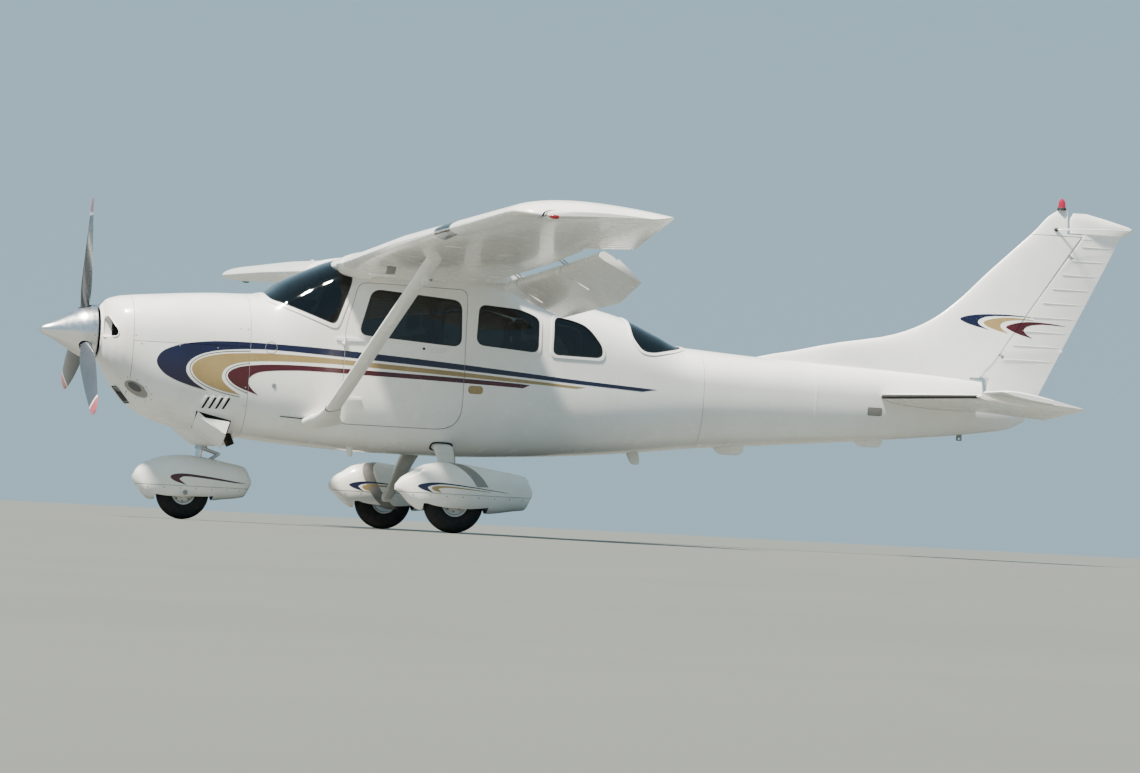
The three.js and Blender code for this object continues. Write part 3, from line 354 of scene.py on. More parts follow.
WHITE = Enamel("white_enamel_on_aluminium", "#F3F3F1", "#EBEBE7")
WHITE_COWL = Enamel("white_enamel_on_cowl", "#F3F3F1", "#E9E8E3", 0.06)
WHITE_FAIRING = Enamel("white_enamel_on_glass_fibre", "#F2F2EF", "#E6E4DC", 0.10)
WHITE_LEG = Enamel("white_enamel_on_spring_steel", "#E9E8E3", "#D2D0C6", 0.2)
NAVY = Enamel("navy_enamel_stripe", "#0C1038", "#090C2D")
TAN = Enamel("tan_enamel_stripe", "#A08A5C", "#937D50")
CRIMSON = Enamel("crimson_enamel_stripe", "#480818", "#3B0613")
# Grey enamel of plates, lids, the pitot mast and the spat bands, and painted shade in the cowl scoop's recess
GREY_BAND = Enamel("grey_enamel_band", "#8E8C88", "#82807C")
# Slate enamel of the blades, lamp housing and door locks, and painted shade in the cowl scoop's throat and the cabin
# side grooves
BLADE_GREY = Enamel("slate_enamel_on_forged_aluminium", "#3F444B", "#353A41")
BLADE_RED = Enamel("red_enamel_blade_tip", "#B4525B", "#9E434E")
BLADE_WHITE = Enamel("white_enamel_blade_band", "#E5E3E0", "#CFCDCA")
BLACK_PAINT = Enamel("black_enamel_outline", "#1C1D22", "#15161A")
POLISHED = Metal("polished_aluminium_spinner", "#DADBDD", 0.25, 1.2)
CHROME = Metal("hard_chrome_piston", "#D5D7DA", 0.08)
BRUSHED = Metal("brushed_stainless_steel", "#B9BBBD", 0.32, 0.8)
STEEL = Metal("cadmium_plated_steel", "#8F9092", 0.42, 0.0, "#6E6A62")
EXHAUST = Metal("heat_stained_stainless_exhaust", "#4A413A", 0.5, 0.0, "#1E1B1A")
CAST = Metal("cast_aluminium_engine", "#7C7E80", 0.6, 0.0, "#4A4846")
SMOKED = Tint("smoke_tinted_acrylic", "#5C5F5F")
CLEAR = Tint("clear_acrylic_lamp_cover", "#C9D4DA", 0.06)
TYRE = Moulded("vulcanised_tyre_rubber", "#111112", "#1D1C1C", 0.82, 2.5, 0.25)
SEAL = Moulded("extruded_rubber_seal", "#1B1C1D", "#252627", 0.6)
PANEL = Moulded("textured_black_plastic", "#202123", "#2B2C2E", 0.62)
TRIM = Moulded("moulded_cabin_trim", "#4E463C", "#433C33", 0.6)
FACE = Moulded("printed_dial_face", "#0D0E10", "#15161A", 0.5, 4.0, 0.02)
MARK = Moulded("white_dial_marking", "#E6E6E0", "#D6D6CE", 0.5)
# Near-black of the joints behind seams and gaps, and painted shade in the cowl's inlets, louvres and cowl flap openings
DARK = Moulded("blackened_duct", "#0B0B0C", "#141415", 0.9)
WOOL = Woven("grey_wool_upholstery", "#776E62", "#5C554B", 3.0)
CARPET = Woven("looped_cabin_carpet", "#3A383B", "#29282B", 5.0)
RED_LENS = Lamp("red_beacon_lens", "#B3123C", 0.25)
RED_NAV = Lamp("red_navigation_lens", "#A01018", 0.15)
GREEN_NAV = Lamp("green_navigation_lens", "#0F7A3A", 0.15)
WHITE_LENS = Lamp("clear_tail_lamp_lens", "#E8ECEC", 0.1)


# Mesh helpers


def signed(mesh: Mesh) -> Mesh:
    """Turns the faces of a closed body outwards."""
    body = bmesh.new()
    body.from_mesh(mesh)
    if body.calc_volume(signed=True) < 0:
        bmesh.ops.reverse_faces(body, faces=body.faces)
        body.to_mesh(mesh)
    body.free()
    return mesh


def build(points: np.ndarray, faces: list) -> Mesh:
    """Makes a closed body from corner points and faces."""
    mesh = bpy.data.meshes.new("body")
    mesh.from_pydata(np.asarray(points, float).reshape(-1, 3).tolist(), [], faces)
    return signed(mesh)


def strips(rows: int, sides: int, start: int = 0, closed: bool = True) -> list:
    """Quads between rings of points that are numbered ring by ring.

    Args:
        rows: Number of rings.
        sides: Points in a ring.
        start: Number of the first point.
        closed: Whether the last point of a ring joins the first.

    Returns:
        Lists of four point numbers.
    """
    row, side = np.meshgrid(np.arange(rows - 1), np.arange(sides if closed else sides - 1), indexing="ij")
    here = start + row * sides + side
    there = start + row * sides + (side + 1) % sides
    return np.stack([here, there, there + sides, here + sides], -1).reshape(-1, 4).tolist()


def loft(rings: np.ndarray) -> Mesh:
    """Closed body through rings of points, with flat ends.

    Args:
        rings: Array of rings, points and coordinates.

    Returns:
        The body.
    """
    rings = np.asarray(rings, float)
    rows, sides = rings.shape[:2]
    ends = [list(range(sides)), list(range((rows - 1) * sides, rows * sides))]
    return build(rings, [*strips(rows, sides), ends[0][::-1], ends[1]])


def sleeve(outer: np.ndarray, inner: np.ndarray) -> Mesh:
    """Closed body between two open skins of rings, such as a fuselage skin of some thickness."""
    rows, sides = outer.shape[:2]
    count = rows * sides
    points = np.concatenate([outer.reshape(-1, 3), inner.reshape(-1, 3)])
    faces = strips(rows, sides)
    faces += [quad[::-1] for quad in strips(rows, sides, count)]
    for row, flip in ((0, False), (rows - 1, True)):
        for k in range(sides):
            a = row * sides + k
            b = row * sides + (k + 1) % sides
            quad = [a, a + count, b + count, b]
            faces.append(quad[::-1] if flip else quad)
    return build(points, faces)


def prism(outline: np.ndarray, low: float, high: float, axis: str = "y") -> Mesh:
    """Outline swept along an axis.

    Args:
        outline: Points of two coordinates: station and waterline for y, buttline and waterline for x,
            station and buttline for z.
        low: Where the body starts along the axis.
        high: Where it ends.
        axis: Axis of the sweep.

    Returns:
        The body.
    """
    outline = np.asarray(outline, float)
    order = {"y": (0, 2, 1), "x": (1, 2, 0), "z": (0, 1, 2)}[axis]
    rings = np.zeros((2, len(outline), 3))
    for i, depth in enumerate((low, high)):
        rings[i, :, order[0]] = outline[:, 0]
        rings[i, :, order[1]] = outline[:, 1]
        rings[i, :, order[2]] = depth
    return loft(rings)


def box(low: Sequence[float], high: Sequence[float]) -> Mesh:
    """Rectangular body between two corners."""
    corners = [(low[0], low[2]), (high[0], low[2]), (high[0], high[2]), (low[0], high[2])]
    return prism(np.array(corners), low[1], high[1])


def turned(profile: Sequence[tuple[float, float]], centre: Sequence[float], axis: Sequence[float],
           sides: int = 48) -> Mesh:
    """Turned body; profile rows are distance along the axis and radius, ends on the axis or closed.

    Args:
        profile: Rows of run and radius.
        centre: Point on the axis where the run is zero.
        axis: Direction of the axis.
        sides: Number of facets round the body.

    Returns:
        The body.
    """
    closed = profile[0] == profile[-1]
    rows = list(profile[:-1] if closed else profile)
    way = Vector(axis).normalized()
    first = way.orthogonal().normalized()
    second = way.cross(first)
    turns = np.arange(sides) * 2 * math.pi / sides
    circle = np.outer(np.cos(turns), first) + np.outer(np.sin(turns), second)
    body = bmesh.new()
    rings = []
    for run, radius in rows:
        middle = np.array(centre) + run * np.array(way)
        spots = [middle] if radius < 1e-7 else middle + radius * circle
        rings.append([body.verts.new(spot) for spot in spots])
    pairs = list(zip(rings, rings[1:]))
    if closed:
        pairs.append((rings[-1], rings[0]))
    for low, high in pairs:
        for k in range(sides):
            corners = [low[k % len(low)], low[(k + 1) % len(low)], high[(k + 1) % len(high)], high[k % len(high)]]
            body.faces.new(list(dict.fromkeys(corners)))
    mesh = bpy.data.meshes.new("turned")
    body.to_mesh(mesh)
    body.free()
    return signed(mesh)


def tube(path: np.ndarray, radius: float | np.ndarray, sides: int = 16, closed: bool = False,
         flat: float = 1.0) -> Mesh:
    """Round bar along a path.

    Args:
        path: Points of the middle line.
        radius: Radius, or one for each point.
        sides: Number of facets round the bar.
        closed: Whether the bar is a ring.
        flat: Height of the section over its width.

    Returns:
        The body.
    """
    path = np.asarray(path, float)
    count = len(path)
    radii = np.broadcast_to(np.asarray(radius, float), (count,))
    ahead = np.roll(path, -1, 0) - np.roll(path, 1, 0)
    if not closed:
        ahead[0] = path[1] - path[0]
        ahead[-1] = path[-1] - path[-2]
    ahead /= np.linalg.norm(ahead, axis=1)[:, None]
    side = np.array(Vector(ahead[0]).orthogonal().normalized())
    turns = np.arange(sides) * 2 * math.pi / sides
    rings = []
    for spot, way, r in zip(path, ahead, radii):
        side = side - way * side.dot(way)
        side /= np.linalg.norm(side)
        up = np.cross(way, side)
        rings.append(spot + r * (np.outer(np.cos(turns), side) + flat * np.outer(np.sin(turns), up)))
    if not closed:
        return loft(np.array(rings))
    points = np.array(rings)
    faces = strips(count, sides)
    last = (count - 1) * sides
    # The last ring meets the first at the turn that lies nearest
    shift = int(np.argmin(np.linalg.norm(points[0] - points[-1][0], axis=1)))
    for k in range(sides):
        faces.append([last + k, last + (k + 1) % sides, (k + 1 + shift) % sides, (k + shift) % sides])
    return build(points, faces)


def combined(base: Mesh, how: Join, *tools: Mesh) -> Mesh:
    """Joins, cuts or keeps a closed body with others, one after another.

    Args:
        base: Body that is changed.
        how: What is done.
        tools: Bodies that do it.

    Returns:
        A new mesh.
    """
    holders = [bpy.data.objects.new("scratch", mesh) for mesh in (base, *tools)]
    for holder in holders:
        bpy.context.scene.collection.objects.link(holder)
    for tool in holders[1:]:
        step = holders[0].modifiers.new("step", "BOOLEAN")
        step.operation = how.value
        step.object = tool
        step.solver = "MANIFOLD"
    graph = bpy.context.evaluated_depsgraph_get()
    made = bpy.data.meshes.new_from_object(holders[0].evaluated_get(graph))
    for holder in holders:
        bpy.data.objects.remove(holder)
    return made


def gathered(*bodies: Mesh) -> Mesh:
    """Several bodies in one mesh, as they are."""
    body = bmesh.new()
    for mesh in bodies:
        body.from_mesh(mesh)
    made = bpy.data.meshes.new("gathered")
    body.to_mesh(made)
    body.free()
    return made


def moved(mesh: Mesh, matrix: Matrix) -> Mesh:
    """A copy of a mesh put through a matrix, with its faces kept outwards."""
    copy = mesh.copy()
    copy.transform(matrix)
    if matrix.determinant() < 0:
        copy.flip_normals()
    return copy


def mirrored(mesh: Mesh) -> Mesh:
    """The same body on the other side of the aircraft."""
    return moved(mesh, Matrix.Scale(-1, 4, Vector((0, 1, 0))))


def sided(mesh: Mesh, side: Side) -> Mesh:
    """A starboard body, or its mirror for the port side."""
    return mesh if side is Side.RIGHT else mirrored(mesh)


def spin(centre: Sequence[float], axis: Sequence[float], degrees: float) -> Matrix:
    """Turn about a line through a point."""
    there = Matrix.Translation(Vector(centre))
    return there @ Matrix.Rotation(math.radians(degrees), 4, Vector(axis)) @ there.inverted()


def rounded(corners: Sequence[Sequence[float]], ease: float | Sequence[float], steps: int = 6) -> np.ndarray:
    """Outline with each corner eased by a curve that starts and ends at the given distance from it.

    Args:
        corners: Corners in order.
        ease: Distance, or one for each corner.
        steps: Steps of each curve.

    Returns:
        Points of the outline.
    """
    spots = np.asarray(corners, float)
    eases = np.broadcast_to(np.asarray(ease, float), (len(spots),))
    made = []
    for i, spot in enumerate(spots):
        for_before = spots[i - 1] - spot
        for_after = spots[(i + 1) % len(spots)] - spot
        into = spot + for_before * min(eases[i] / np.linalg.norm(for_before), 0.48)
        out = spot + for_after * min(eases[i] / np.linalg.norm(for_after), 0.48)
        for t in np.linspace(0, 1, steps if eases[i] else 1):
            made.append((1 - t) ** 2 * into + 2 * t * (1 - t) * spot + t * t * out)
    return np.array(made)


def grown(outline: np.ndarray, distance: float) -> np.ndarray:
    """Outline moved outwards by a distance, or inwards where it is negative."""
    spots = np.asarray(outline, float)
    following = np.roll(spots, -1, 0)
    area = np.sum(spots[:, 0] * following[:, 1] - following[:, 0] * spots[:, 1])
    into = spots - np.roll(spots, 1, 0)
    into /= np.linalg.norm(into, axis=1)[:, None]
    out = np.roll(into, -1, 0)
    push = np.stack([into[:, 1] + out[:, 1], -into[:, 0] - out[:, 0]], 1)
    scale = math.copysign(distance, distance * area) / (1 + np.sum(into * out, 1))
    return spots + push * scale[:, None]


def flowing(points: Sequence[Sequence[float]], steps: int = 8) -> np.ndarray:
    """Smooth curve through points, by cubic splines that pass through each.

    Args:
        points: Points that the curve goes through.
        steps: Steps between two of them.

    Returns:
        Points of the curve.
    """
    spots = np.asarray(points, float)
    spots = np.concatenate([2 * spots[:1] - spots[1:2], spots, 2 * spots[-1:] - spots[-2:-1]])
    made = []
    for before, start, end, after in zip(spots, spots[1:], spots[2:], spots[3:]):
        for t in np.arange(steps) / steps:
            made.append(0.5 * (2 * start + (end - before) * t + (2 * before - 5 * start + 4 * end - after) * t ** 2
                               + (3 * start - before - 3 * end + after) * t ** 3))
    return np.array([*made, spots[-2]])


def smooth_through(x: np.ndarray, y: np.ndarray, at: np.ndarray) -> np.ndarray:
    """Monotone cubic curve through the rows of a table.

    Args:
        x: Places of the rows.
        y: Values of the rows.
        at: Places where the value is wanted.

    Returns:
        Values there.
    """
    width = np.diff(x)
    slope = np.diff(y) / width
    product = slope[:-1] * slope[1:]
    total = np.where(np.abs(slope[:-1] + slope[1:]) > 1e-12, slope[:-1] + slope[1:], 1.0)
    inner = np.where(product > 0, 2 * product / total, 0.0)
    tangent = np.concatenate([slope[:1], inner, slope[-1:]])
    at = np.clip(at, x[0], x[-1])
    i = np.clip(np.searchsorted(x, at) - 1, 0, len(width) - 1)
    t = (at - x[i]) / width[i]
    return ((1 + 2 * t) * (1 - t) ** 2 * y[i] + t * (1 - t) ** 2 * width[i] * tangent[i]
            + t ** 2 * (3 - 2 * t) * y[i + 1] + t ** 2 * (t - 1) * width[i] * tangent[i + 1])


def row_at(table: np.ndarray, at: float) -> list[float]:
    """Values of a table's further columns where its first column has a value, on smooth curves."""
    return [float(smooth_through(table[:, 0], column, np.array(at))) for column in table.T[1:]]


def superellipse(sides: int, power: float) -> np.ndarray:
    """Points of a unit superellipse at even turns."""
    turns = (np.arange(sides) + 0.5) * 2 * math.pi / sides
    spots = np.stack([np.cos(turns), np.sin(turns)], 1)
    return np.sign(spots) * np.abs(spots) ** (2 / power)


# Largest angle between a face and the form whose direction it takes over
FOLLOW_DEGREES = 25


def dress(name: str, mesh: Mesh, finish: Finish, body: str = "airframe",
          replaces: Sequence[str] = (), sharp: float = 30, normals: Field | None = None,
          turn: Matrix | None = None) -> bpy.types.Object:
    """Places a body in the frame as a named piece.

    Args:
        name: Name of the piece.
        mesh: Its mesh, in stations, buttlines and waterlines.
        finish: Finish of the piece.
        body: Body of the frame that it moves with.
        replaces: Nodes of the frame that it stands for.
        sharp: Angle in degrees above which an edge stays sharp.
        normals: True surface direction at points, used where a face follows it.
        turn: Turn that brings the piece to its place at rest.

    Returns:
        The piece.
    """
    if normals is not None:
        follow(mesh, normals, math.cos(math.radians(FOLLOW_DEGREES)), math.radians(sharp))
    else:
        mesh.polygons.foreach_set("use_smooth", [True] * len(mesh.polygons))
        mesh.set_sharp_from_angle(angle=math.radians(sharp))
    mesh.transform(Matrix.Translation(ORIGIN) @ (turn or Matrix.Identity(4)))
    mesh.name = name
    mesh.materials.clear()
    mesh.materials.append(finish.make())
    piece = bpy.data.objects.new(name, mesh)
    bpy.context.scene.collection.objects.link(piece)
    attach(piece, body)
    if replaces:
        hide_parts(*replaces)
    log.info("%s: %d faces on %s", name, len(mesh.polygons), body)
    return piece


def follow(mesh: Mesh, normals: Field, limit: float, sharp: float) -> None:
    """Shades the faces that lie on a known surface with that surface's own direction.

    Args:
        mesh: Mesh that is changed.
        normals: Surface direction at points.
        limit: Cosine of the largest angle between a face and the surface.
        sharp: Angle in radians above which other edges stay sharp.
    """
    mesh.polygons.foreach_set("use_smooth", [True] * len(mesh.polygons))
    mesh.set_sharp_from_angle(angle=sharp)
    count = len(mesh.loops)
    current = np.zeros(count * 3, np.float32)
    mesh.corner_normals.foreach_get("vector", current)
    current = current.reshape(-1, 3)
    spots = np.zeros(len(mesh.vertices) * 3, np.float32)
    mesh.vertices.foreach_get("co", spots)
    spots = spots.reshape(-1, 3).astype(float)
    corner = np.zeros(count, np.int32)
    mesh.loops.foreach_get("vertex_index", corner)
    flat = np.zeros(len(mesh.polygons) * 3, np.float32)
    mesh.polygons.foreach_get("normal", flat)
    sizes = np.zeros(len(mesh.polygons), np.int32)
    mesh.polygons.foreach_get("loop_total", sizes)
    flat = np.repeat(flat.reshape(-1, 3), sizes, axis=0)
    true = normals(spots)[corner]
    along = np.sum(true * flat, 1)
    made = np.where((along > limit)[:, None], true, np.where((along < -limit)[:, None], -true, current))
    mesh.normals_split_custom_set(made.tolist())


# Fuselage form


class Hull:
    """Fuselage surface: superellipse rings between the rows of a short table."""

    # Station, half width, top, bottom, level of the widest line, upper and lower squareness
    ROWS = np.array([
        [0.440, 0.235, 0.215, -0.200, 0.000, 2.0, 2.0],
        [0.475, 0.335, 0.250, -0.250, 0.000, 2.2, 2.2],
        [0.520, 0.400, 0.268, -0.320, -0.010, 2.4, 2.3],
        [0.580, 0.440, 0.283, -0.400, -0.020, 2.6, 2.4],
        [0.700, 0.470, 0.298, -0.535, -0.040, 2.8, 2.5],
        [0.850, 0.490, 0.312, -0.620, -0.060, 2.9, 2.7],
        [1.070, 0.510, 0.332, -0.680, -0.080, 3.0, 2.9],
        [1.300, 0.530, 0.347, -0.710, -0.100, 3.0, 3.1],
        [1.500, 0.545, 0.353, -0.725, -0.110, 3.0, 3.3],
        [1.640, 0.553, 0.366, -0.738, -0.120, 2.9, 3.4],
        [1.800, 0.562, 0.470, -0.750, -0.120, 2.9, 3.5],
        [2.000, 0.571, 0.572, -0.762, -0.100, 3.2, 3.6],
        [2.240, 0.579, 0.665, -0.775, -0.080, 3.8, 3.8],
        [2.600, 0.585, 0.712, -0.785, -0.060, 4.2, 4.0],
        [3.100, 0.585, 0.690, -0.785, -0.060, 4.2, 4.0],
        [3.400, 0.580, 0.640, -0.775, -0.060, 4.0, 4.0],
        [3.750, 0.562, 0.545, -0.755, -0.060, 3.6, 3.8],
        [4.100, 0.528, 0.430, -0.728, -0.070, 3.2, 3.6],
        [4.450, 0.486, 0.345, -0.694, -0.090, 2.8, 3.3],
        [4.700, 0.450, 0.243, -0.665, -0.110, 2.6, 3.1],
        [4.920, 0.415, 0.155, -0.636, -0.130, 2.4, 2.9],
        [5.050, 0.395, 0.146, -0.620, -0.140, 2.4, 2.8],
        [5.500, 0.330, 0.120, -0.578, -0.150, 2.4, 2.6],
        [6.000, 0.262, 0.098, -0.530, -0.160, 2.4, 2.5],
        [6.500, 0.195, 0.082, -0.480, -0.165, 2.4, 2.4],
        [7.000, 0.130, 0.066, -0.425, -0.165, 2.3, 2.3],
        [7.400, 0.082, 0.050, -0.372, -0.165, 2.2, 2.2],
        [7.650, 0.052, 0.020, -0.325, -0.170, 2.0, 2.0],
        [7.780, 0.022, -0.150, -0.260, -0.205, 2.0, 2.0],
    ])
    QUARTER = 36

    def row(self, station: np.ndarray) -> np.ndarray:
        """Half width, top, bottom, widest line and the two powers at stations."""
        at = np.asarray(station, float)
        columns = [smooth_through(self.ROWS[:, 0], self.ROWS[:, k], at) for k in range(1, 7)]
        return np.stack(columns)

    def measure(self, spots: np.ndarray) -> np.ndarray:
        """One on the surface, less inside and more outside."""
        half, top, bottom, widest, upper, lower = self.row(spots[:, 0])
        above = spots[:, 2] > widest
        height = np.where(above, top - widest, widest - bottom)
        power = np.where(above, upper, lower)
        across = np.abs(spots[:, 1]) / half
        rise = np.abs(spots[:, 2] - widest) / height
        return (across ** power + rise ** power + 1e-12) ** (1 / power)

    def normals(self, spots: np.ndarray) -> np.ndarray:
        """Direction of the surface at points on it or near it."""
        step = 2e-4
        made = np.zeros_like(spots)
        for k in range(3):
            shift = np.zeros(3)
            shift[k] = step
            made[:, k] = self.measure(spots + shift) - self.measure(spots - shift)
        length = np.linalg.norm(made, axis=1)
        return made / np.maximum(length, 1e-12)[:, None]

    def grid(self, stations: np.ndarray) -> np.ndarray:
        """Rings of the surface at stations, with evenly spaced points."""
        turns = np.linspace(0, math.pi / 2, 160)
        shares = (np.arange(self.QUARTER) + 0.5) / self.QUARTER
        rings = []
        for station in stations:
            half, top, bottom, widest, upper, lower = self.row(np.array(station))
            quarters = []
            for height, power in ((top - widest, upper), (widest - bottom, lower)):
                y = half * np.cos(turns) ** (2 / power)
                z = height * np.sin(turns) ** (2 / power)
                run = np.concatenate([[0], np.cumsum(np.hypot(np.diff(y), np.diff(z)))])
                wanted = shares * run[-1]
                quarters.append((np.interp(wanted, run, y), np.interp(wanted, run, z)))
            (uy, uz), (ly, lz) = quarters
            ys = np.concatenate([uy, -uy[::-1], -ly, ly[::-1]])
            zs = widest + np.concatenate([uz, uz[::-1], -lz, -lz[::-1]])
            rings.append(np.stack([np.full_like(ys, station), ys, zs], 1))
        return np.array(rings)

    def skin(self, start: float, end: float, proud: float, depth: float, pitch: float = 0.03) -> Mesh:
        """Skin of some thickness between two stations.

        Args:
            start: First station.
            end: Last station.
            proud: How far the outer face stands out from the surface.
            depth: How far the inner face lies inside it.
            pitch: Distance between rings.

        Returns:
            The closed body.
        """
        stations = np.linspace(start, end, max(3, int((end - start) / pitch)))
        rings = self.grid(stations)
        shape = rings.shape
        facing = self.normals(rings.reshape(-1, 3)).reshape(shape)
        facing[:, :, 0] = 0
        facing /= np.linalg.norm(facing, axis=2)[:, :, None]
        return sleeve(rings + proud * facing, rings - depth * facing)

    def side(self, station: float, level: float) -> float:
        """Half width of the surface at a station and waterline."""
        half, top, bottom, widest, upper, lower = self.row(np.array(station))
        height, power = (top - widest, upper) if level > widest else (widest - bottom, lower)
        share = min(1.0, abs(level - widest) / height)
        return float(half * (1 - share ** power) ** (1 / power))

    def bottom(self, station: float) -> float:
        """Waterline of the keel line at a station."""
        return float(self.row(np.array(station))[2])

    def front(self, buttline: float, level: float) -> float:
        """Station at which the nose's surface passes through a buttline and waterline."""
        low, high = 0.4405, 1.2
        for _ in range(30):
            middle = (low + high) / 2
            outside = self.measure(np.array([[middle, buttline, level]]))[0] > 1
            low, high = (middle, high) if outside else (low, middle)
        return high


HULL = Hull()


# Fuselage

SEAM = 0.0015
DOOR_GAP = 0.004
PORT = (-FAR, -0.25)
STARBOARD = (0.25, FAR)
ACROSS = (-FAR, FAR)
COWL_SPLIT = -0.06
BOWL_END = 0.640
FIREWALL = 1.500
TAIL_JOINT = 5.050


@dataclass(frozen=True)
class Opening:
    """A hole in the fuselage side, by the corners of its side view and how far each is eased."""

    corners: tuple[tuple[float, float], ...]
    ease: float | tuple[float, ...] = 0.055

    def outline(self, growth: float = 0.0) -> np.ndarray:
        """Points of the hole, grown by a distance."""
        return rounded(grown(np.array(self.corners), growth), self.ease)

    def prism(self, sides: tuple[float, float], growth: float = 0.0) -> Mesh:
        """The hole as a body right through the sides that are given."""
        return prism(self.outline(growth), *sides)


PILOT_DOOR = Opening(
    ((2.206, -0.588), (2.206, 0.130), (2.300, 0.470), (3.122, 0.462), (3.122, -0.588)),
    (0.055, 0.10, 0.06, 0.06, 0.19),
)
PILOT_WINDOW = Opening(((2.302, 0.080), (2.395, 0.428), (3.082, 0.380), (3.092, 0.032)), 0.075)
CARGO_FRONT = Opening(
    ((3.152, -0.560), (3.152, 0.420), (3.560, 0.366), (3.740, 0.316), (3.740, -0.560)),
    (0.08, 0.05, 0.12, 0.02, 0.02),
)
CARGO_REAR = Opening(
    ((3.758, -0.560), (3.758, 0.320), (3.960, 0.312), (4.280, 0.262), (4.280, -0.500)),
    (0.02, 0.02, 0.12, 0.10, 0.12),
)
CARGO_BAY = Opening(
    ((3.152, -0.560), (3.152, 0.420), (3.560, 0.366), (3.740, 0.324), (3.960, 0.312), (4.280, 0.262),
     (4.280, -0.500), (3.758, -0.560)),
    (0.08, 0.05, 0.12, 0.06, 0.12, 0.10, 0.12, 0.06),
)
WINDOW_TWO = Opening(
    ((3.202, 0.058), (3.216, 0.362), (3.520, 0.344), (3.600, 0.322), (3.692, 0.282), (3.692, 0.024)),
    (0.07, 0.06, 0.05, 0.05, 0.05, 0.06),
)
WINDOW_THREE = Opening(
    ((3.806, 0.018), (3.812, 0.308), (3.960, 0.288), (4.085, 0.248), (4.205, 0.100), (4.205, 0.014)),
    (0.05, 0.05, 0.06, 0.09, 0.06, 0.06),
)
WINDSHIELD = Opening(((1.640, 0.318), (2.128, 0.140), (2.250, 0.482), (2.242, 0.900), (1.640, 0.900)), 0.05)
REAR_WINDOW = Opening(
    ((4.462, 0.600), (4.450, 0.200), (4.530, 0.092), (4.620, 0.080), (4.860, 0.128), (4.925, 0.152),
     (4.925, 0.600)),
    0.05,
)


@dataclass(frozen=True)
class Pane:
    """A window: its node, hole, side, body and how it is framed."""

    node: str
    hole: Opening
    sides: tuple[float, float]
    body: str = "airframe"
    frame: float = 0.020


PANES = (
    Pane("windshield", WINDSHIELD, ACROSS, frame=0.026),
    Pane("rear_window", REAR_WINDOW, ACROSS),
    Pane("window_left_middle", WINDOW_TWO, PORT),
    Pane("window_left_rear", WINDOW_THREE, PORT),
    Pane("window_right_front", PILOT_WINDOW, STARBOARD),
    Pane("pilot_door_window", PILOT_WINDOW, PORT, "pilot_door"),
    Pane("cargo_window_front", WINDOW_TWO, STARBOARD, "cargo_door_front"),
    Pane("cargo_window_rear", WINDOW_THREE, STARBOARD, "cargo_door_rear"),
)


@dataclass(frozen=True)
class Door:
    """A hinged door. Its sense is 1 where it lies aft of its pin and -1 where it lies ahead of it."""

    node: str
    hole: Opening
    side: Side
    pin_station: float
    sense: int
    levels: tuple[float, float]
    window: Opening

    @property
    def sides(self) -> tuple[float, float]:
        """Range of buttlines on the door's side."""
        return PORT if self.side is Side.LEFT else STARBOARD


DOORS = (
    Door("pilot_door", PILOT_DOOR, Side.LEFT, 2.200, 1, (-0.400, 0.040), PILOT_WINDOW),
    Door("cargo_door_front", CARGO_FRONT, Side.RIGHT, 3.146, 1, (-0.400, 0.150), WINDOW_TWO),
    Door("cargo_door_rear", CARGO_REAR, Side.RIGHT, 4.286, -1, (-0.380, 0.120), WINDOW_THREE),
)


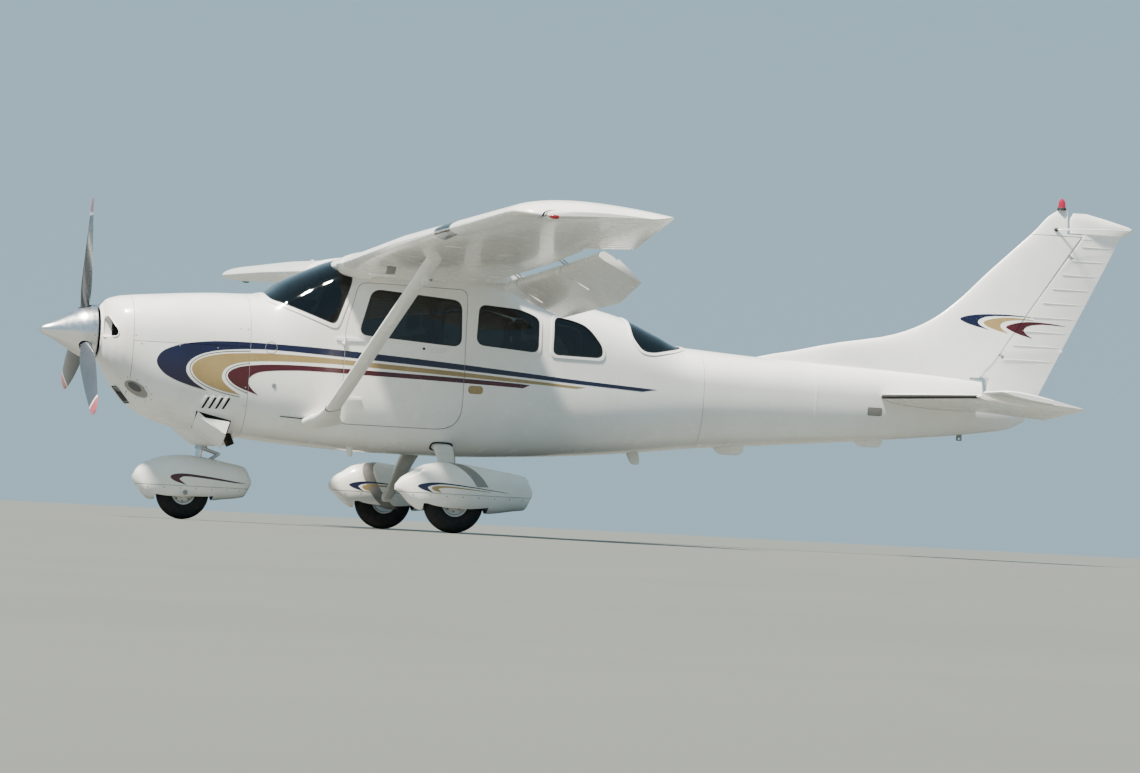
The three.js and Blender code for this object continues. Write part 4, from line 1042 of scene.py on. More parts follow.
@dataclass
class Fuselage:
    """Cabin shell, roof panel, doors, windows and tail cone."""

    wall: float = 0.022
    door_wall: float = 0.030
    glass: float = 0.006
    glass_depth: float = 0.004
    pin_out: float = 0.012
    end: float = 7.400

    def build(self) -> None:
        """Builds all of it."""
        self.shell()
        self.roof()
        for door in DOORS:
            self.door(door)
        for pane in PANES:
            self.window(pane)
        self.tail_cone()
    # Oval plate, fresh-air doors and the grooves low on the cabin sides, which are dark strips of painted shade.

    def shell(self) -> None:
        """Skin of the cabin with its door and window holes."""
        skin = HULL.skin(FIREWALL + SEAM, TAIL_JOINT - SEAM, 0.0, self.wall)
        holes = [WINDSHIELD.prism(ACROSS), REAR_WINDOW.prism(ACROSS), PILOT_DOOR.prism(PORT, DOOR_GAP),
                 CARGO_BAY.prism(STARBOARD, DOOR_GAP), WINDOW_TWO.prism(PORT), WINDOW_THREE.prism(PORT),
                 PILOT_WINDOW.prism(STARBOARD)]
        skin = combined(skin, Join.CUT, *holes)
        dress("cabin_skin", skin, WHITE, replaces=("cabin_shell",), normals=HULL.normals)
        # Bulkheads close the ends of the cabin
        front = loft(HULL.grid(np.array([1.512, 1.520])) * [1, 0.955, 0.955])
        # Each groove is a raised slate strip on the skin: painted shade of a groove
        back = loft(HULL.grid(np.array([5.010, 5.018])) * [1, 0.94, 0.94])
        dress("cabin_bulkheads", gathered(front, back), PANEL)

    def roof(self) -> None:
        """Skin over the cabin that carries the wing's section from side to side."""
        section = WING.section(WING.root, 48)
        rings = np.array([
            np.stack([section[:, 0], np.full(len(section), y), section[:, 1]], 1)
            for y in np.linspace(-WING.root, WING.root, 25)
        ])
        panel = combined(loft(rings), Join.CUT, self.room(0.034))
        dress("roof_panel", panel, WHITE, sharp=40)

    def room(self, depth: float, start: float = 1.53, end: float = 5.0) -> Mesh:
        """Space inside the cabin, a distance inside its outer surface."""
        rings = HULL.grid(np.linspace(start, end, 60))
        facing = HULL.normals(rings.reshape(-1, 3)).reshape(rings.shape)
        facing[:, :, 0] = 0
        return loft(rings - depth * facing)

    def door(self, door: Door) -> None:
        """One door: its skin with the window hole, its seal and its hinges."""
        slab = HULL.skin(2.1, 4.4, 0.0, self.door_wall)
        panel = combined(slab, Join.KEEP, door.hole.prism(door.sides))
        panel = combined(panel, Join.CUT, door.window.prism(door.sides))
        panel = gathered(panel, *[self.hinge(door, level, True) for level in door.levels])
        dress(f"{door.node}_panel", panel, WHITE, door.node, (door.node,), normals=HULL.normals)
        brackets = gathered(*[self.hinge(door, level, False) for level in door.levels])
        dress(f"{door.node}_hinge_brackets", brackets, WHITE)
        # Rubber seal round the edge of the door, set back from the skin
        seal = combined(HULL.skin(2.1, 4.4, -0.012, 0.024), Join.KEEP, door.hole.prism(door.sides, 0.0012))
        seal = combined(seal, Join.CUT, door.hole.prism(door.sides, -0.004))
        dress(f"{door.node}_seal", seal, SEAL, door.node, sharp=40, normals=HULL.normals)

    def hinge(self, door: Door, level: float, moves: bool) -> Mesh:
        """Barrel and arm on the door, or the pin with its foot on the fuselage."""
        out = door.side.value * (HULL.row(np.array(door.pin_station))[0] + self.pin_out)
        spot = np.array([door.pin_station, out, level])
        inward = np.array([0, -door.side.value * 0.036, 0])
        # Strap riveted flat on the skin, tapered away from the pin
        near, reach = (0.012, 0.150) if moves else (0.012, 0.065)
        way = door.sense if moves else -door.sense
        shape = np.array([[near, -0.013], [reach, -0.008], [reach, 0.008], [near, 0.013]]) * [way, 1]
        ends = sorted((door.pin_station, door.pin_station + way * (reach + 0.02)))
        strap = combined(HULL.skin(*ends, 0.008, 0.001, 0.01), Join.KEEP,
                         prism(rounded(shape + [door.pin_station, level], 0.005), *door.sides))
        if moves:
            barrel = turned([(-0.018, 0), (-0.018, 0.009), (0.018, 0.009), (0.018, 0)], spot, (0, 0, 1), 20)
            return gathered(barrel, strap, tube([spot, spot + inward + [0.034 * door.sense, 0, 0]], 0.008, 12))
        low = spot - [0, 0, 0.030]
        collar = turned([(-0.010, 0), (-0.010, 0.009), (0.0105, 0.009), (0.0105, 0)], low, (0, 0, 1), 20)
        return gathered(collar, strap, tube([low, low + inward - [0.030 * door.sense, 0, 0]], 0.010, 12))

    def window(self, pane: Pane) -> None:
        """One window: tinted sheet, rubber lip and raised frame."""
        stations = np.array(pane.hole.corners)[:, 0]
        low, high = stations.min() - 0.06, stations.max() + 0.06
        sheet = HULL.skin(low, high, -self.glass_depth, self.glass_depth + self.glass, 0.02)
        sheet = combined(sheet, Join.KEEP, pane.hole.prism(pane.sides, -0.0008))
        dress(f"{pane.node}_sheet", sheet, SMOKED, pane.body, (pane.node,), normals=HULL.normals)
        lip = combined(HULL.skin(low, high, 0.0012, 0.014, 0.02), Join.KEEP, pane.hole.prism(pane.sides, 0.001))
        lip = combined(lip, Join.CUT, pane.hole.prism(pane.sides, -0.006))
        dress(f"{pane.node}_lip", lip, SEAL, pane.body, sharp=40, normals=HULL.normals)
        rim = combined(HULL.skin(low, high, 0.0055, 0.001, 0.02), Join.KEEP,
                       pane.hole.prism(pane.sides, pane.frame))
        rim = combined(rim, Join.CUT, pane.hole.prism(pane.sides, 0.001))
        if pane.node == "windshield":
            rim = combined(rim, Join.CUT, box((2.2, -FAR, 0.45), (2.4, FAR, 1.2)))
        dress(f"{pane.node}_frame", rim, WHITE, pane.body, sharp=30, normals=HULL.normals)

    def tail_cone(self) -> None:
        """Skin of the tail with its end fairing and slot for the stabilizer."""
        skin = HULL.skin(TAIL_JOINT + SEAM, self.end, 0.0, 0.006, 0.035)
        skin = combined(skin, Join.CUT, STABILIZER.slot(0.001))
        rings = HULL.grid(np.linspace(self.end - 0.006, 7.779, 24))
        end = combined(loft(rings), Join.CUT, box((7.0, -1, -0.155), (8, 1, 1)))
        body = gathered(skin, end)
        dress("tail_cone_skin", body, WHITE, replaces=("tail_cone",), normals=HULL.normals)


@dataclass
class Cowling:
    """Nose bowl, upper and lower cowl, inlets, louvres, cowl flaps and what shows in them, dark as painted shade where
    they open.
    """

    wall: float = 0.004
    inlet_corners: tuple = ((0.246, -0.042), (0.234, 0.112), (0.305, 0.122), (0.414, 0.022), (0.414, -0.036))
    intake_corners: tuple = ((-0.165, -0.520), (-0.165, -0.385), (0.165, -0.385), (0.165, -0.520))
    pipe_station: float = 1.385
    pipe_buttline: float = -0.215

    def build(self) -> None:
        """Builds all of it."""
        inlet = rounded(self.inlet_corners, 0.030)
        intake = rounded(self.intake_corners, 0.045)
        self.bowl(inlet, intake)
        self.covers(intake)
        self.ducts(inlet, intake)
        self.chin()
        for side in Side:
            self.cowl_flap(side)
        self.louvres()
        self.scoop()
        self.exhaust()
        self.fasteners()

    def bowl(self, inlet: np.ndarray, intake: np.ndarray) -> None:
        """Front of the cowling with its rolled lip behind the spinner."""
        start = HULL.ROWS[0, 0]
        skin = HULL.skin(start, BOWL_END - SEAM, 0.0, self.wall, 0.008)
        # The front face rolls in towards the propeller shaft
        first = HULL.grid(np.array([start]))[0]
        lip = [(0.436, 0.985), (0.431, 0.955), (0.429, 0.91), (0.431, 0.87), (0.442, 0.84)]
        rings = [first, *[first * [0, k, k] + [x, 0, 0] for x, k in lip]]
        back = [ring + [0.004, 0, 0] for ring in rings]
        back[0] = first * [1, 0.98, 0.98] + [0.004, 0, 0]
        face = sleeve(np.array(rings), np.array(back))
        tools = [prism(inlet, 0.40, 0.66, "x"), mirrored(prism(inlet, 0.40, 0.66, "x")),
                 prism(intake, 0.50, 0.76, "x")]
        skin = combined(skin, Join.CUT, *tools)
        dress("nose_bowl_skin", skin, WHITE_COWL, replaces=("nose_bowl",),
              normals=HULL.normals)
        dress("nose_bowl_front_lip", face, WHITE_COWL, sharp=60)

    def covers(self, intake: np.ndarray) -> None:
        """Upper and lower cowl, with a gap between them and to the fuselage."""
        skin = HULL.skin(BOWL_END + SEAM, FIREWALL - SEAM, 0.0, self.wall)
        upper = combined(skin, Join.KEEP, box((0, -FAR, COWL_SPLIT + SEAM), (2, FAR, FAR)))
        lower = combined(skin, Join.KEEP, box((0, -FAR, -FAR), (2, FAR, COWL_SPLIT - SEAM)))
        lower = combined(lower, Join.CUT, prism(intake, 0.50, 0.76, "x"), self.pipe_hole())
        dress("upper_cowl_skin", upper, WHITE_COWL, replaces=("upper_cowl",),
              normals=HULL.normals)
        dress("lower_cowl_skin", lower, WHITE_COWL, replaces=("lower_cowl",),
              normals=HULL.normals)
        # Firewall flange behind the seams, so that they read as joints
        flange = combined(HULL.skin(BOWL_END - 0.02, FIREWALL + 0.03, -0.006, 0.010), Join.CUT,
                          box((BOWL_END + 0.03, -FAR, COWL_SPLIT + 0.02), (FIREWALL - 0.02, FAR, FAR)),
                          box((BOWL_END + 0.03, -FAR, -FAR), (FIREWALL - 0.02, FAR, COWL_SPLIT - 0.02)))
        dress("cowl_seam_flanges", flange, DARK, normals=HULL.normals)

    def pipe_hole(self) -> Mesh:
        """Space round the exhaust pipe."""
        low = (self.pipe_station + 0.112, self.pipe_buttline, -0.9)
        return tube([(self.pipe_station - 0.030, self.pipe_buttline, -0.60), low], 0.042, 24)

    def ducts(self, inlet: np.ndarray, intake: np.ndarray) -> None:
        """Ducts behind the inlets, dark as painted shade, their lips and the mesh of the lower intake."""
        lips = []
        for outline in (inlet, inlet * [-1, 1], intake):
            path = np.array([(HULL.front(y, z), y, z) for y, z in outline])
            lips.append(tube(path, 0.006, 12, closed=True))
        dress("inlet_lips", gathered(*lips), WHITE_COWL, sharp=60)
        # The mouth of each side inlet is painted as far as the baffles
        throats, ducts = [], []

        def wall(outline: np.ndarray, start: np.ndarray, stop: np.ndarray) -> Mesh:
            skins = (grown(outline, 0.001), grown(outline, -0.002))
            return sleeve(*[np.array([np.column_stack([x, skin]) for x in (start, stop)]) for skin in skins])

        # Behind the painted mouths, the duct walls and the plates that close them are dark: painted shade of the space
        # behind the inlets
        for outline, paint, end in ((inlet, 0.505, 0.66), (inlet * [-1, 1], 0.505, 0.66), (intake, 0.0, 0.78)):
            front = np.array([HULL.front(y, z) + 0.004 for y, z in outline])
            painted = np.maximum(front + 0.001, paint)
            if paint:
                throats.append(wall(outline, front, painted))
            ducts.append(wall(outline, painted, np.full(len(outline), end)))
            ducts.append(prism(grown(outline, -0.001), end - 0.004, end, "x"))
        dress("inlet_throats", gathered(*throats), WHITE_COWL, sharp=40)
        dress("inlet_ducts", gathered(*ducts), DARK, sharp=40)
        # Wire mesh over the lower intake, set back inside its edge
        wires = []
        low, high = grown(intake, -0.004).min(0), grown(intake, -0.004).max(0)

        def behind(z: float) -> float:
            return HULL.front(0.0, z) + 0.022

        for z in np.arange(low[1] + 0.010, high[1], 0.014):
            wires.append(tube([(behind(z), low[0] + 0.012, z), (behind(z), high[0] - 0.012, z)], 0.0012, 6))
        levels = np.linspace(low[1] + 0.006, high[1] - 0.006, 6)
        for y in np.arange(low[0] + 0.012, high[0], 0.014):
            wires.append(tube([(behind(z), y, z) for z in levels], 0.0012, 6))
        dress("intake_mesh", gathered(*wires), STEEL, sharp=60)

    def chin(self) -> None:
        """Fairing under the cowl round the nose strut."""
        # Station, half width, bottom
        rows = np.array([[1.040, 0.040, -0.690], [1.110, 0.090, -0.745], [1.210, 0.118, -0.800],
                         [1.320, 0.120, -0.803], [1.410, 0.114, -0.797], [1.495, 0.080, -0.752]])
        stations = np.linspace(rows[0, 0], rows[-1, 0], 26)
        half = smooth_through(rows[:, 0], rows[:, 1], stations)
        low = smooth_through(rows[:, 0], rows[:, 2], stations)
        shape = superellipse(40, 2.4)
        rings = np.array([
            np.stack([np.full(40, x), shape[:, 0] * h, -0.64 + shape[:, 1] * (-0.64 - b)], 1)
            for x, h, b in zip(stations, half, low)
        ])
        inside = HULL.grid(np.linspace(0.9, 1.6, 30)) * [1, 0.992, 0.994]
        body = combined(loft(rings), Join.CUT, loft(inside), NOSE_GEAR.cylinder_hole())
        dress("nose_gear_chin_fairing", body, WHITE_COWL, sharp=35)

    def cowl_flap(self, side: Side) -> None:
        """Cowl flap: part of the cowl's skin, hinged at its front and swung down, with a cheek at each side."""
        start, end, inner = 1.140, 1.405, 0.225
        sides = np.array([(start, -0.552), (end, -0.612), (end, -1.0), (start, -1.0)])
        plate = combined(HULL.skin(1.08, 1.46, 0.002, 0.004, 0.01), Join.KEEP, prism(sides, inner, FAR))
        cheeks = []
        for y, low in ((inner, -0.690), (HULL.side(1.25, -0.575) - 0.006, -0.585)):
            shape = np.array([[start + 0.02, low], [end - 0.004, low - 0.022], [end - 0.02, low + 0.075]])
            cheeks.append(prism(rounded(shape, 0.008), y, y + 0.004))
        swing = spin((start, inner, -0.690), (0, 0.482 - inner, 0.138), 29)
        body = moved(gathered(plate, *cheeks), swing)
        dress(f"cowl_flap_{side.word}_door", sided(body, side), WHITE_COWL,
              replaces=(f"cowl_flap_{side.word}",), sharp=30)
        # Painted shade of the opening behind the flap: a dark film on the uncut skin
        hole = combined(HULL.skin(1.08, 1.46, 0.0010, 0.001, 0.01), Join.KEEP, prism(sides, inner, FAR))
        dress(f"cowl_flap_{side.word}_outlet", sided(hole, side), DARK, sharp=30)
        rod = [(1.28, 0.40, -0.62), (1.33, 0.37, -0.715)]
        dress(f"cowl_flap_{side.word}_rod", sided(tube(rod, 0.005, 10), side), STEEL)

    def louvres(self) -> None:
        """Four slanted cooling louvres in each side of the lower cowl, each slot a dark film of painted shade under a
        raised hood.
        """
        dark, edges = [], []
        for i in range(4):
            x, low, high, lean = 1.165 + 0.050 * i, -0.530, -0.446, 0.042
            slit = np.array([[x, low], [x + 0.022, low], [x + 0.022 + lean, high], [x + lean, high]])
            hole = prism(rounded(slit, 0.007), 0.25, FAR)
            # The slot is not cut: a dark film on the skin is painted shade inside it
            dark.append(combined(HULL.skin(x - 0.02, x + 0.08, 0.0006, 0.0005, 0.01), Join.KEEP, hole))
            hood = np.array([[x - 0.012, low - 0.002], [x + 0.003, low - 0.002], [x + 0.003 + lean, high + 0.002],
                             [x - 0.012 + lean, high + 0.002]])
            ridge = prism(rounded(hood, 0.005), 0.25, FAR)
            edges.append(combined(HULL.skin(x - 0.02, x + 0.08, 0.009, 0.001, 0.01), Join.KEEP, ridge))
        for side in Side:
            dress(f"louvre_slots_{side.word}", sided(gathered(*dark), side), DARK)
            dress(f"louvre_hoods_{side.word}", sided(gathered(*edges), side), WHITE_COWL)

    def scoop(self) -> None:
        """Oval air scoop in the port side of the lower cowl, ringed by fasteners; its recess and throat are grey films
        of painted shade on the skin.
        """
        centre, long, short, lean = np.array([0.698, -0.414]), 0.100, 0.040, math.radians(-33)
        turns = np.linspace(0, 2 * math.pi, 40, endpoint=False)
        ring = np.stack([long * np.cos(turns), short * np.sin(turns)], 1)
        spin_to = np.array([[math.cos(lean), -math.sin(lean)], [math.sin(lean), math.cos(lean)]])
        ring = ring @ spin_to.T
        span = (-FAR, -0.12)

        def patch(proud: float, shift: tuple[float, float], size: float) -> Mesh:
            return combined(HULL.skin(0.50, 0.90, proud, 0.0005, 0.01), Join.KEEP,
                            prism(centre + np.array(shift) + size * ring, *span))

        flange = combined(patch(0.0030, (0, 0), 1.12), Join.CUT, prism(centre + ring, *span))
        dress("scoop_flange", flange, WHITE_COWL, normals=HULL.normals)
        # Recess and throat are painted shade: grey and slate films on the skin, not a hollow
        dress("scoop_recess", patch(0.0009, (0, 0), 0.97), GREY_BAND, normals=HULL.normals)
        dress("scoop_throat", patch(0.0014, (-0.016, 0.014), 0.55), BLADE_GREY, normals=HULL.normals)
        # Bright rolled lip round the lower aft half of the oval
        lip = [(x, -HULL.side(x, z), z) for x, z in centre + 1.02 * ring[[*range(32, 40), *range(0, 9)]]]
        dress("scoop_lip", tube(lip, [0.002, *[0.0075] * (len(lip) - 2), 0.002], 10), WHITE_COWL,
              sharp=60)
        heads = [stud(x, z, Side.LEFT, 0.0045, 0.0022) for x, z in centre + 1.34 * ring[::4]]
        dress("scoop_screws", gathered(*heads), STEEL)
        # Small teardrop blister over a duct clamp, on both sides
        middle, run = np.array([0.940, -0.585]), 0.062
        rings = []
        for t in np.linspace(-1, 1, 13):
            size = math.sqrt(max(0.0004, 1 - t * t)) * (1 - 0.3 * t)
            x, z = middle + [run * t, -0.16 * run * t]
            spot = np.array([[x, HULL.side(x, z), z]])
            out = HULL.normals(spot)[0]
            across = np.cross(out, [1, 0, 0])
            shape = superellipse(20, 2.0)
            rings.append(spot[0] + 0.017 * size * shape[:, :1] * across + 0.009 * size * shape[:, 1:] * out)
        for side in Side:
            dress(f"cowl_blister_{side.word}", sided(loft(np.array(rings)), side), WHITE_COWL,
                  sharp=60)

    def exhaust(self) -> None:
        """Exhaust stack below the lower cowl, open at its end."""
        start = Vector((self.pipe_station - 0.030, self.pipe_buttline, -0.600))
        end = Vector((self.pipe_station + 0.060, self.pipe_buttline, -0.790))
        length = (end - start).length
        profile = [(0, 0.031), (length * 0.6, 0.033), (length - 0.006, 0.033), (length, 0.0345),
                   (length, 0.030), (0, 0.028), (0, 0.031)]
        dress("exhaust_pipe", turned(profile, start, end - start, 40), EXHAUST,
              replaces=("exhaust_stack",), sharp=40)

    def fasteners(self) -> None:
        """Quarter-turn studs along the cowl seams."""
        heads = []
        for side in Side:
            for x in (0.70, 0.98, 1.26):
                heads.append(stud(x, COWL_SPLIT - 0.020, side, 0.0055, 0.0014))
            for z in (-0.50, -0.36, 0.07, 0.24):
                heads.append(stud(FIREWALL - 0.020, z, side, 0.0055, 0.0014))
            heads += [stud(1.425, 0.075, side, 0.0055, 0.0014), stud(0.655, -0.020, side, 0.0055, 0.0014)]
            heads.append(stud(1.690, -0.335, side, 0.017, 0.005, 20))
        dress("cowl_studs", gathered(*heads), BRUSHED)


def stud(station: float, level: float, side: Side, radius: float, height: float, sides: int = 12) -> Mesh:
    """Low domed head on the fuselage side.

    Args:
        station: Station of its middle.
        level: Waterline of its middle.
        side: Side of the aircraft.
        radius: Radius of the head.
        height: How far it stands out.
        sides: Facets round the head.

    Returns:
        The body.
    """
    spot = np.array([[station, side.value * HULL.side(station, level), level]])
    way = HULL.normals(spot)[0]
    profile = [(-0.002, 0), (-0.002, radius), (0.35 * height, radius), (height, 0.6 * radius), (1.1 * height, 0)]
    return turned(profile, spot[0], way, sides)


def repaint(node: str, finish: Finish) -> None:
    """Gives a node of the frame a finish."""
    slots = frame["nodes"][node].data.materials
    slots.clear()
    slots.append(finish.make())


# Shared surface helpers


def thickness(share: np.ndarray) -> np.ndarray:
    """Half thickness of the four-digit section family at shares of the chord, for a depth of one."""
    root = np.sqrt(share)
    return 5 * (0.2969 * root - 0.126 * share - 0.3516 * share ** 2 + 0.2843 * share ** 3 - 0.1015 * share ** 4)


def spread(count: int) -> np.ndarray:
    """Shares from 0 to 1 that lie closer together at both ends."""
    return (1 - np.cos(np.linspace(0, math.pi, count + 1))) / 2


def placed(outline: np.ndarray, buttline: float) -> np.ndarray:
    """Side-view points set at a buttline."""
    return np.stack([outline[:, 0], np.full(len(outline), buttline), outline[:, 1]], 1)


def nosed(centre: Sequence[float], radius: float, trail: Sequence[float], stretch: float = 1.0) -> np.ndarray:
    """Section of a control surface: round nose about its hinge, straight to the trailing edge.

    Args:
        centre: Hinge in the plane of the section.
        radius: Radius of the nose.
        trail: Trailing edge in the plane.
        stretch: Length of the nose over its radius, for a hinge that leans.

    Returns:
        Points of the section.
    """
    lean = math.atan2(trail[1] - centre[1], trail[0] - centre[0])
    turns = lean + math.pi / 2 + np.linspace(0, math.pi, 15)
    nose = np.stack([centre[0] + stretch * radius * np.cos(turns), centre[1] + radius * np.sin(turns)], 1)
    return np.concatenate([nose, [[trail[0], trail[1] - 0.002], [trail[0], trail[1] + 0.002]]])


def domes(spots: Sequence, ways: Sequence, radius: float = 0.0028, height: float = 0.0009) -> Mesh:
    """Low six-sided heads of rivets on a surface, in one mesh.

    Args:
        spots: Places on the surface.
        ways: Surface direction at each.
        radius: Radius of a head.
        height: Height of a head.

    Returns:
        The mesh.
    """
    spots, ways = np.asarray(spots, float), np.asarray(ways, float)
    count = len(spots)
    first = np.cross(ways, np.where(np.abs(ways[:, :1]) < 0.9, [[1.0, 0, 0]], [[0, 1.0, 0]]))
    first /= np.linalg.norm(first, axis=1)[:, None]
    second = np.cross(ways, first)
    turns = np.arange(6) * math.pi / 3
    ring = (spots[:, None] - 0.0003 * ways[:, None]
            + radius * (np.cos(turns)[:, None] * first[:, None] + np.sin(turns)[:, None] * second[:, None]))
    points = np.concatenate([ring.reshape(-1, 3), spots + height * ways])
    faces = [[6 * i + k, 6 * i + (k + 1) % 6, 6 * count + i] for i in range(count) for k in range(6)]
    mesh = bpy.data.meshes.new("domes")
    mesh.from_pydata(points.tolist(), [], faces)
    return mesh


def facing_of(surface: Callable, u: float, v: float, out: Sequence[float]) -> tuple[np.ndarray, np.ndarray]:
    """Point and direction of a surface of two parameters, on the side that looks along out."""
    step = 1e-3
    spot = surface(u, v)
    way = np.cross(surface(u + step, v) - spot, surface(u, v + step) - spot)
    way /= np.linalg.norm(way)
    return spot, way if np.dot(way, out) > 0 else -way


def riveted(surface: Callable, lines: Iterable, out: Sequence[float], pitch: float = 0.032) -> Mesh:
    """Rivets along straight lines in the parameters of a surface.

    Args:
        surface: Function of two parameters that gives a point.
        lines: Pairs of start and end parameters.
        out: Rough direction out of the surface.
        pitch: Distance between rivets.

    Returns:
        The rivet heads in one mesh.
    """
    spots, ways = [], []
    for start, end in lines:
        start, end = np.array(start, float), np.array(end, float)
        length = np.linalg.norm(surface(*end) - surface(*start))
        for t in np.linspace(0, 1, max(2, int(length / pitch))):
            spot, way = facing_of(surface, *(start + t * (end - start)), out)
            spots.append(spot)
            ways.append(way)
    return domes(spots, ways)


@dataclass(frozen=True)
class Bracket:
    """Hinge of a control surface: fixed arm in a notch, with a pin across."""

    spot: tuple[float, float, float]
    along: tuple[float, float, float]
    radius: float
    half: float = 0.006
    notch: float = 0.013
    arm: float = 0.011

    def matrix(self) -> Matrix:
        """Frame with X aft, Z along the pin."""
        along = Vector(self.along).normalized()
        side = along.cross(Vector((1, 0, 0))).normalized()
        back = side.cross(along).normalized()
        rows = Matrix((back, side, along)).transposed().to_4x4()
        return Matrix.Translation(self.spot) @ rows

    def space(self) -> Mesh:
        """Notch in the moving surface."""
        clear = max(0.75 * self.radius, self.arm + 0.005)
        body = box((-self.radius - 0.005, -0.3, -self.notch), (clear, 0.3, self.notch))
        return moved(body, self.matrix())

    def pin(self) -> Mesh:
        """Pin across the notch."""
        reach = self.notch + 0.004
        return moved(turned([(-reach, 0), (-reach, 0.005), (reach, 0.005), (reach, 0)], (0, 0, 0), (0, 0, 1), 12),
                     self.matrix())

    def plate(self) -> Mesh:
        """Arm of the fixed surface."""
        body = box((-self.radius - 0.030, -self.arm, -self.half), (self.arm - 0.001, self.arm, self.half))
        bore = turned([(-0.05, 0), (-0.05, 0.0056), (0.05, 0.0056), (0.05, 0)], (0, 0, 0), (0, 0, 1), 20)
        return moved(combined(body, Join.CUT, bore), self.matrix())


# Wing


@dataclass(frozen=True)
class WingForm:
    """Planform and section of the wing, with its flap and aileron. Starboard side; port mirrors it."""

    root: float = 0.584
    taper: float = 2.540
    rib: float = 5.200
    chord: float = 1.626
    end_chord: float = 1.086
    lead: float = 2.121
    end_lead: float = 2.291
    end: float = 5.440
    height: float = 0.591
    dihedral: float = 0.035
    incidence: float = 1.5
    washout: float = 3.0
    camber: float = 0.02
    crest: float = 0.4
    depth: float = 0.12
    flap_inner: float = 0.625
    flap_outer: float = 3.385
    flap_nose: float = 3.284
    flap_lip: float = 0.32
    flap_skin: float = 0.009
    flap_tracks: tuple[float, ...] = (1.000, 2.350)
    flap_pin: float = 3.360
    flap_axis: tuple[float, float] = (1.132, 0.246)
    flap_droop: float = 30.0
    clear: float = 0.006
    aileron_inner: float = 3.425
    aileron_outer: float = 5.190
    aileron_axis: tuple[float, float] = (3.229, 3.035)
    aileron_hinges: tuple[float, ...] = (3.800, 4.850)

    def at(self, y: float) -> tuple[float, float, float, float]:
        """Leading edge, chord, level and set of the section at a buttline."""
        t = max(0.0, (y - self.taper) / (self.end - self.taper))
        level = self.height + self.dihedral * (y - self.root)
        lead = self.lead + t * (self.end_lead - self.lead)
        chord = self.chord + t * (self.end_chord - self.chord)
        return lead, chord, level, math.radians(self.incidence - self.washout * t)

    def spots(self, y: float, share: float | np.ndarray, side: float, inset: float = 0.0) -> np.ndarray:
        """Side-view points of the section: side is 1 on top, -1 below and 0 on the mean line."""
        lead, chord, level, turn = self.at(y)
        share = np.asarray(share, float)
        ahead = share < self.crest
        scale = self.camber / np.where(ahead, self.crest, 1 - self.crest) ** 2
        mean = scale * (np.where(ahead, 0, 1 - 2 * self.crest) + 2 * self.crest * share - share ** 2)
        front = share < 1e-9
        rise = chord * (mean + side * self.depth * thickness(share)) - np.where(front, 0, side * inset)
        run = np.where(front, inset, share * chord)
        return np.stack([lead + run * math.cos(turn) + rise * math.sin(turn),
                         level - run * math.sin(turn) + rise * math.cos(turn)], -1)

    def share(self, y: float, station: float) -> float:
        """Share of the chord at a station."""
        lead, chord, _, _ = self.at(y)
        return (station - lead) / chord

    def point(self, y: float, share: float, side: float) -> np.ndarray:
        """Point of the surface."""
        x, z = self.spots(y, share, side)
        return np.array([x, y, z])

    def section(self, y: float, count: int = 30, grow: float = 0.0) -> np.ndarray:
        """Side-view outline of the section, over the top from the trailing edge and back below."""
        shares = spread(count)
        top = self.spots(y, shares, 1, -grow)[::-1]
        return np.concatenate([top, self.spots(y, shares[1:], -1, -grow)])

    def body(self, buttlines: Sequence[float], grow: float = 0.0) -> Mesh:
        """Solid wing between buttlines."""
        return loft(np.array([placed(self.section(y, 30, grow), y) for y in buttlines]))

    def flap_section(self, y: float) -> np.ndarray:
        """Outline of the flap when it is in."""
        nose = self.share(y, self.flap_nose)
        lip = nose + self.flap_lip * (1 - nose)
        tuck = self.flap_skin + self.clear
        nose_x = self.spots(y, nose, 0)[0]
        high = self.spots(y, nose, 1, tuck)[1] - 0.014
        low = self.spots(y, nose + 0.015, -1)[1]
        middle, half = (high + low) / 2, (high - low) / 2
        turns = np.radians(np.linspace(60, -60, 13))
        front = np.stack([nose_x + 0.9 * half * (1 - np.cos(turns)), middle + half * np.sin(turns)], 1)
        return np.concatenate([
            self.spots(y, np.linspace(1, lip + 0.012, 9), 1),
            self.spots(y, np.linspace(lip + 0.008, nose + 0.06, 7), 1, tuck),
            front,
            self.spots(y, nose + np.array([0.03, 0.07]), -1),
            self.spots(y, np.linspace(nose + 0.12, 1, 9), -1),
        ])

    def flap_bay(self) -> Mesh:
        """Space of the flap, open below and behind the lip."""
        rings = []
        for y in (self.root - 0.05, self.taper, self.flap_outer + self.clear):
            nose = self.share(y, self.flap_nose)
            lip = nose + self.flap_lip * (1 - nose)
            front = self.spots(y, nose, 0)[0] - self.clear
            lip_x, lip_z = self.spots(y, lip, 1, self.flap_skin)
            under = self.spots(y, nose, 1, self.flap_skin)
            inner_z = self.spots(y, nose + 0.03, 1, self.flap_skin)[1]
            corners = [(lip_x, lip_z + 0.06), (lip_x, lip_z), (under[0] + 0.04, inner_z),
                       (front + 0.008, under[1] - 0.016), (front, under[1] - 0.04), (front, under[1] - 0.4),
                       (lip_x + 0.9, under[1] - 0.4), (lip_x + 0.9, lip_z + 0.06)]
            rings.append(placed(np.array(corners), y))
        return loft(np.array(rings))

    def flap_turn(self) -> Matrix:
        """Turn that brings the flap from in to its place at rest."""
        station, drop = self.flap_axis
        centre = (self.lead + station, self.root, self.height - drop)
        return spin(centre, (0, 1, self.dihedral), self.flap_droop)

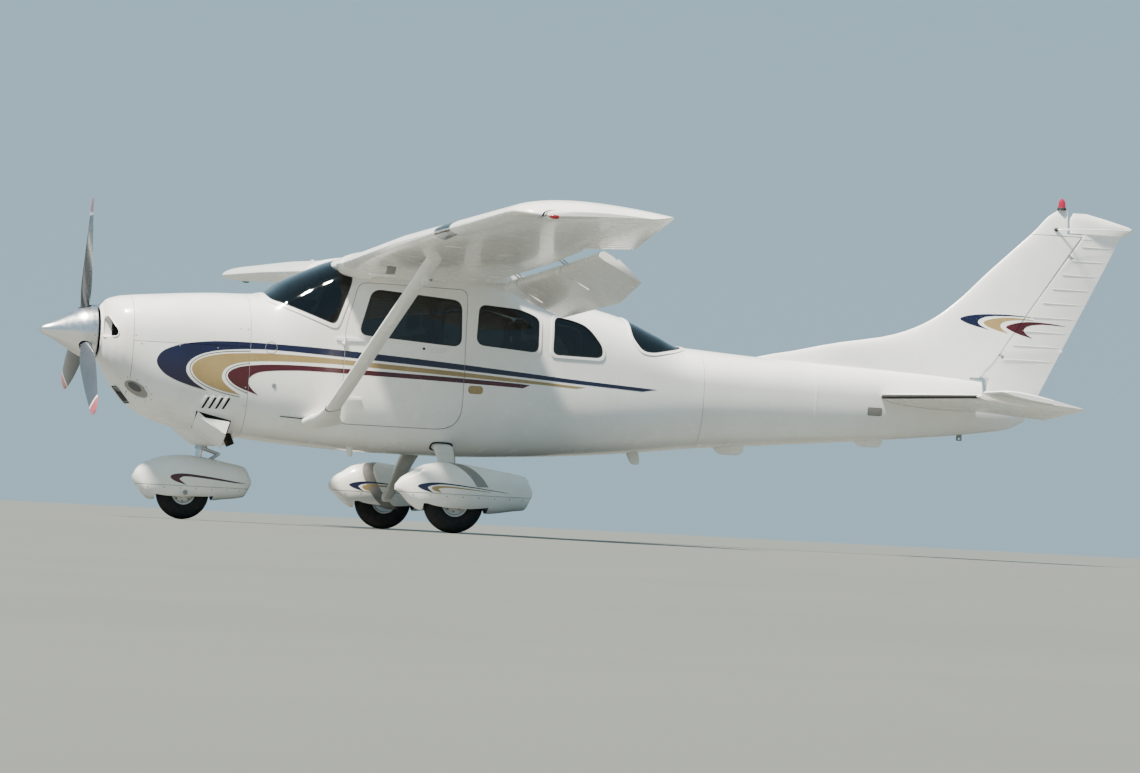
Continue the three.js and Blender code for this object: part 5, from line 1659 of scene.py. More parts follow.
    def track(self, y: float) -> tuple[Mesh, Mesh, Mesh]:
        """Track plate with its curved slot, the flap's pin in it and the notch for it in the flap."""
        station, drop = self.flap_axis
        axis = np.array([self.lead + station, self.height + self.dihedral * (y - self.root) - drop])
        pin_z = self.spots(y, self.share(y, self.flap_pin), 0)[1]
        reach = math.hypot(self.flap_pin - axis[0], pin_z - axis[1])
        start = math.degrees(math.atan2(pin_z - axis[1], self.flap_pin - axis[0]))

        def band(half: float, first: float, last: float) -> np.ndarray:
            turns = np.radians(np.linspace(start + first, start + last, 25))
            arms = np.stack([np.cos(turns), np.sin(turns)], 1)
            return np.concatenate([axis + (reach + half) * arms, axis + (reach - half) * arms[::-1]])

        root = np.array([[self.flap_nose - 0.045, pin_z - 0.022], [self.flap_nose - 0.045, pin_z + 0.014],
                         [self.flap_pin - 0.022, pin_z + 0.014], [self.flap_pin - 0.008, pin_z - 0.010]])
        plate = combined(prism(band(0.015, 5, -45), y - 0.007, y + 0.007), Join.ADD,
                         prism(root, y - 0.0072, y + 0.0072))
        plate = combined(plate, Join.CUT, prism(band(0.0055, 1.6, -41.6), y - 0.009, y + 0.009))
        pin = tube([(self.flap_pin, y - 0.021, pin_z), (self.flap_pin, y + 0.021, pin_z)], 0.005, 14)
        notch = box((self.flap_nose - 0.03, y - 0.016, pin_z - 0.15),
                    (axis[0] + reach + 0.025, y + 0.016, pin_z + 0.15))
        return plate, pin, notch

    def aileron_centre(self, y: float) -> tuple[np.ndarray, float]:
        """Hinge of the aileron at a buttline, and the radius of its nose."""
        t = (y - self.aileron_inner) / (self.aileron_outer - self.aileron_inner)
        station = self.aileron_axis[0] + t * (self.aileron_axis[1] - self.aileron_axis[0])
        share = self.share(y, station)
        return self.spots(y, share, 0), 0.93 * self.depth * float(thickness(share)) * self.at(y)[1]

    def aileron_body(self, ends: tuple[float, float], grow: float = 0.0) -> Mesh:
        """Aileron between buttlines, or its space where it is grown."""
        rings = []
        for y in ends:
            centre, radius = self.aileron_centre(y)
            trail = centre + [0.9, 0] if grow else self.spots(y, 1, 0)
            rings.append(placed(nosed(centre, radius + grow, trail), y))
        return loft(np.array(rings))

    def aileron_brackets(self) -> list[Bracket]:
        """Hinges of the aileron."""
        inner, outer = [self.aileron_centre(y)[0] for y in self.aileron_hinges]
        along = (outer[0] - inner[0], self.aileron_hinges[1] - self.aileron_hinges[0], outer[1] - inner[1])
        found = []
        for y in self.aileron_hinges:
            centre, radius = self.aileron_centre(y)
            found.append(Bracket((centre[0], y, centre[1]), along, radius))
        return found


WING = WingForm()


@dataclass
class Wings:
    """Both wings with their tips, flaps, ailerons, lamps, struts and small fittings."""

    lamp: tuple[float, float, float] = (3.520, 3.900, 0.085)
    # Buttline, share of the chord kept, step aft, droop and depth of the tip's sections
    tip_rows: tuple = (
        (5.200, 1.0, 0.0, 0.0, 1.0), (5.300, 0.985, 0.008, -0.002, 0.93), (5.400, 0.93, 0.040, -0.014, 0.74),
        (5.455, 0.82, 0.100, -0.030, 0.50), (5.486, 0.66, 0.190, -0.044, 0.22),
    )
    strut_root: tuple[float, float, float] = (2.105, 0.600, -0.545)
    strut_top: tuple[float, float] = (2.440, 2.450)

    def build(self) -> None:
        """Builds both sides from starboard bodies."""
        fixed = self.fixed()
        tip = loft(self.tip_rings(0.0))
        flap = moved(self.flap(), WING.flap_turn())
        aileron = self.aileron()
        brackets = [bracket.plate() for bracket in WING.aileron_brackets()]
        tracks = [WING.track(y)[0] for y in WING.flap_tracks]
        strut, foot, joint = self.strut()
        for side in Side:
            word = side.word
            panel = fixed
            if side is Side.LEFT:
                panel = combined(fixed, Join.CUT, self.lamp_space(0.001))
            dress(f"wing_{word}_skin", sided(panel, side), WHITE, replaces=(f"wing_{word}",))
            dress(f"wing_{word}_aileron_brackets", sided(gathered(*brackets), side), STEEL)
            dress(f"flap_{word}_tracks", sided(gathered(*tracks), side), BRUSHED)
            dress(f"wing_tip_{word}_shell", sided(tip, side), WHITE_FAIRING,
                  replaces=(f"wing_tip_{word}",), sharp=40)
            self.tip_paint(side)
            dress(f"flap_{word}_skin", sided(flap, side), WHITE, f"flap_{word}", (f"flap_{word}",))
            dress(f"aileron_{word}_skin", sided(aileron, side), WHITE, f"aileron_{word}",
                  (f"aileron_{word}",))
            dress(f"strut_{word}_tube", sided(strut, side), WHITE,
                  replaces=(f"strut_{word}",), sharp=50)
            dress(f"strut_{word}_cuff", sided(foot, side), WHITE_FAIRING, sharp=50)
            dress(f"strut_{word}_cuff_joint", sided(joint, side), SEAL, sharp=50)
            self.rivets(side)
            self.beads(side)
            self.caps(side)
        self.landing_lamps()
        self.pitot()
        self.root_fairings()

    def fixed(self) -> Mesh:
        """Wing without its flap, aileron and tip."""
        body = WING.body((WING.root + SEAM, WING.taper, WING.rib - SEAM))
        bay = WING.aileron_body((WING.aileron_inner - 0.004, WING.rib + 0.04), 0.005)
        behind = []
        for y in (WING.aileron_inner - 0.004, WING.rib + 0.04):
            x = WING.aileron_centre(y)[0][0]
            behind.append(placed(np.array([[x, 0.3], [x, 1.2], [4.3, 1.2], [4.3, 0.3]]), y))
        between = box((WING.aileron_axis[0] + 0.04, WING.flap_outer, 0.3), (4.3, WING.aileron_inner, 1.1))
        return combined(body, Join.CUT, WING.flap_bay(), bay, loft(np.array(behind)), between)

    def flap(self) -> Mesh:
        """Flap when it is in, with its notches and pins."""
        stops = (WING.flap_inner, WING.taper, WING.flap_outer)
        body = loft(np.array([placed(WING.flap_section(y), y) for y in stops]))
        lead, trail, out = 3.314, 3.747, 0.880
        slope = (out - WING.flap_inner) / (trail - lead)
        corner = prism(np.array([[lead, 0], [trail + 0.4, 0], [trail + 0.4, out + 0.4 * slope],
                                 [lead, WING.flap_inner]]), 0, 1.2, "z")
        parts = [WING.track(y) for y in WING.flap_tracks]
        body = combined(body, Join.CUT, corner, *[part[2] for part in parts])
        return gathered(body, *[part[1] for part in parts])

    def aileron(self) -> Mesh:
        """Aileron with its notches and pins."""
        brackets = WING.aileron_brackets()
        body = WING.aileron_body((WING.aileron_inner, WING.aileron_outer))
        body = combined(body, Join.CUT, *[bracket.space() for bracket in brackets])
        return gathered(body, *[bracket.pin() for bracket in brackets])

    def tip_rings(self, grow: float) -> np.ndarray:
        """Rings of the moulded tip."""
        table = np.array(self.tip_rows)
        stops = np.concatenate([np.linspace(5.2015, 5.40, 7), np.linspace(5.415, 5.486, 8)])
        rings = []
        for y in stops:
            keep, step, droop, deep = row_at(table, y)
            ring = WING.section(y, 30, grow)
            lead = WING.at(y)[0]
            middle = WING.spots(y, 0.5, 0)[1]
            shares = np.clip((ring[:, 0] - lead) / WING.at(y)[1], 0, 1)
            mean = WING.spots(y, shares, 0)[:, 1]
            level = middle + droop + (mean - middle) * keep + (ring[:, 1] - mean) * deep
            rings.append(placed(np.stack([lead + step + (ring[:, 0] - lead) * keep, level], 1), y))
        if grow:
            rings.append(rings[-1] + [0, grow, 0])
        return np.array(rings)

    def tip_paint(self, side: Side) -> None:
        """Painted front of the tip and its lamp."""
        coat = combined(loft(self.tip_rings(0.0008)), Join.CUT, loft(self.tip_rings(0.0)))
        # A thin open ring ahead of the lamp, navy outside and crimson inside
        edge = np.array([(0.130, 0.768), (0.060, 0.766), (0.016, 0.752), (0.0, 0.730), (0.010, 0.708),
                         (0.045, 0.690)])
        for word, finish, start, wide in (("navy", NAVY, 2.452, 0.014), ("crimson", CRIMSON, 2.472, 0.007)):
            outer, inner = flowing(edge + [start, 0]), flowing(edge + [start + wide, 0])
            film = combined(coat, Join.KEEP, prism(np.concatenate([outer, inner[::-1]]), 5.36, 5.6))
            dress(f"wing_tip_{side.word}_{word}_band", sided(film, side), finish, sharp=40)
        lamp = RED_NAV if side is Side.LEFT else GREEN_NAV
        shape = superellipse(24, 2.0)
        rings = []
        for x, size in ((2.500, 0.2), (2.505, 0.55), (2.515, 0.85), (2.530, 1.0), (2.548, 1.0), (2.562, 0.7)):
            rings.append(np.stack([np.full(24, x), 5.478 + 0.019 * size * shape[:, 0],
                                   0.722 + 0.014 * size * shape[:, 1]], 1))
        dress(f"navigation_lamp_{side.word}", sided(loft(np.array(rings)), side), lamp, sharp=50)

    def lamp_space(self, grow: float) -> Mesh:
        """Space of the landing lamps in the starboard leading edge; port uses its mirror."""
        start, end, depth = self.lamp
        return box((WING.lead - 0.05, start - grow, 0), (WING.at(start)[0] + depth + grow, end + grow, 1.2))

    def landing_lamps(self) -> None:
        """Clear cover, grey housing and two lamps in the port leading edge."""
        solid = WING.body((3.4, 4.0))
        cover = combined(combined(solid, Join.CUT, WING.body((3.3, 4.1), -0.003)), Join.KEEP, self.lamp_space(-0.001))
        dress("landing_lamp_window", mirrored(cover), CLEAR, replaces=("landing_lamp_cover",))
        start, end, depth = self.lamp
        back = WING.at(start)[0] + depth
        bowls, glasses = [], []
        for y in (start + 0.11, end - 0.11):
            centre = (back - 0.004, y, WING.spots(y, 0.05, 0)[1])
            bowl = [(0, 0), (0, 0.034), (0.020, 0.039), (0.022, 0.039), (0.022, 0.036), (0.008, 0.020), (0.004, 0)]
            bowls.append(turned(bowl, centre, (-1, 0, 0), 36))
            glasses.append(turned([(0.021, 0), (0.021, 0.036), (0.023, 0.035), (0.027, 0.02), (0.028, 0)], centre,
                                  (-1, 0, 0), 36))
        dress("landing_lamp_bowls", mirrored(gathered(*bowls)), STEEL)
        dress("landing_lamp_glasses", mirrored(gathered(*glasses)), WHITE_LENS)
        plate = box((back - 0.003, start + 0.002, 0.62), (back + 0.0005, end - 0.002, 0.76))
        plate = combined(plate, Join.KEEP, WING.body((3.4, 4.0), -0.004))
        dress("landing_lamp_housing", mirrored(plate), BLADE_GREY)

    def strut(self) -> tuple[Mesh, Mesh, Mesh]:
        """Wing strut of streamlined tube with its lug, the fairing round its foot and the joint above that."""
        x, y = self.strut_top
        top = np.array([x, y, WING.spots(y, WING.share(y, x), -1)[1] + 0.010])
        root = np.array(self.strut_root)
        shape = superellipse(40, 2.0)
        shares = (shape[:, 0] + 1) / 2
        section = np.stack([shape[:, 0], np.sign(shape[:, 1]) * 2.0 * thickness(shares)], 1)

        def ring(centre: Sequence[float], run: float = 0.057, deep: float = 0.024) -> np.ndarray:
            return np.stack([centre[0] + section[:, 0] * run, np.full(40, centre[1]),
                             centre[2] + section[:, 1] * deep], 1)

        foot = root + [0.008, 0.090, 0.055]
        inner = root - [0.050, 0.070, 0.040]
        rings = [ring(spot) for spot in (inner, root, foot, foot + 0.5 * (top - foot), top)]
        lug_at = foot + 0.9 * (top - foot)
        lug = combined(box(lug_at + [-0.022, -0.005, -0.085], lug_at + [0.022, 0.005, 0]), Join.CUT,
                       tube([lug_at + [0, -0.02, -0.069], lug_at + [0, 0.02, -0.069]], 0.009, 20))
        # Centre, half chord and half thickness of the fairing round the foot
        rows = [((2.070, 0.530, -0.589), 0.152, 0.044), ((2.075, 0.545, -0.580), 0.145, 0.041),
                ((2.085, 0.575, -0.562), 0.122, 0.038), ((2.095, 0.600, -0.547), 0.100, 0.036),
                ((2.103, 0.640, -0.521), 0.077, 0.031), ((2.113, 0.700, -0.484), 0.061, 0.027)]
        cuff = loft(np.array([ring(*row) for row in rows]))
        joint = loft(np.array([ring((2.1130, 0.7000, -0.4840), 0.0606, 0.0262),
                               ring((2.1135, 0.7040, -0.4815), 0.0606, 0.0262)]))
        return gathered(loft(np.array(rings)), lug), cuff, joint

    def rivets(self, side: Side) -> None:
        """Rivet rows along the spars and ribs, above and below."""
        heads = []
        for face in (1, -1):
            spars = [((0.62, 0.26), (5.18, 0.26)), ((0.62, 0.085), (5.18, 0.085)), ((0.62, 0.60), (5.18, 0.64))]
            ribs = [((y, 0.03), (y, 0.66)) for y in np.arange(0.70, 5.2, 0.45)]
            if face < 0:
                ribs += [((y, 0.26), (y, 0.62)) for y in np.arange(0.925, 5.1, 0.45)]
            heads.append(riveted(partial(WING.point, side=face), spars + ribs, (0, 0, face), 0.045))
        dress(f"wing_{side.word}_rivets", sided(gathered(*heads), side), WHITE, sharp=80)

    def beads(self, side: Side) -> None:
        """Pressed beads across the skins of the flap and aileron."""
        ridges = []
        for y in np.arange(WING.aileron_inner + 0.10, WING.aileron_outer - 0.05, 0.135):
            centre, radius = WING.aileron_centre(y)
            trail = WING.spots(y, 1, 0)
            for face in (1, -1):
                start = centre + [0.4 * radius, face * radius]
                end = np.array([trail[0], trail[1] + face * 0.002])
                path = [start + t * (end - start) for t in (0.03, 0.10, 0.80, 0.97)]
                ridges.append(tube([(x, y, z - face * 0.0005) for x, z in path], [0.0008, 0.0028, 0.0028, 0.0008], 6))
        dress(f"aileron_{side.word}_beads", sided(gathered(*ridges), side), WHITE, f"aileron_{side.word}", sharp=80)
        ridges = []
        for y in np.arange(WING.flap_inner + 0.30, WING.flap_outer - 0.06, 0.19):
            nose = WING.share(y, WING.flap_nose)
            shares = np.linspace(nose + WING.flap_lip * (1 - nose) + 0.03, 0.975, 7)
            path = placed(WING.spots(y, shares, 1, 0.0006), y)
            ridges.append(tube(path, [0.0008, 0.0026, 0.0026, 0.0026, 0.0026, 0.0024, 0.0008], 6))
        beads = moved(gathered(*ridges), WING.flap_turn())
        dress(f"flap_{side.word}_beads", sided(beads, side), WHITE, f"flap_{side.word}", sharp=80)

    def caps(self, side: Side) -> None:
        """Fuel cap on top, round covers and drains below."""
        below = partial(WING.point, side=-1)
        spot, way = facing_of(partial(WING.point, side=1), 2.05, 0.20, (0, 0, 1))
        ring = [(-0.004, 0), (-0.004, 0.052), (0.003, 0.052), (0.005, 0.046), (0.004, 0.040), (0.0062, 0.038),
                (0.0062, 0)]
        dress(f"fuel_cap_{side.word}", sided(turned(ring, spot, way, 36), side), BRUSHED)
        covers = []
        for y, share in ((1.2, 0.45), (2.05, 0.45), (2.9, 0.45), (3.8, 0.48), (4.6, 0.48), (1.6, 0.16), (3.2, 0.16)):
            spot, way = facing_of(below, y, share, (0, 0, -1))
            covers.append(turned([(-0.002, 0), (-0.002, 0.064), (0.0012, 0.064), (0.0018, 0.060), (0.0018, 0)], spot,
                                 way, 28))
        dress(f"wing_{side.word}_covers", sided(gathered(*covers), side), WHITE)
        spot, way = facing_of(below, 0.72, 0.42, (0, 0, -1))
        drain = turned([(-0.002, 0), (-0.002, 0.014), (0.004, 0.012), (0.010, 0.006), (0.014, 0.0)], spot, way, 16)
        dress(f"fuel_drain_{side.word}", sided(drain, side), STEEL)

    def pitot(self) -> None:
        """Pitot tube on its mast below the port wing."""
        y = 1.500
        base = WING.point(y, 0.13, -1)
        shape = superellipse(16, 2.0)
        mast = loft(np.array([
            np.stack([base[0] + dx + 0.035 * shape[:, 0], y + 0.006 * shape[:, 1], np.full(16, z)], 1)
            for dx, z in ((0.0, base[2] + 0.012), (0.0, base[2] - 0.02), (-0.012, base[2] - 0.062))
        ]))
        nose = (base[0] - 0.165, y, base[2] - 0.064)
        probe = turned([(0, 0), (0, 0.004), (0.02, 0.006), (0.05, 0.0085), (0.185, 0.0085), (0.195, 0.004), (0.196, 0)],
                       nose, (1, 0, 0), 20)
        dress("pitot_mast", mirrored(mast), GREY_BAND, sharp=60)
        dress("pitot_tube", mirrored(probe), WHITE, sharp=60)

    def root_fairings(self) -> None:
        """Rounded fairings over the leading-edge corners at the cabin."""
        nose = np.linspace(0, 1, 12)
        rings = []
        for y, grow, front, lower in ((0.470, 0.002, 0.10, 0.000), (0.520, 0.010, 0.05, 0.008),
                                      (0.575, 0.014, 0.012, 0.014), (0.620, 0.013, 0.004, 0.012),
                                      (0.680, 0.008, 0.001, 0.004), (0.740, 0.0015, 0.0, 0.0)):
            top = WING.spots(max(y, WING.root), 0.16 * nose ** 1.5, 1, -grow)[::-1]
            below = WING.spots(max(y, WING.root), 0.16 * nose[1:] ** 1.5, -1, -grow - lower)
            ring = np.concatenate([top, below])
            ring[:, 0] += front * (1 - (ring[:, 0] - ring[:, 0].min()) / 0.27)
            rings.append(placed(ring - [grow, 0], y))
        for side in Side:
            dress(f"wing_root_fairing_{side.word}", sided(loft(np.array(rings)), side), WHITE_FAIRING,
                  sharp=50)


# Tail


@dataclass(frozen=True)
class StabilizerForm:
    """Planform and section of the horizontal tail."""

    half: float = 1.980
    horn_from: float = 1.500
    lead: float = 6.478
    sweep: float = 0.268
    hinge: float = 7.300
    level: float = -0.165
    lead_level: float = -0.135
    root_trail: float = 7.900
    tip_trail: float = 7.565
    horn_lead: float = 6.895
    depth: float = 0.08
    droop: float = 8.5
    inner: float = 0.135
    hinges: tuple[float, ...] = (0.430, 1.200)

    def lead_at(self, y: float) -> float:
        """Leading edge at a buttline."""
        return self.lead + self.sweep * abs(y)

    def trail_at(self, y: float) -> float:
        """Trailing edge at a buttline."""
        return self.root_trail + (self.tip_trail - self.root_trail) * abs(y) / self.half

    def spots(self, y: float, share: float | np.ndarray, side: float, grow: float = 0.0) -> np.ndarray:
        """Side-view points of the section; side is 1 on top and -1 below."""
        lead, trail = self.lead_at(y), self.trail_at(y)
        slope = (self.level - self.lead_level) / (self.hinge - lead)
        share = np.asarray(share, float)
        front = share < 1e-9
        half = np.where(front, 0, self.depth * thickness(share) * (trail - lead) + grow)
        run = np.where(front, -grow, share * (trail - lead))
        return np.stack([lead + run, self.lead_level + slope * run + side * half], -1)

    def point(self, y: float, share: float, side: float) -> np.ndarray:
        """Point of the surface."""
        x, z = self.spots(y, share, side)
        return np.array([x, y, z])

    def share(self, y: float) -> float:
        """Share of the chord at the hinge."""
        return (self.hinge - self.lead_at(y)) / (self.trail_at(y) - self.lead_at(y))

    def radius(self, y: float) -> float:
        """Radius of the elevator's nose at a buttline."""
        return 0.93 * self.depth * float(thickness(self.share(y))) * (self.trail_at(y) - self.lead_at(y))

    def body(self, grow: float, ends: tuple[float, ...]) -> Mesh:
        """Solid surface between buttlines."""
        shares = spread(26)
        rings = []
        for y in ends:
            top = self.spots(y, shares, 1, grow)[::-1]
            rings.append(placed(np.concatenate([top, self.spots(y, shares[1:], -1, grow)]), y))
        return loft(np.array(rings))

    def slot(self, grow: float) -> Mesh:
        """Space of the surface in the tail cone."""
        body = self.body(grow, (-0.6, 0.0, 0.6))
        body = combined(body, Join.KEEP, box((6, -1, -1), (self.hinge - self.radius(0) - 0.004, 1, 1)))
        tunnel = tube([(self.hinge, -0.3, self.level), (self.hinge, 0.3, self.level)], 0.030, 32)
        return combined(body, Join.ADD, tunnel)

    def noses(self, ends: Sequence[float], grow: float, trail: Callable) -> Mesh:
        """Elevator section between buttlines, or its space where it is grown."""
        centre = (self.hinge, self.level)
        return loft(np.array([
            placed(nosed(centre, self.radius(y) + grow, (trail(y), self.level)), y) for y in ends
        ]))

    def brackets(self) -> list[Bracket]:
        """Hinges of the elevator."""
        return [Bracket((self.hinge, y, self.level), (0, 1, 0), self.radius(y)) for y in self.hinges]


STABILIZER = StabilizerForm()


@dataclass
class Tail:
    """Stabilizer, elevator, fin, rudder and what stands on them."""

    low: tuple[float, float] = (7.430, 0.090)
    high: tuple[float, float] = (8.210, 1.220)
    # Level, leading edge, half thickness at the hinge
    fin_rows: tuple = (
        (0.000, 5.350, 0.046), (0.130, 5.600, 0.050), (0.170, 5.800, 0.052), (0.265, 6.200, 0.052),
        (0.340, 6.600, 0.050), (0.405, 6.800, 0.049), (0.510, 7.000, 0.047), (0.670, 7.200, 0.043),
        (0.870, 7.400, 0.039), (1.060, 7.600, 0.035), (1.250, 7.800, 0.031), (1.360, 7.900, 0.025),
        (1.420, 7.985, 0.009),
    )
    # Level, leading and trailing edge, half thickness of the cap over the fin and rudder
    cap_rows: tuple = (
        (1.243, 8.080, 8.560, 0.034), (1.300, 8.080, 8.610, 0.032), (1.350, 8.084, 8.450, 0.026),
        (1.402, 8.110, 8.220, 0.007),
    )

    def build(self) -> None:
        """Builds all of it."""
        self.stabilizer()
        self.elevator()
        self.fin()
        self.rudder()
        self.stripes()
        self.fittings()

    def hinge_x(self, level: float) -> float:
        """Station of the rudder hinge at a level."""
        return self.low[0] + (self.high[0] - self.low[0]) * (level - self.low[1]) / (self.high[1] - self.low[1])

    def trail(self, level: float) -> float:
        """Trailing edge of the rudder at a level."""
        return 7.910 + 0.49 * level

    def along(self) -> Vector:
        """Direction of the rudder hinge."""
        return Vector((self.high[0] - self.low[0], 0, self.high[1] - self.low[1])).normalized()

    def stabilizer(self) -> None:
        """Fixed surface with its cove, brackets, leading-edge strips and rivets."""
        form = STABILIZER
        ends = (-form.horn_from, 0.0, form.horn_from)
        cove = form.noses((0.0, form.horn_from + 0.02), 0.004, lambda y: 8.4)
        behind = box((form.hinge + 0.002, -3, -0.6), (8.4, 3, 0.3))
        body = combined(form.body(0.0, ends), Join.CUT, cove, mirrored(cove), behind)
        dress("stabilizer_skin", body, WHITE, replaces=("stabilizer",))
        plates = [bracket.plate() for bracket in form.brackets()]
        plates += [mirrored(plate) for plate in plates]
        dress("elevator_brackets", gathered(*plates), STEEL)
        # Thin black strip wrapped round the leading edge
        strip_coat = combined(form.body(0.0009, ends), Join.CUT, form.body(0.0, (-1.6, 0.0, 1.6)))
        edge = combined(strip_coat, Join.KEEP, prism(np.array(
            [(form.lead_at(0.2) - 0.03, 0.20), (form.lead_at(0.2) + 0.016, 0.20),
             (form.lead_at(1.46) + 0.014, 1.46), (form.lead_at(1.46) - 0.03, 1.46)]), -0.3, 0.1, "z"))
        dress("stabilizer_boots", gathered(edge, mirrored(edge)), SEAL)
        heads = []
        for face in (1, -1):
            lines = [((0.15, 0.28), (1.46, 0.28)), ((0.15, 0.52), (1.46, 0.50))]
            lines += [((y, 0.10), (y, 0.53)) for y in (0.22, 0.50, 0.78, 1.06, 1.34)]
            heads.append(riveted(partial(form.point, side=face), lines, (0, 0, face), 0.034))
        both = gathered(*heads)
        dress("stabilizer_rivets", gathered(both, mirrored(both)), WHITE, sharp=80)

    def elevator(self) -> None:
        """Both elevators with their horns, torque tube, beads and trim tab."""
        form = STABILIZER

        def trail(y: float) -> float:
            if y < 0.2:
                return 7.420
            return form.trail_at(y) - 0.040 * max(0.0, (y - form.half + 0.06) / 0.06)

        rows = (form.inner, 0.260, form.horn_from + 0.014, form.half - 0.06, form.half - 0.02, form.half)
        brackets = form.brackets()
        half = combined(form.noses(rows, 0.0, trail), Join.CUT, *[bracket.space() for bracket in brackets])
        rings = []
        shares = spread(16)
        for y, lead_step, size in ((form.horn_from + 0.014, 0.0, 1.0), (form.half - 0.06, 0.0, 1.0),
                                   (form.half - 0.025, 0.008, 0.92), (form.half, 0.030, 0.6)):
            lead = form.horn_lead + lead_step
            chord = trail(y) - lead
            deep = 0.09 * thickness(shares) * chord * size
            top = np.stack([lead + shares * chord, form.level + deep], 1)[::-1]
            below = np.stack([lead + shares * chord, form.level - deep], 1)[1:]
            rings.append(placed(np.concatenate([top, below]), y))
        half = combined(half, Join.ADD, loft(np.array(rings)))
        whole = gathered(half, *[bracket.pin() for bracket in brackets])
        shaft = turned([(-0.2, 0), (-0.2, 0.024), (0.2, 0.024), (0.2, 0)], (form.hinge, 0, form.level), (0, 1, 0), 32)
        turn = spin((form.hinge, 0, form.level), (0, 1, 0), form.droop)
        body = gathered(whole, mirrored(whole))
        dress("elevator_skin", body, WHITE, "elevator", ("elevator",), turn=turn, sharp=28)
        dress("elevator_torque_tube", shaft, STEEL, "elevator", turn=turn)
        ridges = []
        for y in np.arange(0.34, 1.90, 0.135):
            radius = form.radius(y)
            for face in (1, -1):
                start = np.array([form.hinge + 0.4 * radius, form.level + face * radius])
                end = np.array([trail(y), form.level + face * 0.002])
                path = [start + t * (end - start) for t in (0.04, 0.10, 0.82, 0.96)]
                ridges.append(tube([(x, y, z - face * 0.0005) for x, z in path], [0.0008, 0.0027, 0.0027, 0.0008], 6))
        both = gathered(*ridges)
        dress("elevator_beads", gathered(both, mirrored(both)), WHITE, "elevator", turn=turn, sharp=80)

        def on(y: float, share: float, face: int) -> tuple:
            start, end = form.hinge, trail(y)
            half_deep = form.radius(y) * (1 - share) + 0.002 * share
            return (start + share * (end - start), y, form.level + face * (half_deep + 0.0002))

        # Gap round the trim tab and its push rod, on the starboard elevator
        corners = ((0.42, 0.99), (0.42, 0.74), (1.10, 0.72), (1.10, 0.99))
        lines = [tube([on(*corner, face) for corner in corners], 0.0016, 6) for face in (1, -1)]
        dress("trim_tab_gap", gathered(*lines), DARK, "elevator", turn=turn, sharp=80)
        rod = tube([(form.hinge + 0.20, 0.60, form.level - 0.030), (form.hinge + 0.45, 0.60, form.level - 0.020)],
                   0.004, 10)
        dress("trim_tab_rod", rod, STEEL, "elevator", turn=turn)

    def fin_ring(self, level: float, lead: float, half: float, grow: float = 0.0) -> np.ndarray:
        """Ring of the fin at a level."""
        end = max(self.hinge_x(level), lead + 0.06)
        shares = np.array([0, 0.004, 0.012, 0.03, 0.06, 0.1, 0.17, 0.25, 0.37, 0.5, 0.62, 0.75, 0.88, 1.0])
        deep = half * (2.2 * np.sqrt(shares) - 1.2 * shares) + grow
        deep[0] = 0
        x = lead + shares * (end - lead)
        x[0] -= grow
        one = np.stack([x, deep, np.full(14, level)], 1)
        other = np.stack([x[1:], -deep[1:], np.full(13, level)], 1)[::-1]
        return np.concatenate([one, other])

    def fin_body(self, grow: float = 0.0) -> Mesh:
        """Fin with its dorsal part, without coves."""
        table = np.array(self.fin_rows)
        levels = np.unique(np.concatenate([np.linspace(0, 1.36, 46), np.linspace(1.36, 1.42, 7)]))
        leads = smooth_through(table[:, 0], table[:, 1], levels)
        halves = smooth_through(table[:, 0], table[:, 2], levels)
        return loft(np.array([self.fin_ring(z, x, h, grow) for z, x, h in zip(levels, leads, halves)]))

    def fin_depth(self, level: float) -> float:
        """Half thickness of the fin at the hinge."""
        table = np.array(self.fin_rows)
        return float(smooth_through(table[:, 0], table[:, 2], np.array(max(level, 0.0))))

    def rudder_body(self, rows: Sequence[tuple[float, float, float]], grow: float, trail: Callable) -> Mesh:
        """Rudder section through rows of level, hinge and half thickness."""
        stretch = 1 / self.along().z
        rings = []
        for level, centre, half in rows:
            ring = nosed((centre, 0), half + grow, (trail(level), 0), stretch)
            rings.append(np.stack([ring[:, 0], ring[:, 1], np.full(len(ring), level)], 1))
        return loft(np.array(rings))

    def brackets(self) -> list[Bracket]:
        """Hinges of the rudder."""
        along = tuple(self.along())
        return [Bracket((self.hinge_x(z), 0, z), along, self.fin_depth(z)) for z in (0.250, 1.050)]

    def cove(self) -> Mesh:
        """Space of the rudder's nose in the fin."""
        rows = [(z, self.hinge_x(z), self.fin_depth(z) + 0.001) for z in (-0.2, 1.3)]
        return self.rudder_body(rows, 0.012, lambda z: self.hinge_x(z) + 0.9)

    def fin(self) -> None:
        """Fin with its cove, brackets, rivets and dorsal part."""
        cove = self.cove()
        over = box((8.055, -0.1, 1.231), (9.0, 0.1, 1.6))
        foot = box((7.3, -0.2, -0.3), (9.0, 0.2, 0.06))
        body = combined(self.fin_body(), Join.CUT, cove, over, foot)
        dress("fin_skin", body, WHITE, replaces=("fin",), sharp=40)
        dress("rudder_brackets", gathered(*[bracket.plate() for bracket in self.brackets()]), WHITE)
        # Dark joint between the fin and its moulded top
        joint = combined(self.fin_body(0.0006), Join.KEEP, box((7.70, -1, 1.2135), (8.6, 1, 1.2165)))
        joint = combined(joint, Join.CUT, self.fin_body(-0.001), cove)
        dress("fin_top_joint", joint, SEAL, sharp=40)

        def surface(level: float, share: float, face: int) -> np.ndarray:
            table = np.array(self.fin_rows)
            lead = float(smooth_through(table[:, 0], table[:, 1], np.array(level)))
            end = self.hinge_x(level)
            deep = self.fin_depth(level) * (2.2 * math.sqrt(max(share, 0)) - 1.2 * share)
            return np.array([lead + share * (end - lead), face * deep, level])

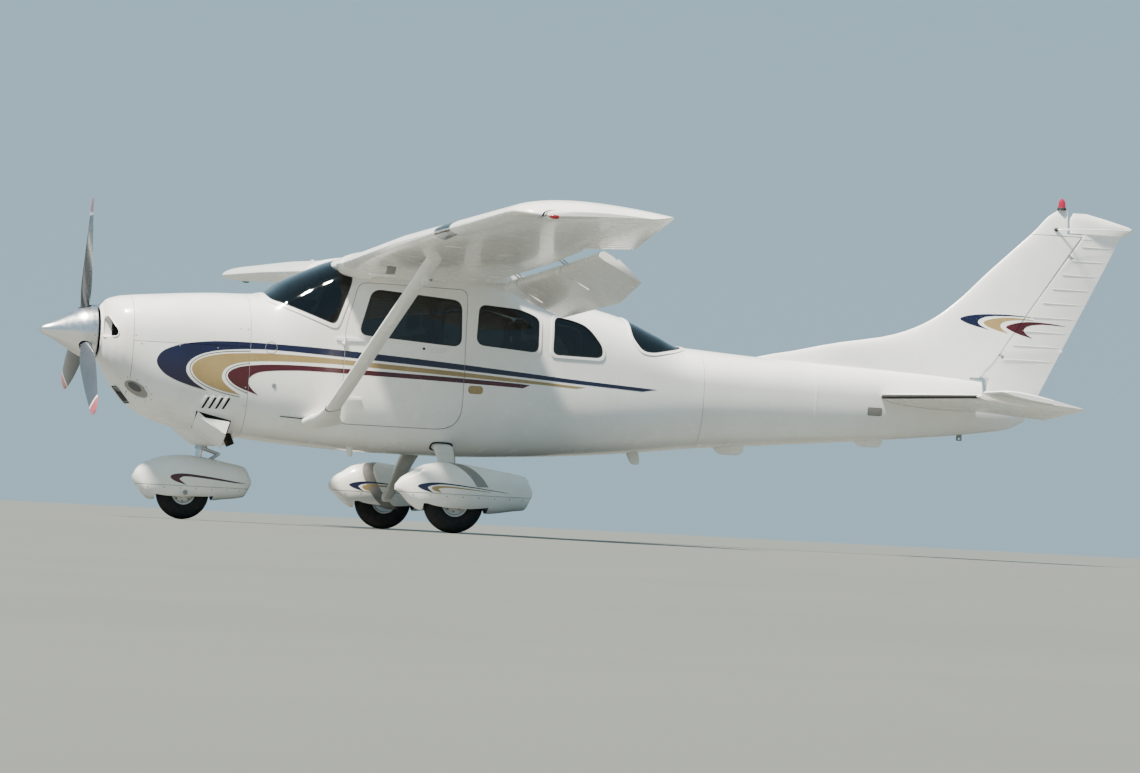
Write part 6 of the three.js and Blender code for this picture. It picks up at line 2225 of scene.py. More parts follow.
        heads = []
        for face in (1, -1):
            lines = [((0.42, 0.44), (1.20, 0.52)), ((0.30, 0.90), (1.20, 0.80))]
            lines += [((z, 0.08), (z, 0.90)) for z in (0.52, 0.76, 0.99, 1.215)]
            heads.append(riveted(partial(surface, face=face), lines, (0, face, 0), 0.034))
        dress("fin_rivets", gathered(*heads), WHITE, sharp=80)

    def rudder(self) -> None:
        """Rudder with its cap, beads and pins."""
        brackets = self.brackets()
        levels = [0.095, 0.3, 0.5, 0.7, 0.9, 1.1, 1.228]
        rows = [(-0.135, 7.480, 0.030), (0.060, 7.492, 0.044)]
        rows += [(z, self.hinge_x(z), 0.95 * self.fin_depth(z)) for z in levels]
        blade = combined(self.rudder_body(rows, 0.0, self.trail), Join.CUT, *[b.space() for b in brackets])
        neck = self.rudder_body([(1.20, self.hinge_x(1.20), 0.032), (1.255, self.hinge_x(1.228), 0.030)], 0.0,
                                lambda z: self.trail(min(z, 1.23)))
        table = np.array(self.cap_rows)
        shape = superellipse(48, 2.6)
        rings = []
        for z in np.concatenate([np.linspace(1.243, 1.35, 8), np.linspace(1.36, 1.402, 6)]):
            lead, trail, half = row_at(table, z)
            x = lead + (trail - lead) * (shape[:, 0] + 1) / 2
            rings.append(np.stack([x, shape[:, 1] * half * (1 - 0.35 * np.maximum(0, shape[:, 0])),
                                   np.full(48, z)], 1))
        dress("rudder_skin", gathered(blade, neck, *[b.pin() for b in brackets]), WHITE, "rudder",
              ("rudder",))
        dress("rudder_cap", loft(np.array(rings)), WHITE_FAIRING, "rudder", sharp=40)
        ridges = []
        for z in np.arange(0.22, 1.16, 0.115):
            for face in (1, -1):
                half = 0.95 * self.fin_depth(z)
                start = np.array([self.hinge_x(z) + 0.5 * half, face * half])
                end = np.array([self.trail(z), face * 0.002])
                path = [start + t * (end - start) for t in (0.04, 0.10, 0.84, 0.96)]
                ridges.append(tube([(x, y - face * 0.0009, z) for x, y in path], [0.0010, 0.0022, 0.0022, 0.0010], 8))
        dress("rudder_beads", gathered(*ridges), WHITE, "rudder", sharp=80)
        lamp = turned([(0, 0), (0, 0.017), (0.012, 0.017), (0.024, 0.012), (0.030, 0)],
                      (self.trail(0.30) - 0.012, 0, 0.30), (1, 0, 0.2), 24)
        dress("tail_lamp", lamp, WHITE_LENS, "rudder", sharp=50)

    def stripes(self) -> None:
        """Crescent stripes on both sides of the fin and rudder."""
        stripes = (
            Stripe("navy", NAVY,
                   ((7.79, 0.560), (7.60, 0.568), (7.42, 0.563), (7.29, 0.548), (7.215, 0.528), (7.20, 0.513),
                    (7.225, 0.495), (7.30, 0.470), (7.44, 0.440)),
                   ((7.44, 0.440), (7.37, 0.470), (7.345, 0.495), (7.36, 0.520), (7.42, 0.543), (7.52, 0.554),
                    (7.65, 0.558), (7.79, 0.556))),
            Stripe("tan", TAN,
                   ((7.81, 0.537), (7.70, 0.545), (7.58, 0.545), (7.48, 0.532), (7.41, 0.512), (7.392, 0.493),
                    (7.42, 0.470), (7.49, 0.445), (7.60, 0.420)),
                   ((7.60, 0.420), (7.545, 0.455), (7.53, 0.480), (7.55, 0.505), (7.61, 0.523), (7.70, 0.533),
                    (7.81, 0.535))),
            Stripe("crimson", CRIMSON,
                   ((8.094, 0.506), (7.95, 0.520), (7.80, 0.524), (7.70, 0.514), (7.62, 0.495), (7.578, 0.471),
                    (7.62, 0.445), (7.70, 0.418), (7.81, 0.392)),
                   ((7.81, 0.392), (7.745, 0.430), (7.73, 0.455), (7.745, 0.478), (7.80, 0.497), (7.90, 0.508),
                    (8.094, 0.503))),
        )
        rows = [(z, self.hinge_x(z), 0.95 * self.fin_depth(z)) for z in (0.3, 0.5, 0.7)]
        fin_coat = combined(self.fin_body(0.0007), Join.KEEP, box((7, -1, 0.36), (8.3, 1, 0.66)))
        fin_coat = combined(fin_coat, Join.CUT, self.fin_body(), self.cove())
        blade = self.rudder_body(rows, 0.0, self.trail)
        rudder_coat = combined(self.rudder_body(rows, 0.0007, self.trail), Join.CUT, blade)
        for stripe in stripes:
            for word, body, coat in (("fin", "airframe", fin_coat), ("rudder", "rudder", rudder_coat)):
                film = combined(coat, Join.KEEP, prism(stripe.outline(), -0.3, 0.3))
                if len(film.polygons):
                    dress(f"{stripe.name}_stripe_{word}", film, stripe.finish, body, sharp=40)

    def fittings(self) -> None:
        """Beacon, rod antennas, tie-down ring and access plates."""
        base = [(1.4195, 0), (1.4195, 0.037), (1.436, 0.035), (1.440, 0.030), (1.440, 0)]
        dress("beacon_base", turned(base, (8.010, 0, 0), (0, 0, 1), 36), PANEL, replaces=("beacon",), sharp=40)
        glass = [(1.438, 0), (1.438, 0.031), (1.445, 0.030), (1.480, 0.027), (1.497, 0.020), (1.508, 0.010), (1.513, 0)]
        dress("beacon_lens", turned(glass, (8.010, 0, 0), (0, 0, 1), 36), RED_LENS, sharp=50)
        rods, bases = [], []
        for side in (-1, 1):
            rods.append(tube(flowing([(7.970, side * 0.032, 1.262), (8.07, side * 0.085, 1.268),
                                      (8.27, side * 0.165, 1.275), (8.50, side * 0.235, 1.280)], 6),
                             np.linspace(0.0055, 0.0030, 19), 12))
            bases.append(turned([(-0.010, 0), (-0.010, 0.020), (0.008, 0.014), (0.014, 0.009), (0.014, 0)],
                                (7.965, side * 0.026, 1.262), (0.35, side * 0.9, 0.05), 20))
        dress("navigation_antenna_rods", gathered(*rods), WHITE_FAIRING, sharp=60)
        dress("navigation_antenna_bases", gathered(*bases), PANEL, sharp=50)
        plates = []
        for side in Side:
            outline = rounded(((6.430, -0.285), (6.430, -0.228), (6.545, -0.228), (6.545, -0.285)), 0.010)
            span = (-FAR, -0.02) if side is Side.LEFT else (0.02, FAR)
            plates.append(combined(HULL.skin(6.38, 6.60, 0.0014, 0.001), Join.KEEP, prism(outline, *span)))
            gap = combined(HULL.skin(6.38, 6.60, 0.0008, 0.001), Join.KEEP, prism(grown(outline, 0.003), *span))
            dress(f"tail_access_gap_{side.word}", gap, SEAL, normals=HULL.normals)
        dress("tail_access_plates", gathered(*plates), GREY_BAND, normals=HULL.normals)
        lug = combined(box((7.228, -0.005, -0.440), (7.272, 0.005, -0.375)), Join.CUT,
                       tube([(7.25, -0.02, -0.424), (7.25, 0.02, -0.424)], 0.009, 20))
        dress("tail_tie_down", lug, STEEL)


# Propeller


@dataclass
class Propeller:
    """Three blades with painted tips, polished spinner and its back plate."""

    station: float = 0.330
    rest: float = 7.5
    # Radius, chord, thickness, blade angle
    rows: tuple = (
        (0.060, 0.084, 0.084, 0), (0.150, 0.086, 0.080, 20), (0.230, 0.110, 0.050, 42), (0.380, 0.158, 0.030, 36),
        (0.620, 0.165, 0.020, 26), (0.850, 0.140, 0.013, 19), (0.970, 0.100, 0.009, 16), (0.995, 0.074, 0.007, 15),
        (1.005, 0.036, 0.005, 15),
    )

    def build(self) -> None:
        """Builds blades and spinner."""
        angles = [self.rest + 120 * i for i in range(3)]
        turns = [spin((0, 0, 0), (1, 0, 0), angle) for angle in angles]
        for word, finish, start, end in (("grey", BLADE_GREY, 0.060, 0.873), ("white_band", BLADE_WHITE, 0.873, 0.898),
                                         ("red_tip", BLADE_RED, 0.898, 1.005)):
            part = self.blade(start, end)
            blades = gathered(*[moved(part, turn) for turn in turns])
            dress(f"propeller_blades_{word}", blades, finish, "propeller", sharp=50)
        hub = turned([(0.285, 0), (0.285, 0.085), (0.404, 0.085), (0.4053, 0.2045), (0.413, 0.2045), (0.413, 0)],
                     (0, 0, 0), (1, 0, 0), 72)
        dress("propeller_hub", hub, BRUSHED, "propeller", ("propeller",))
        profile = flowing([(0.0, 0.0), (0.006, 0.016), (0.025, 0.033), (0.100, 0.068), (0.200, 0.126), (0.300, 0.183),
                           (0.360, 0.199), (0.405, 0.205)], 5)
        outer = [tuple(row) for row in profile]
        inner = [(0.405, 0.2015), (0.360, 0.1955), (0.300, 0.1795), (0.200, 0.1225), (0.100, 0.0645), (0.030, 0.020),
                 (0.012, 0.0)]
        cone = turned([*outer, *inner], (0, 0, 0), (1, 0, 0), 96)
        holes = [moved(tube([(self.station, 0, 0.10), (self.station, 0, 0.28)], 0.050, 40), turn) for turn in turns]
        cone = combined(cone, Join.CUT, *holes)
        dress("spinner_shell", cone, POLISHED, "propeller", ("spinner",), sharp=45)
        heads = []
        for k in range(18):
            turn = math.radians(20 * k + 10 + self.rest)
            way = np.array([0.10, -math.sin(turn), math.cos(turn)])
            spot = np.array([0.393, -0.2043 * math.sin(turn), 0.2043 * math.cos(turn)])
            heads.append(turned([(-0.002, 0), (-0.002, 0.005), (0.001, 0.0045), (0.0015, 0)], spot, way, 10))
        dress("spinner_screws", gathered(*heads), STEEL, "propeller")

    def blade(self, start: float, end: float) -> Mesh:
        """Part of an upright blade between two radii."""
        table = np.array(self.rows)
        radii = np.unique(np.concatenate([np.linspace(start, end, 26), [start, end]]))
        turns = (np.arange(40) + 0.5) * 2 * math.pi / 40
        rings = []
        for r in radii:
            chord, thick, pitch = row_at(table, r)
            share = min(1.0, max(0.0, (r - 0.20) / 0.2))
            run = 0.5 * chord * np.cos(turns)
            # Outboard the forward face is cambered and the aft face nearly flat
            rise = 0.5 * thick * np.sin(turns) * np.where(np.sin(turns) > 0, 1 - 0.35 * share, 1 + 0.15 * share)
            c, s = math.cos(math.radians(pitch)), math.sin(math.radians(pitch))
            rings.append(np.stack([self.station + run * s + rise * c, run * c - rise * s, np.full(40, r)], 1))
        return loft(np.array(rings))


# Landing gear


@dataclass(frozen=True)
class Wheel:
    """Tyre, rim, bolts and axle of one wheel."""

    station: float
    out: float
    radius: float
    width: float
    rim: float
    axle: float

    @property
    def level(self) -> float:
        """Height of the axle."""
        return FLOOR + self.radius * math.cos(math.pi / 28)

    def tyre(self) -> Mesh:
        """Tyre with three grooves round the tread."""
        seat = self.rim
        high = self.radius * math.cos(math.pi / 28)
        side = [(-0.36, 0), (-0.44, 0.10), (-0.49, 0.28), (-0.50, 0.42), (-0.485, 0.58), (-0.44, 0.73), (-0.37, 0.85),
                (-0.30, 0.925)]
        tread = []
        for centre in (-0.2, 0.0, 0.2):
            for step, deep in ((-0.028, 0.0), (-0.020, 0.045), (0.020, 0.045), (0.028, 0.0)):
                at = centre + step
                tread.append((at, 1 - 0.55 * at * at - deep))
        rows = side + tread + [(-s, k) for s, k in side[::-1]] + [side[0]]
        profile = [(s * self.width, seat + k * (high - seat)) for s, k in rows]
        return turned(profile, (self.station, self.out, self.level), (0, 1, 0), 84)

    def wheel(self) -> Mesh:
        """Cast rim with rounded flanges."""
        w, edge, bore = self.width, self.rim, self.axle + 0.0004
        rows = [(-0.40 * w, edge + 0.008), (-0.37 * w, edge + 0.013), (-0.35 * w, edge), (-0.33 * w, edge - 0.006),
                (-0.15 * w, edge - 0.016), (-0.12 * w, 0.050), (-0.14 * w, 0.042), (-0.33 * w, 0.037),
                (-0.34 * w, bore), (0.34 * w, bore),
                (0.33 * w, 0.037), (0.14 * w, 0.042), (0.12 * w, 0.050), (0.15 * w, edge - 0.016),
                (0.33 * w, edge - 0.006), (0.35 * w, edge), (0.37 * w, edge + 0.013), (0.40 * w, edge + 0.008),
                (0.36 * w, edge - 0.004), (0, edge - 0.004), (-0.36 * w, edge - 0.004), (-0.40 * w, edge + 0.008)]
        return turned(rows, (self.station, self.out, self.level), (0, 1, 0), 64)

    def bolts(self) -> Mesh:
        """Ring of tie bolts on both faces of the rim."""
        heads = []
        for k in range(8):
            turn = k * math.pi / 4
            for sign in (-1, 1):
                spot = (self.station + 0.062 * math.cos(turn), self.out + sign * (0.125 * self.width),
                        self.level + 0.062 * math.sin(turn))
                heads.append(turned([(-0.004, 0), (-0.004, 0.007), (0.007, 0.007), (0.009, 0.005), (0.009, 0)], spot,
                                    (0, sign, 0), 6))
        return gathered(*heads)

    def axle_bar(self, start: float, end: float) -> Mesh:
        """Axle between two buttlines."""
        return turned([(start, 0), (start, self.axle), (end, self.axle), (end, 0)],
                      (self.station, 0, self.level), (0, 1, 0), 32)


MAIN_WHEEL = Wheel(2.940, 1.235, 0.2225, 0.165, 0.095, 0.019)
NOSE_WHEEL = Wheel(1.140, 0.0, 0.200, 0.140, 0.085, 0.016)


@dataclass(frozen=True)
class Spat:
    """Moulded wheel fairing, open below. Rows are station, half width, top and bottom."""

    rows: tuple[tuple[float, float, float, float], ...]
    out: float
    split: float

    def shape(self, grow: float = 0.0) -> Mesh:
        """Solid fairing, drawn in where grow is negative."""
        table = np.array(self.rows)
        stations = np.unique(np.concatenate([
            table[0, 0] + (table[1, 0] - table[0, 0]) * np.linspace(0, 1, 7) ** 1.6,
            np.linspace(table[1, 0], table[-2, 0], 36),
            table[-1, 0] - (table[-1, 0] - table[-2, 0]) * np.linspace(0, 1, 7) ** 1.6,
        ]))
        shape = superellipse(56, 2.5)
        rings = []
        for i, x in enumerate(stations):
            half, top, bottom = row_at(table, x)
            end = -grow if i == 0 else grow if i == len(stations) - 1 else 0.0
            tall = max(0.004, (top - bottom) / 2 + grow)
            rings.append(np.stack([np.full(56, x + end), self.out + max(0.004, half + grow) * shape[:, 0],
                                   (top + bottom) / 2 + tall * shape[:, 1]], 1))
        return loft(np.array(rings))

    def shell(self, wheel: Wheel, half: float, *tools: Mesh) -> Mesh:
        """Thin fairing with its wheel opening."""
        hole = box((wheel.station - wheel.radius - 0.02, self.out - half, -1.4),
                   (wheel.station + wheel.radius + 0.02, self.out + half, -1.15))
        inner = self.shape(-0.005)
        return combined(self.shape(), Join.CUT, inner, hole, *tools)

    def coat(self, grow: float) -> Mesh:
        """Thin coat all over the fairing."""
        return combined(self.shape(grow), Join.CUT, self.shape(-0.001))

    def film(self, outline: np.ndarray, grow: float) -> Mesh:
        """Coat of paint on the fairing inside a side-view outline."""
        return combined(self.coat(grow), Join.KEEP, prism(outline, self.out - FAR, self.out + FAR))

    def seam(self) -> Mesh:
        """Thin joint line round the fairing."""
        ends = self.rows[0][0] - 0.05, self.rows[-1][0] + 0.05
        outline = np.array([(ends[0], self.split - 0.0013), (ends[1], self.split - 0.0013),
                            (ends[1], self.split + 0.0013), (ends[0], self.split + 0.0013)])
        return self.film(outline, grow=0.0005)

    def screws(self, stations: Iterable[float], drop: float = 0.018) -> Mesh:
        """Screws along both sides of the joint line."""
        table = np.array(self.rows)
        heads = []
        for x in stations:
            half, top, bottom = row_at(table, x)
            level = self.split - drop
            rise = abs(level - (top + bottom) / 2) / ((top - bottom) / 2)
            wide = half * (1 - rise ** 2.5) ** (1 / 2.5)
            for sign in (-1, 1):
                heads.append(turned([(-0.002, 0), (-0.002, 0.0048), (0.0008, 0.0045), (0.0012, 0)],
                                    (x, self.out + sign * wide, level), (0, sign, 0), 10))
        return gathered(*heads)


MAIN_SPAT = Spat((
    (2.500, 0.022, -1.020, -1.062), (2.545, 0.062, -0.965, -1.092), (2.600, 0.090, -0.930, -1.150),
    (2.700, 0.122, -0.870, -1.205), (2.870, 0.146, -0.840, -1.213), (3.000, 0.148, -0.850, -1.214),
    (3.200, 0.132, -0.877, -1.206), (3.400, 0.098, -0.908, -1.176), (3.470, 0.080, -0.921, -1.166),
    (3.525, 0.040, -1.010, -1.070),
), 1.235, -1.075)
NOSE_SPAT = Spat((
    (0.755, 0.025, -1.050, -1.085), (0.790, 0.070, -0.985, -1.130), (0.885, 0.118, -0.925, -1.220),
    (1.050, 0.142, -0.882, -1.222), (1.140, 0.145, -0.877, -1.217), (1.330, 0.138, -0.893, -1.212),
    (1.450, 0.112, -0.916, -1.197), (1.600, 0.070, -0.947, -1.172), (1.655, 0.030, -1.035, -1.080),
), 0.0, -1.110)


@dataclass
class MainGear:
    """Spring legs with their axles, brakes, wheels and fairings."""

    # Buttline, station, level, half chord, half thickness of the leg
    leg_rows: tuple = (
        (0.330, 3.005, -0.708, 0.075, 0.024), (0.480, 3.005, -0.722, 0.075, 0.028),
        (1.060, 2.950, -1.088, 0.036, 0.020), (1.145, 2.941, -1.138, 0.032, 0.020),
    )

    def build(self) -> None:
        """Builds both sides."""
        for side in Side:
            self.leg(side)
            self.wheel(side)
            self.spat(side)

    def leg_body(self, grow: float = 0.0) -> Mesh:
        """Tapered leg of spring steel."""
        table = np.array(self.leg_rows)
        table[-1, 2] = MAIN_WHEEL.level
        shape = superellipse(36, 3.2)
        rings = []
        for y in np.concatenate([np.linspace(0.33, 0.48, 4), np.linspace(0.52, 1.145, 22)]):
            x, z, wide, deep = row_at(table, y)
            rings.append(np.stack([x + (wide + grow) * shape[:, 0], np.full(36, y),
                                   z + (deep + grow) * shape[:, 1]], 1))
        return loft(np.array(rings))

    def leg(self, side: Side) -> None:
        """Leg, axle, brake line, and the seal plate at the belly."""
        axle = MAIN_WHEEL.axle_bar(1.135, 1.335)
        dress(f"main_leg_{side.word}_spring", sided(self.leg_body(), side), WHITE_LEG,
              replaces=(f"main_leg_{side.word}",), sharp=50)
        dress(f"main_axle_{side.word}", sided(axle, side), STEEL)
        table = np.array(self.leg_rows)
        path = []
        for y in np.linspace(0.50, 1.09, 12):
            x, z, wide, _ = row_at(table, y)
            path.append((x + wide + 0.003, y, z))
        dress(f"brake_line_{side.word}", sided(tube(path, 0.0035, 10), side), STEEL, sharp=60)
        # Rubber seal where the leg leaves the belly, and the plate round it
        root = combined(self.leg_body(0.012), Join.KEEP, HULL.skin(2.88, 3.13, 0.006, 0.010, 0.01))
        dress(f"leg_seal_{side.word}", sided(root, side), SEAL, sharp=40)
        outline = rounded(((2.86, 0.36), (2.86, 0.60), (3.15, 0.60), (3.15, 0.36)), 0.03)
        plate = combined(HULL.skin(2.80, 3.21, 0.0016, 0.001, 0.01), Join.KEEP, prism(outline, -0.9, -0.60, "z"))
        plate = combined(plate, Join.CUT, self.leg_body(0.010))
        dress(f"leg_cover_{side.word}", sided(plate, side), WHITE, normals=HULL.normals)

    def wheel(self, side: Side) -> None:
        """Tyre, rim with bolts and brake disc."""
        word = side.word
        body = f"main_wheel_{word}"
        dress(f"main_tyre_{word}_rubber", sided(MAIN_WHEEL.tyre(), side), TYRE, body,
              (f"main_tyre_{word}",), sharp=35)
        dress(f"main_rim_{word}_casting", sided(MAIN_WHEEL.wheel(), side), WHITE_LEG, body,
              (f"main_rim_{word}",), sharp=40)
        dress(f"main_rim_{word}_bolts", sided(MAIN_WHEEL.bolts(), side), STEEL, body, sharp=30)
        disc = [(-0.066, 0.045), (-0.066, 0.085), (-0.060, 0.085), (-0.060, 0.045), (-0.066, 0.045)]
        centre = (MAIN_WHEEL.station, MAIN_WHEEL.out, MAIN_WHEEL.level)
        dress(f"brake_disc_{word}", sided(turned(disc, centre, (0, 1, 0), 64), side), BRUSHED, body,
              sharp=40)

    def spat(self, side: Side) -> None:
        """Fairing with its stripes, joint, screws and the cuff round the leg."""
        word = side.word
        shell = MAIN_SPAT.shell(MAIN_WHEEL, 0.106, self.leg_body(0.001))
        dress(f"main_spat_{word}_shell", sided(shell, side), WHITE_FAIRING,
              replaces=(f"main_spat_{word}",), sharp=45)
        cuff = combined(self.leg_body(0.010), Join.KEEP, MAIN_SPAT.shape(0.012))
        cuff = combined(cuff, Join.CUT, MAIN_SPAT.shape(-0.004), self.leg_body(0.0008))
        dress(f"main_spat_{word}_cuff", sided(cuff, side), WHITE_FAIRING, sharp=45)
        dress(f"main_spat_{word}_joint", sided(MAIN_SPAT.seam(), side), SEAL, sharp=45)
        screws = MAIN_SPAT.screws((2.62, 2.74, 2.86, 2.98, 3.10, 3.22, 3.34, 3.44))
        dress(f"main_spat_{word}_screws", sided(screws, side), STEEL)
        for i, stripe in enumerate(SPAT_SWEEPS):
            film = MAIN_SPAT.film(stripe.outline(), grow=0.0007 + 0.0003 * i)
            dress(f"main_spat_{word}_{stripe.name}_sweep", sided(film, side), stripe.finish, sharp=45)
        # Grey band round the middle, leaning aft and outwards
        slab = prism(np.array([(2.793, -0.80), (2.893, -0.80), (3.169, -1.25), (3.069, -1.25)]), 1.0, 1.5)
        lean = Matrix.Identity(4)
        lean[0][1], lean[0][3] = 1.08, -1.08 * MAIN_SPAT.out
        band = combined(MAIN_SPAT.coat(0.0006), Join.KEEP, moved(slab, lean))
        band = combined(band, Join.CUT, box((2.5, MAIN_SPAT.out, -1.3), (3.6, 1.6, -1.013)))
        dress(f"main_spat_{word}_grey_band", sided(band, side), GREY_BAND, sharp=45)


@dataclass
class NoseGear:
    """Shock strut with torque links, fork, wheel and fairing, all steered with the fork."""

    at: tuple[float, float] = (1.257, -0.800)
    rake: float = 6.6
    piston: float = 0.027
    cylinder: float = 0.038
    knee: tuple[float, float, float] = (1.400, 0.0, -0.860)

    def along(self, run: float) -> np.ndarray:
        """Point of the strut's middle line."""
        return np.array([self.at[0] + run * math.sin(math.radians(self.rake)), 0,
                         self.at[1] + run * math.cos(math.radians(self.rake))])

    def bar(self, start: float, end: float, radius: float, sides: int = 40) -> Mesh:
        """Round bar along the strut."""
        return tube([self.along(start), self.along(end)], radius, sides)

    def cylinder_hole(self) -> Mesh:
        """Space of the cylinder in the cowl."""
        return self.bar(-0.06, 0.30, self.cylinder + 0.003)

    def build(self) -> None:
        """Builds the strut, the fork, the wheel and the fairing."""
        body = "nose_leg"
        dress("nose_strut_cylinder", gathered(self.bar(0, 0.37, self.cylinder), self.bar(0.010, 0.030, 0.044)),
              WHITE_LEG, replaces=("nose_strut",), sharp=50)
        dress("nose_strut_collar", self.bar(-0.030, -0.0006, self.cylinder - 0.001), BRUSHED, body)
        dress("nose_strut_piston", self.bar(-0.148, -0.012, self.piston), CHROME, body,
              ("nose_fork",))
        crown = box((1.170, -0.09, -0.954), (1.290, 0.09, -0.934))
        legs = [tube([(1.225, side * 0.085, -0.940), (NOSE_WHEEL.station, side * 0.085, NOSE_WHEEL.level)], 0.0105, 20,
                     flat=0.8) for side in (-1, 1)]
        axle = NOSE_WHEEL.axle_bar(-0.096, 0.096)
        dress("nose_fork_frame", gathered(crown, *legs, axle), WHITE_LEG, body, sharp=40)
        knee = np.array(self.knee)
        links = []
        for side in (-1, 1):
            for spot in (self.along(-0.014), np.array([1.275, 0, -0.940])):
                start = spot + [0, side * 0.016, 0]
                links.append(tube([start, knee + [0, side * 0.010, 0]], 0.0105, 12, flat=1.4))
        pins = [tube([knee + [0, -0.028, 0], knee + [0, 0.028, 0]], 0.010, 20),
                tube([self.along(-0.014) + [0, -0.034, 0], self.along(-0.014) + [0, 0.034, 0]], 0.010, 20)]
        dress("torque_links", gathered(*links, *pins), BRUSHED, body, sharp=40)
        self.wheel()
        self.spat(body)

    def wheel(self) -> None:
        """Tyre and rim of the nose wheel."""
        dress("nose_tyre_rubber", NOSE_WHEEL.tyre(), TYRE, "nose_wheel", ("nose_tyre",), sharp=35)
        dress("nose_rim_casting", NOSE_WHEEL.wheel(), WHITE_LEG, "nose_wheel", ("nose_rim",), sharp=40)
        dress("nose_rim_bolts", NOSE_WHEEL.bolts(), STEEL, "nose_wheel", sharp=30)

    def spat(self, leg: str) -> None:
        """Fairing with its sweep and its outline, joint, screws and axle caps."""
        knee = np.array(self.knee)
        gaps = [self.bar(-0.17, 0.02, self.piston + 0.002), tube([knee, (1.275, 0, -0.940)], 0.020, 24),
                tube([self.along(-0.014), knee], 0.020, 24)]
        shell = NOSE_SPAT.shell(NOSE_WHEEL, 0.098, *gaps)
        dress("nose_spat_shell", shell, WHITE_FAIRING, leg, ("nose_spat",), sharp=45)
        dress("nose_spat_joint", NOSE_SPAT.seam(), SEAL, leg, sharp=45)
        screws = NOSE_SPAT.screws((0.86, 0.98, 1.10, 1.22, 1.34, 1.46, 1.56))
        caps = [turned([(-0.006, 0), (-0.006, 0.017), (0.0015, 0.016), (0.004, 0.008), (0.004, 0)],
                       (NOSE_WHEEL.station, side * 0.143, NOSE_WHEEL.level), (0, side, 0), 24) for side in (-1, 1)]
        dress("nose_spat_screws", gathered(screws, *caps), STEEL, leg)
        outline = NOSE_SWEEP.outline()
        dress("nose_spat_crimson_sweep", NOSE_SPAT.film(outline, grow=0.0010), CRIMSON, leg, sharp=45)
        dress("nose_spat_sweep_edge", NOSE_SPAT.film(grown(outline, 0.0035), grow=0.0006), BLACK_PAINT, leg, sharp=45)


NOSE_GEAR = NoseGear()


# Livery


@dataclass(frozen=True)
class Stripe:
    """Sweeping stripe of the fuselage side, by its outer and inner edge from the aft end round the front."""

    name: str
    finish: Enamel
    outer: tuple[tuple[float, float], ...]
    inner: tuple[tuple[float, float], ...]

    def outline(self) -> np.ndarray:
        """Side-view outline, from the aft tip round the front to the lower tail and back inside."""
        outer = flowing(self.outer, 8)
        inner = flowing(self.inner, 8)
        return np.concatenate([outer, inner[1:-1] if np.allclose(outer[-1], inner[0]) else inner])


STRIPES = (
    Stripe(
        "navy", NAVY,
        ((4.66, -0.196), (4.0, -0.160), (3.5, -0.125), (3.0, -0.090), (2.5, -0.060), (2.0, -0.036), (1.6, -0.026),
         (1.36, -0.026), (1.20, -0.034), (1.04, -0.056), (0.93, -0.087), (0.85, -0.130), (0.817, -0.185),
         (0.826, -0.232), (0.872, -0.284), (0.95, -0.328), (1.06, -0.366), (1.203, -0.402)),
        ((1.203, -0.402), (1.11, -0.348), (1.055, -0.298), (1.035, -0.250), (1.045, -0.205), (1.09, -0.158),
         (1.18, -0.118), (1.32, -0.090), (1.60, -0.072), (2.0, -0.085), (2.5, -0.110), (3.0, -0.135),
         (3.5, -0.162), (4.0, -0.190), (4.62, -0.221)),
    ),
    Stripe(
        "tan", TAN,
        ((4.08, -0.212), (3.5, -0.178), (3.0, -0.150), (2.5, -0.128), (2.0, -0.105), (1.66, -0.100), (1.42, -0.110),
         (1.26, -0.128), (1.15, -0.160), (1.088, -0.205), (1.078, -0.252), (1.110, -0.302), (1.185, -0.352),
         (1.30, -0.392), (1.445, -0.420)),
        ((1.445, -0.420), (1.36, -0.368), (1.312, -0.322), (1.300, -0.280), (1.320, -0.232), (1.37, -0.198),
         (1.47, -0.172), (1.70, -0.154), (2.15, -0.150), (2.5, -0.165), (3.0, -0.185), (3.5, -0.205),
         (4.08, -0.228)),
    ),
    Stripe(
        "crimson", CRIMSON,
        ((3.64, -0.222), (3.5, -0.213), (3.0, -0.197), (2.5, -0.186), (2.0, -0.176), (1.76, -0.177), (1.57, -0.188),
         (1.44, -0.208), (1.365, -0.240), (1.342, -0.282), (1.372, -0.326), (1.44, -0.366), (1.578, -0.414)),
        ((1.578, -0.414), (1.525, -0.368), (1.500, -0.328), (1.505, -0.290), (1.545, -0.256), (1.62, -0.234),
         (1.78, -0.219), (2.0, -0.213), (2.5, -0.222), (3.0, -0.232), (3.5, -0.245), (3.59, -0.249)),
    ),
)


SPAT_SWEEPS = (
    Stripe("navy", NAVY,
           ((3.34, -1.048), (3.05, -1.015), (2.82, -0.995), (2.70, -1.003), (2.645, -1.025), (2.68, -1.050),
            (2.76, -1.072)),
           ((2.76, -1.072), (2.725, -1.045), (2.72, -1.030), (2.76, -1.015), (2.85, -1.008), (3.05, -1.022),
            (3.34, -1.051))),
    Stripe("tan", TAN,
           ((3.20, -1.046), (3.0, -1.028), (2.86, -1.018), (2.775, -1.022), (2.745, -1.035), (2.765, -1.055),
            (2.82, -1.068)),
           ((2.82, -1.068), (2.80, -1.048), (2.80, -1.038), (2.86, -1.030), (3.0, -1.036), (3.20, -1.049))),
)
NOSE_SWEEP = Stripe(
    "crimson", CRIMSON,
    ((1.56, -1.068), (1.34, -1.040), (1.14, -1.022), (1.05, -1.030), (1.025, -1.050), (1.06, -1.075), (1.13, -1.095)),
    ((1.13, -1.095), (1.09, -1.066), (1.095, -1.050), (1.14, -1.036), (1.29, -1.045), (1.56, -1.071)),
)


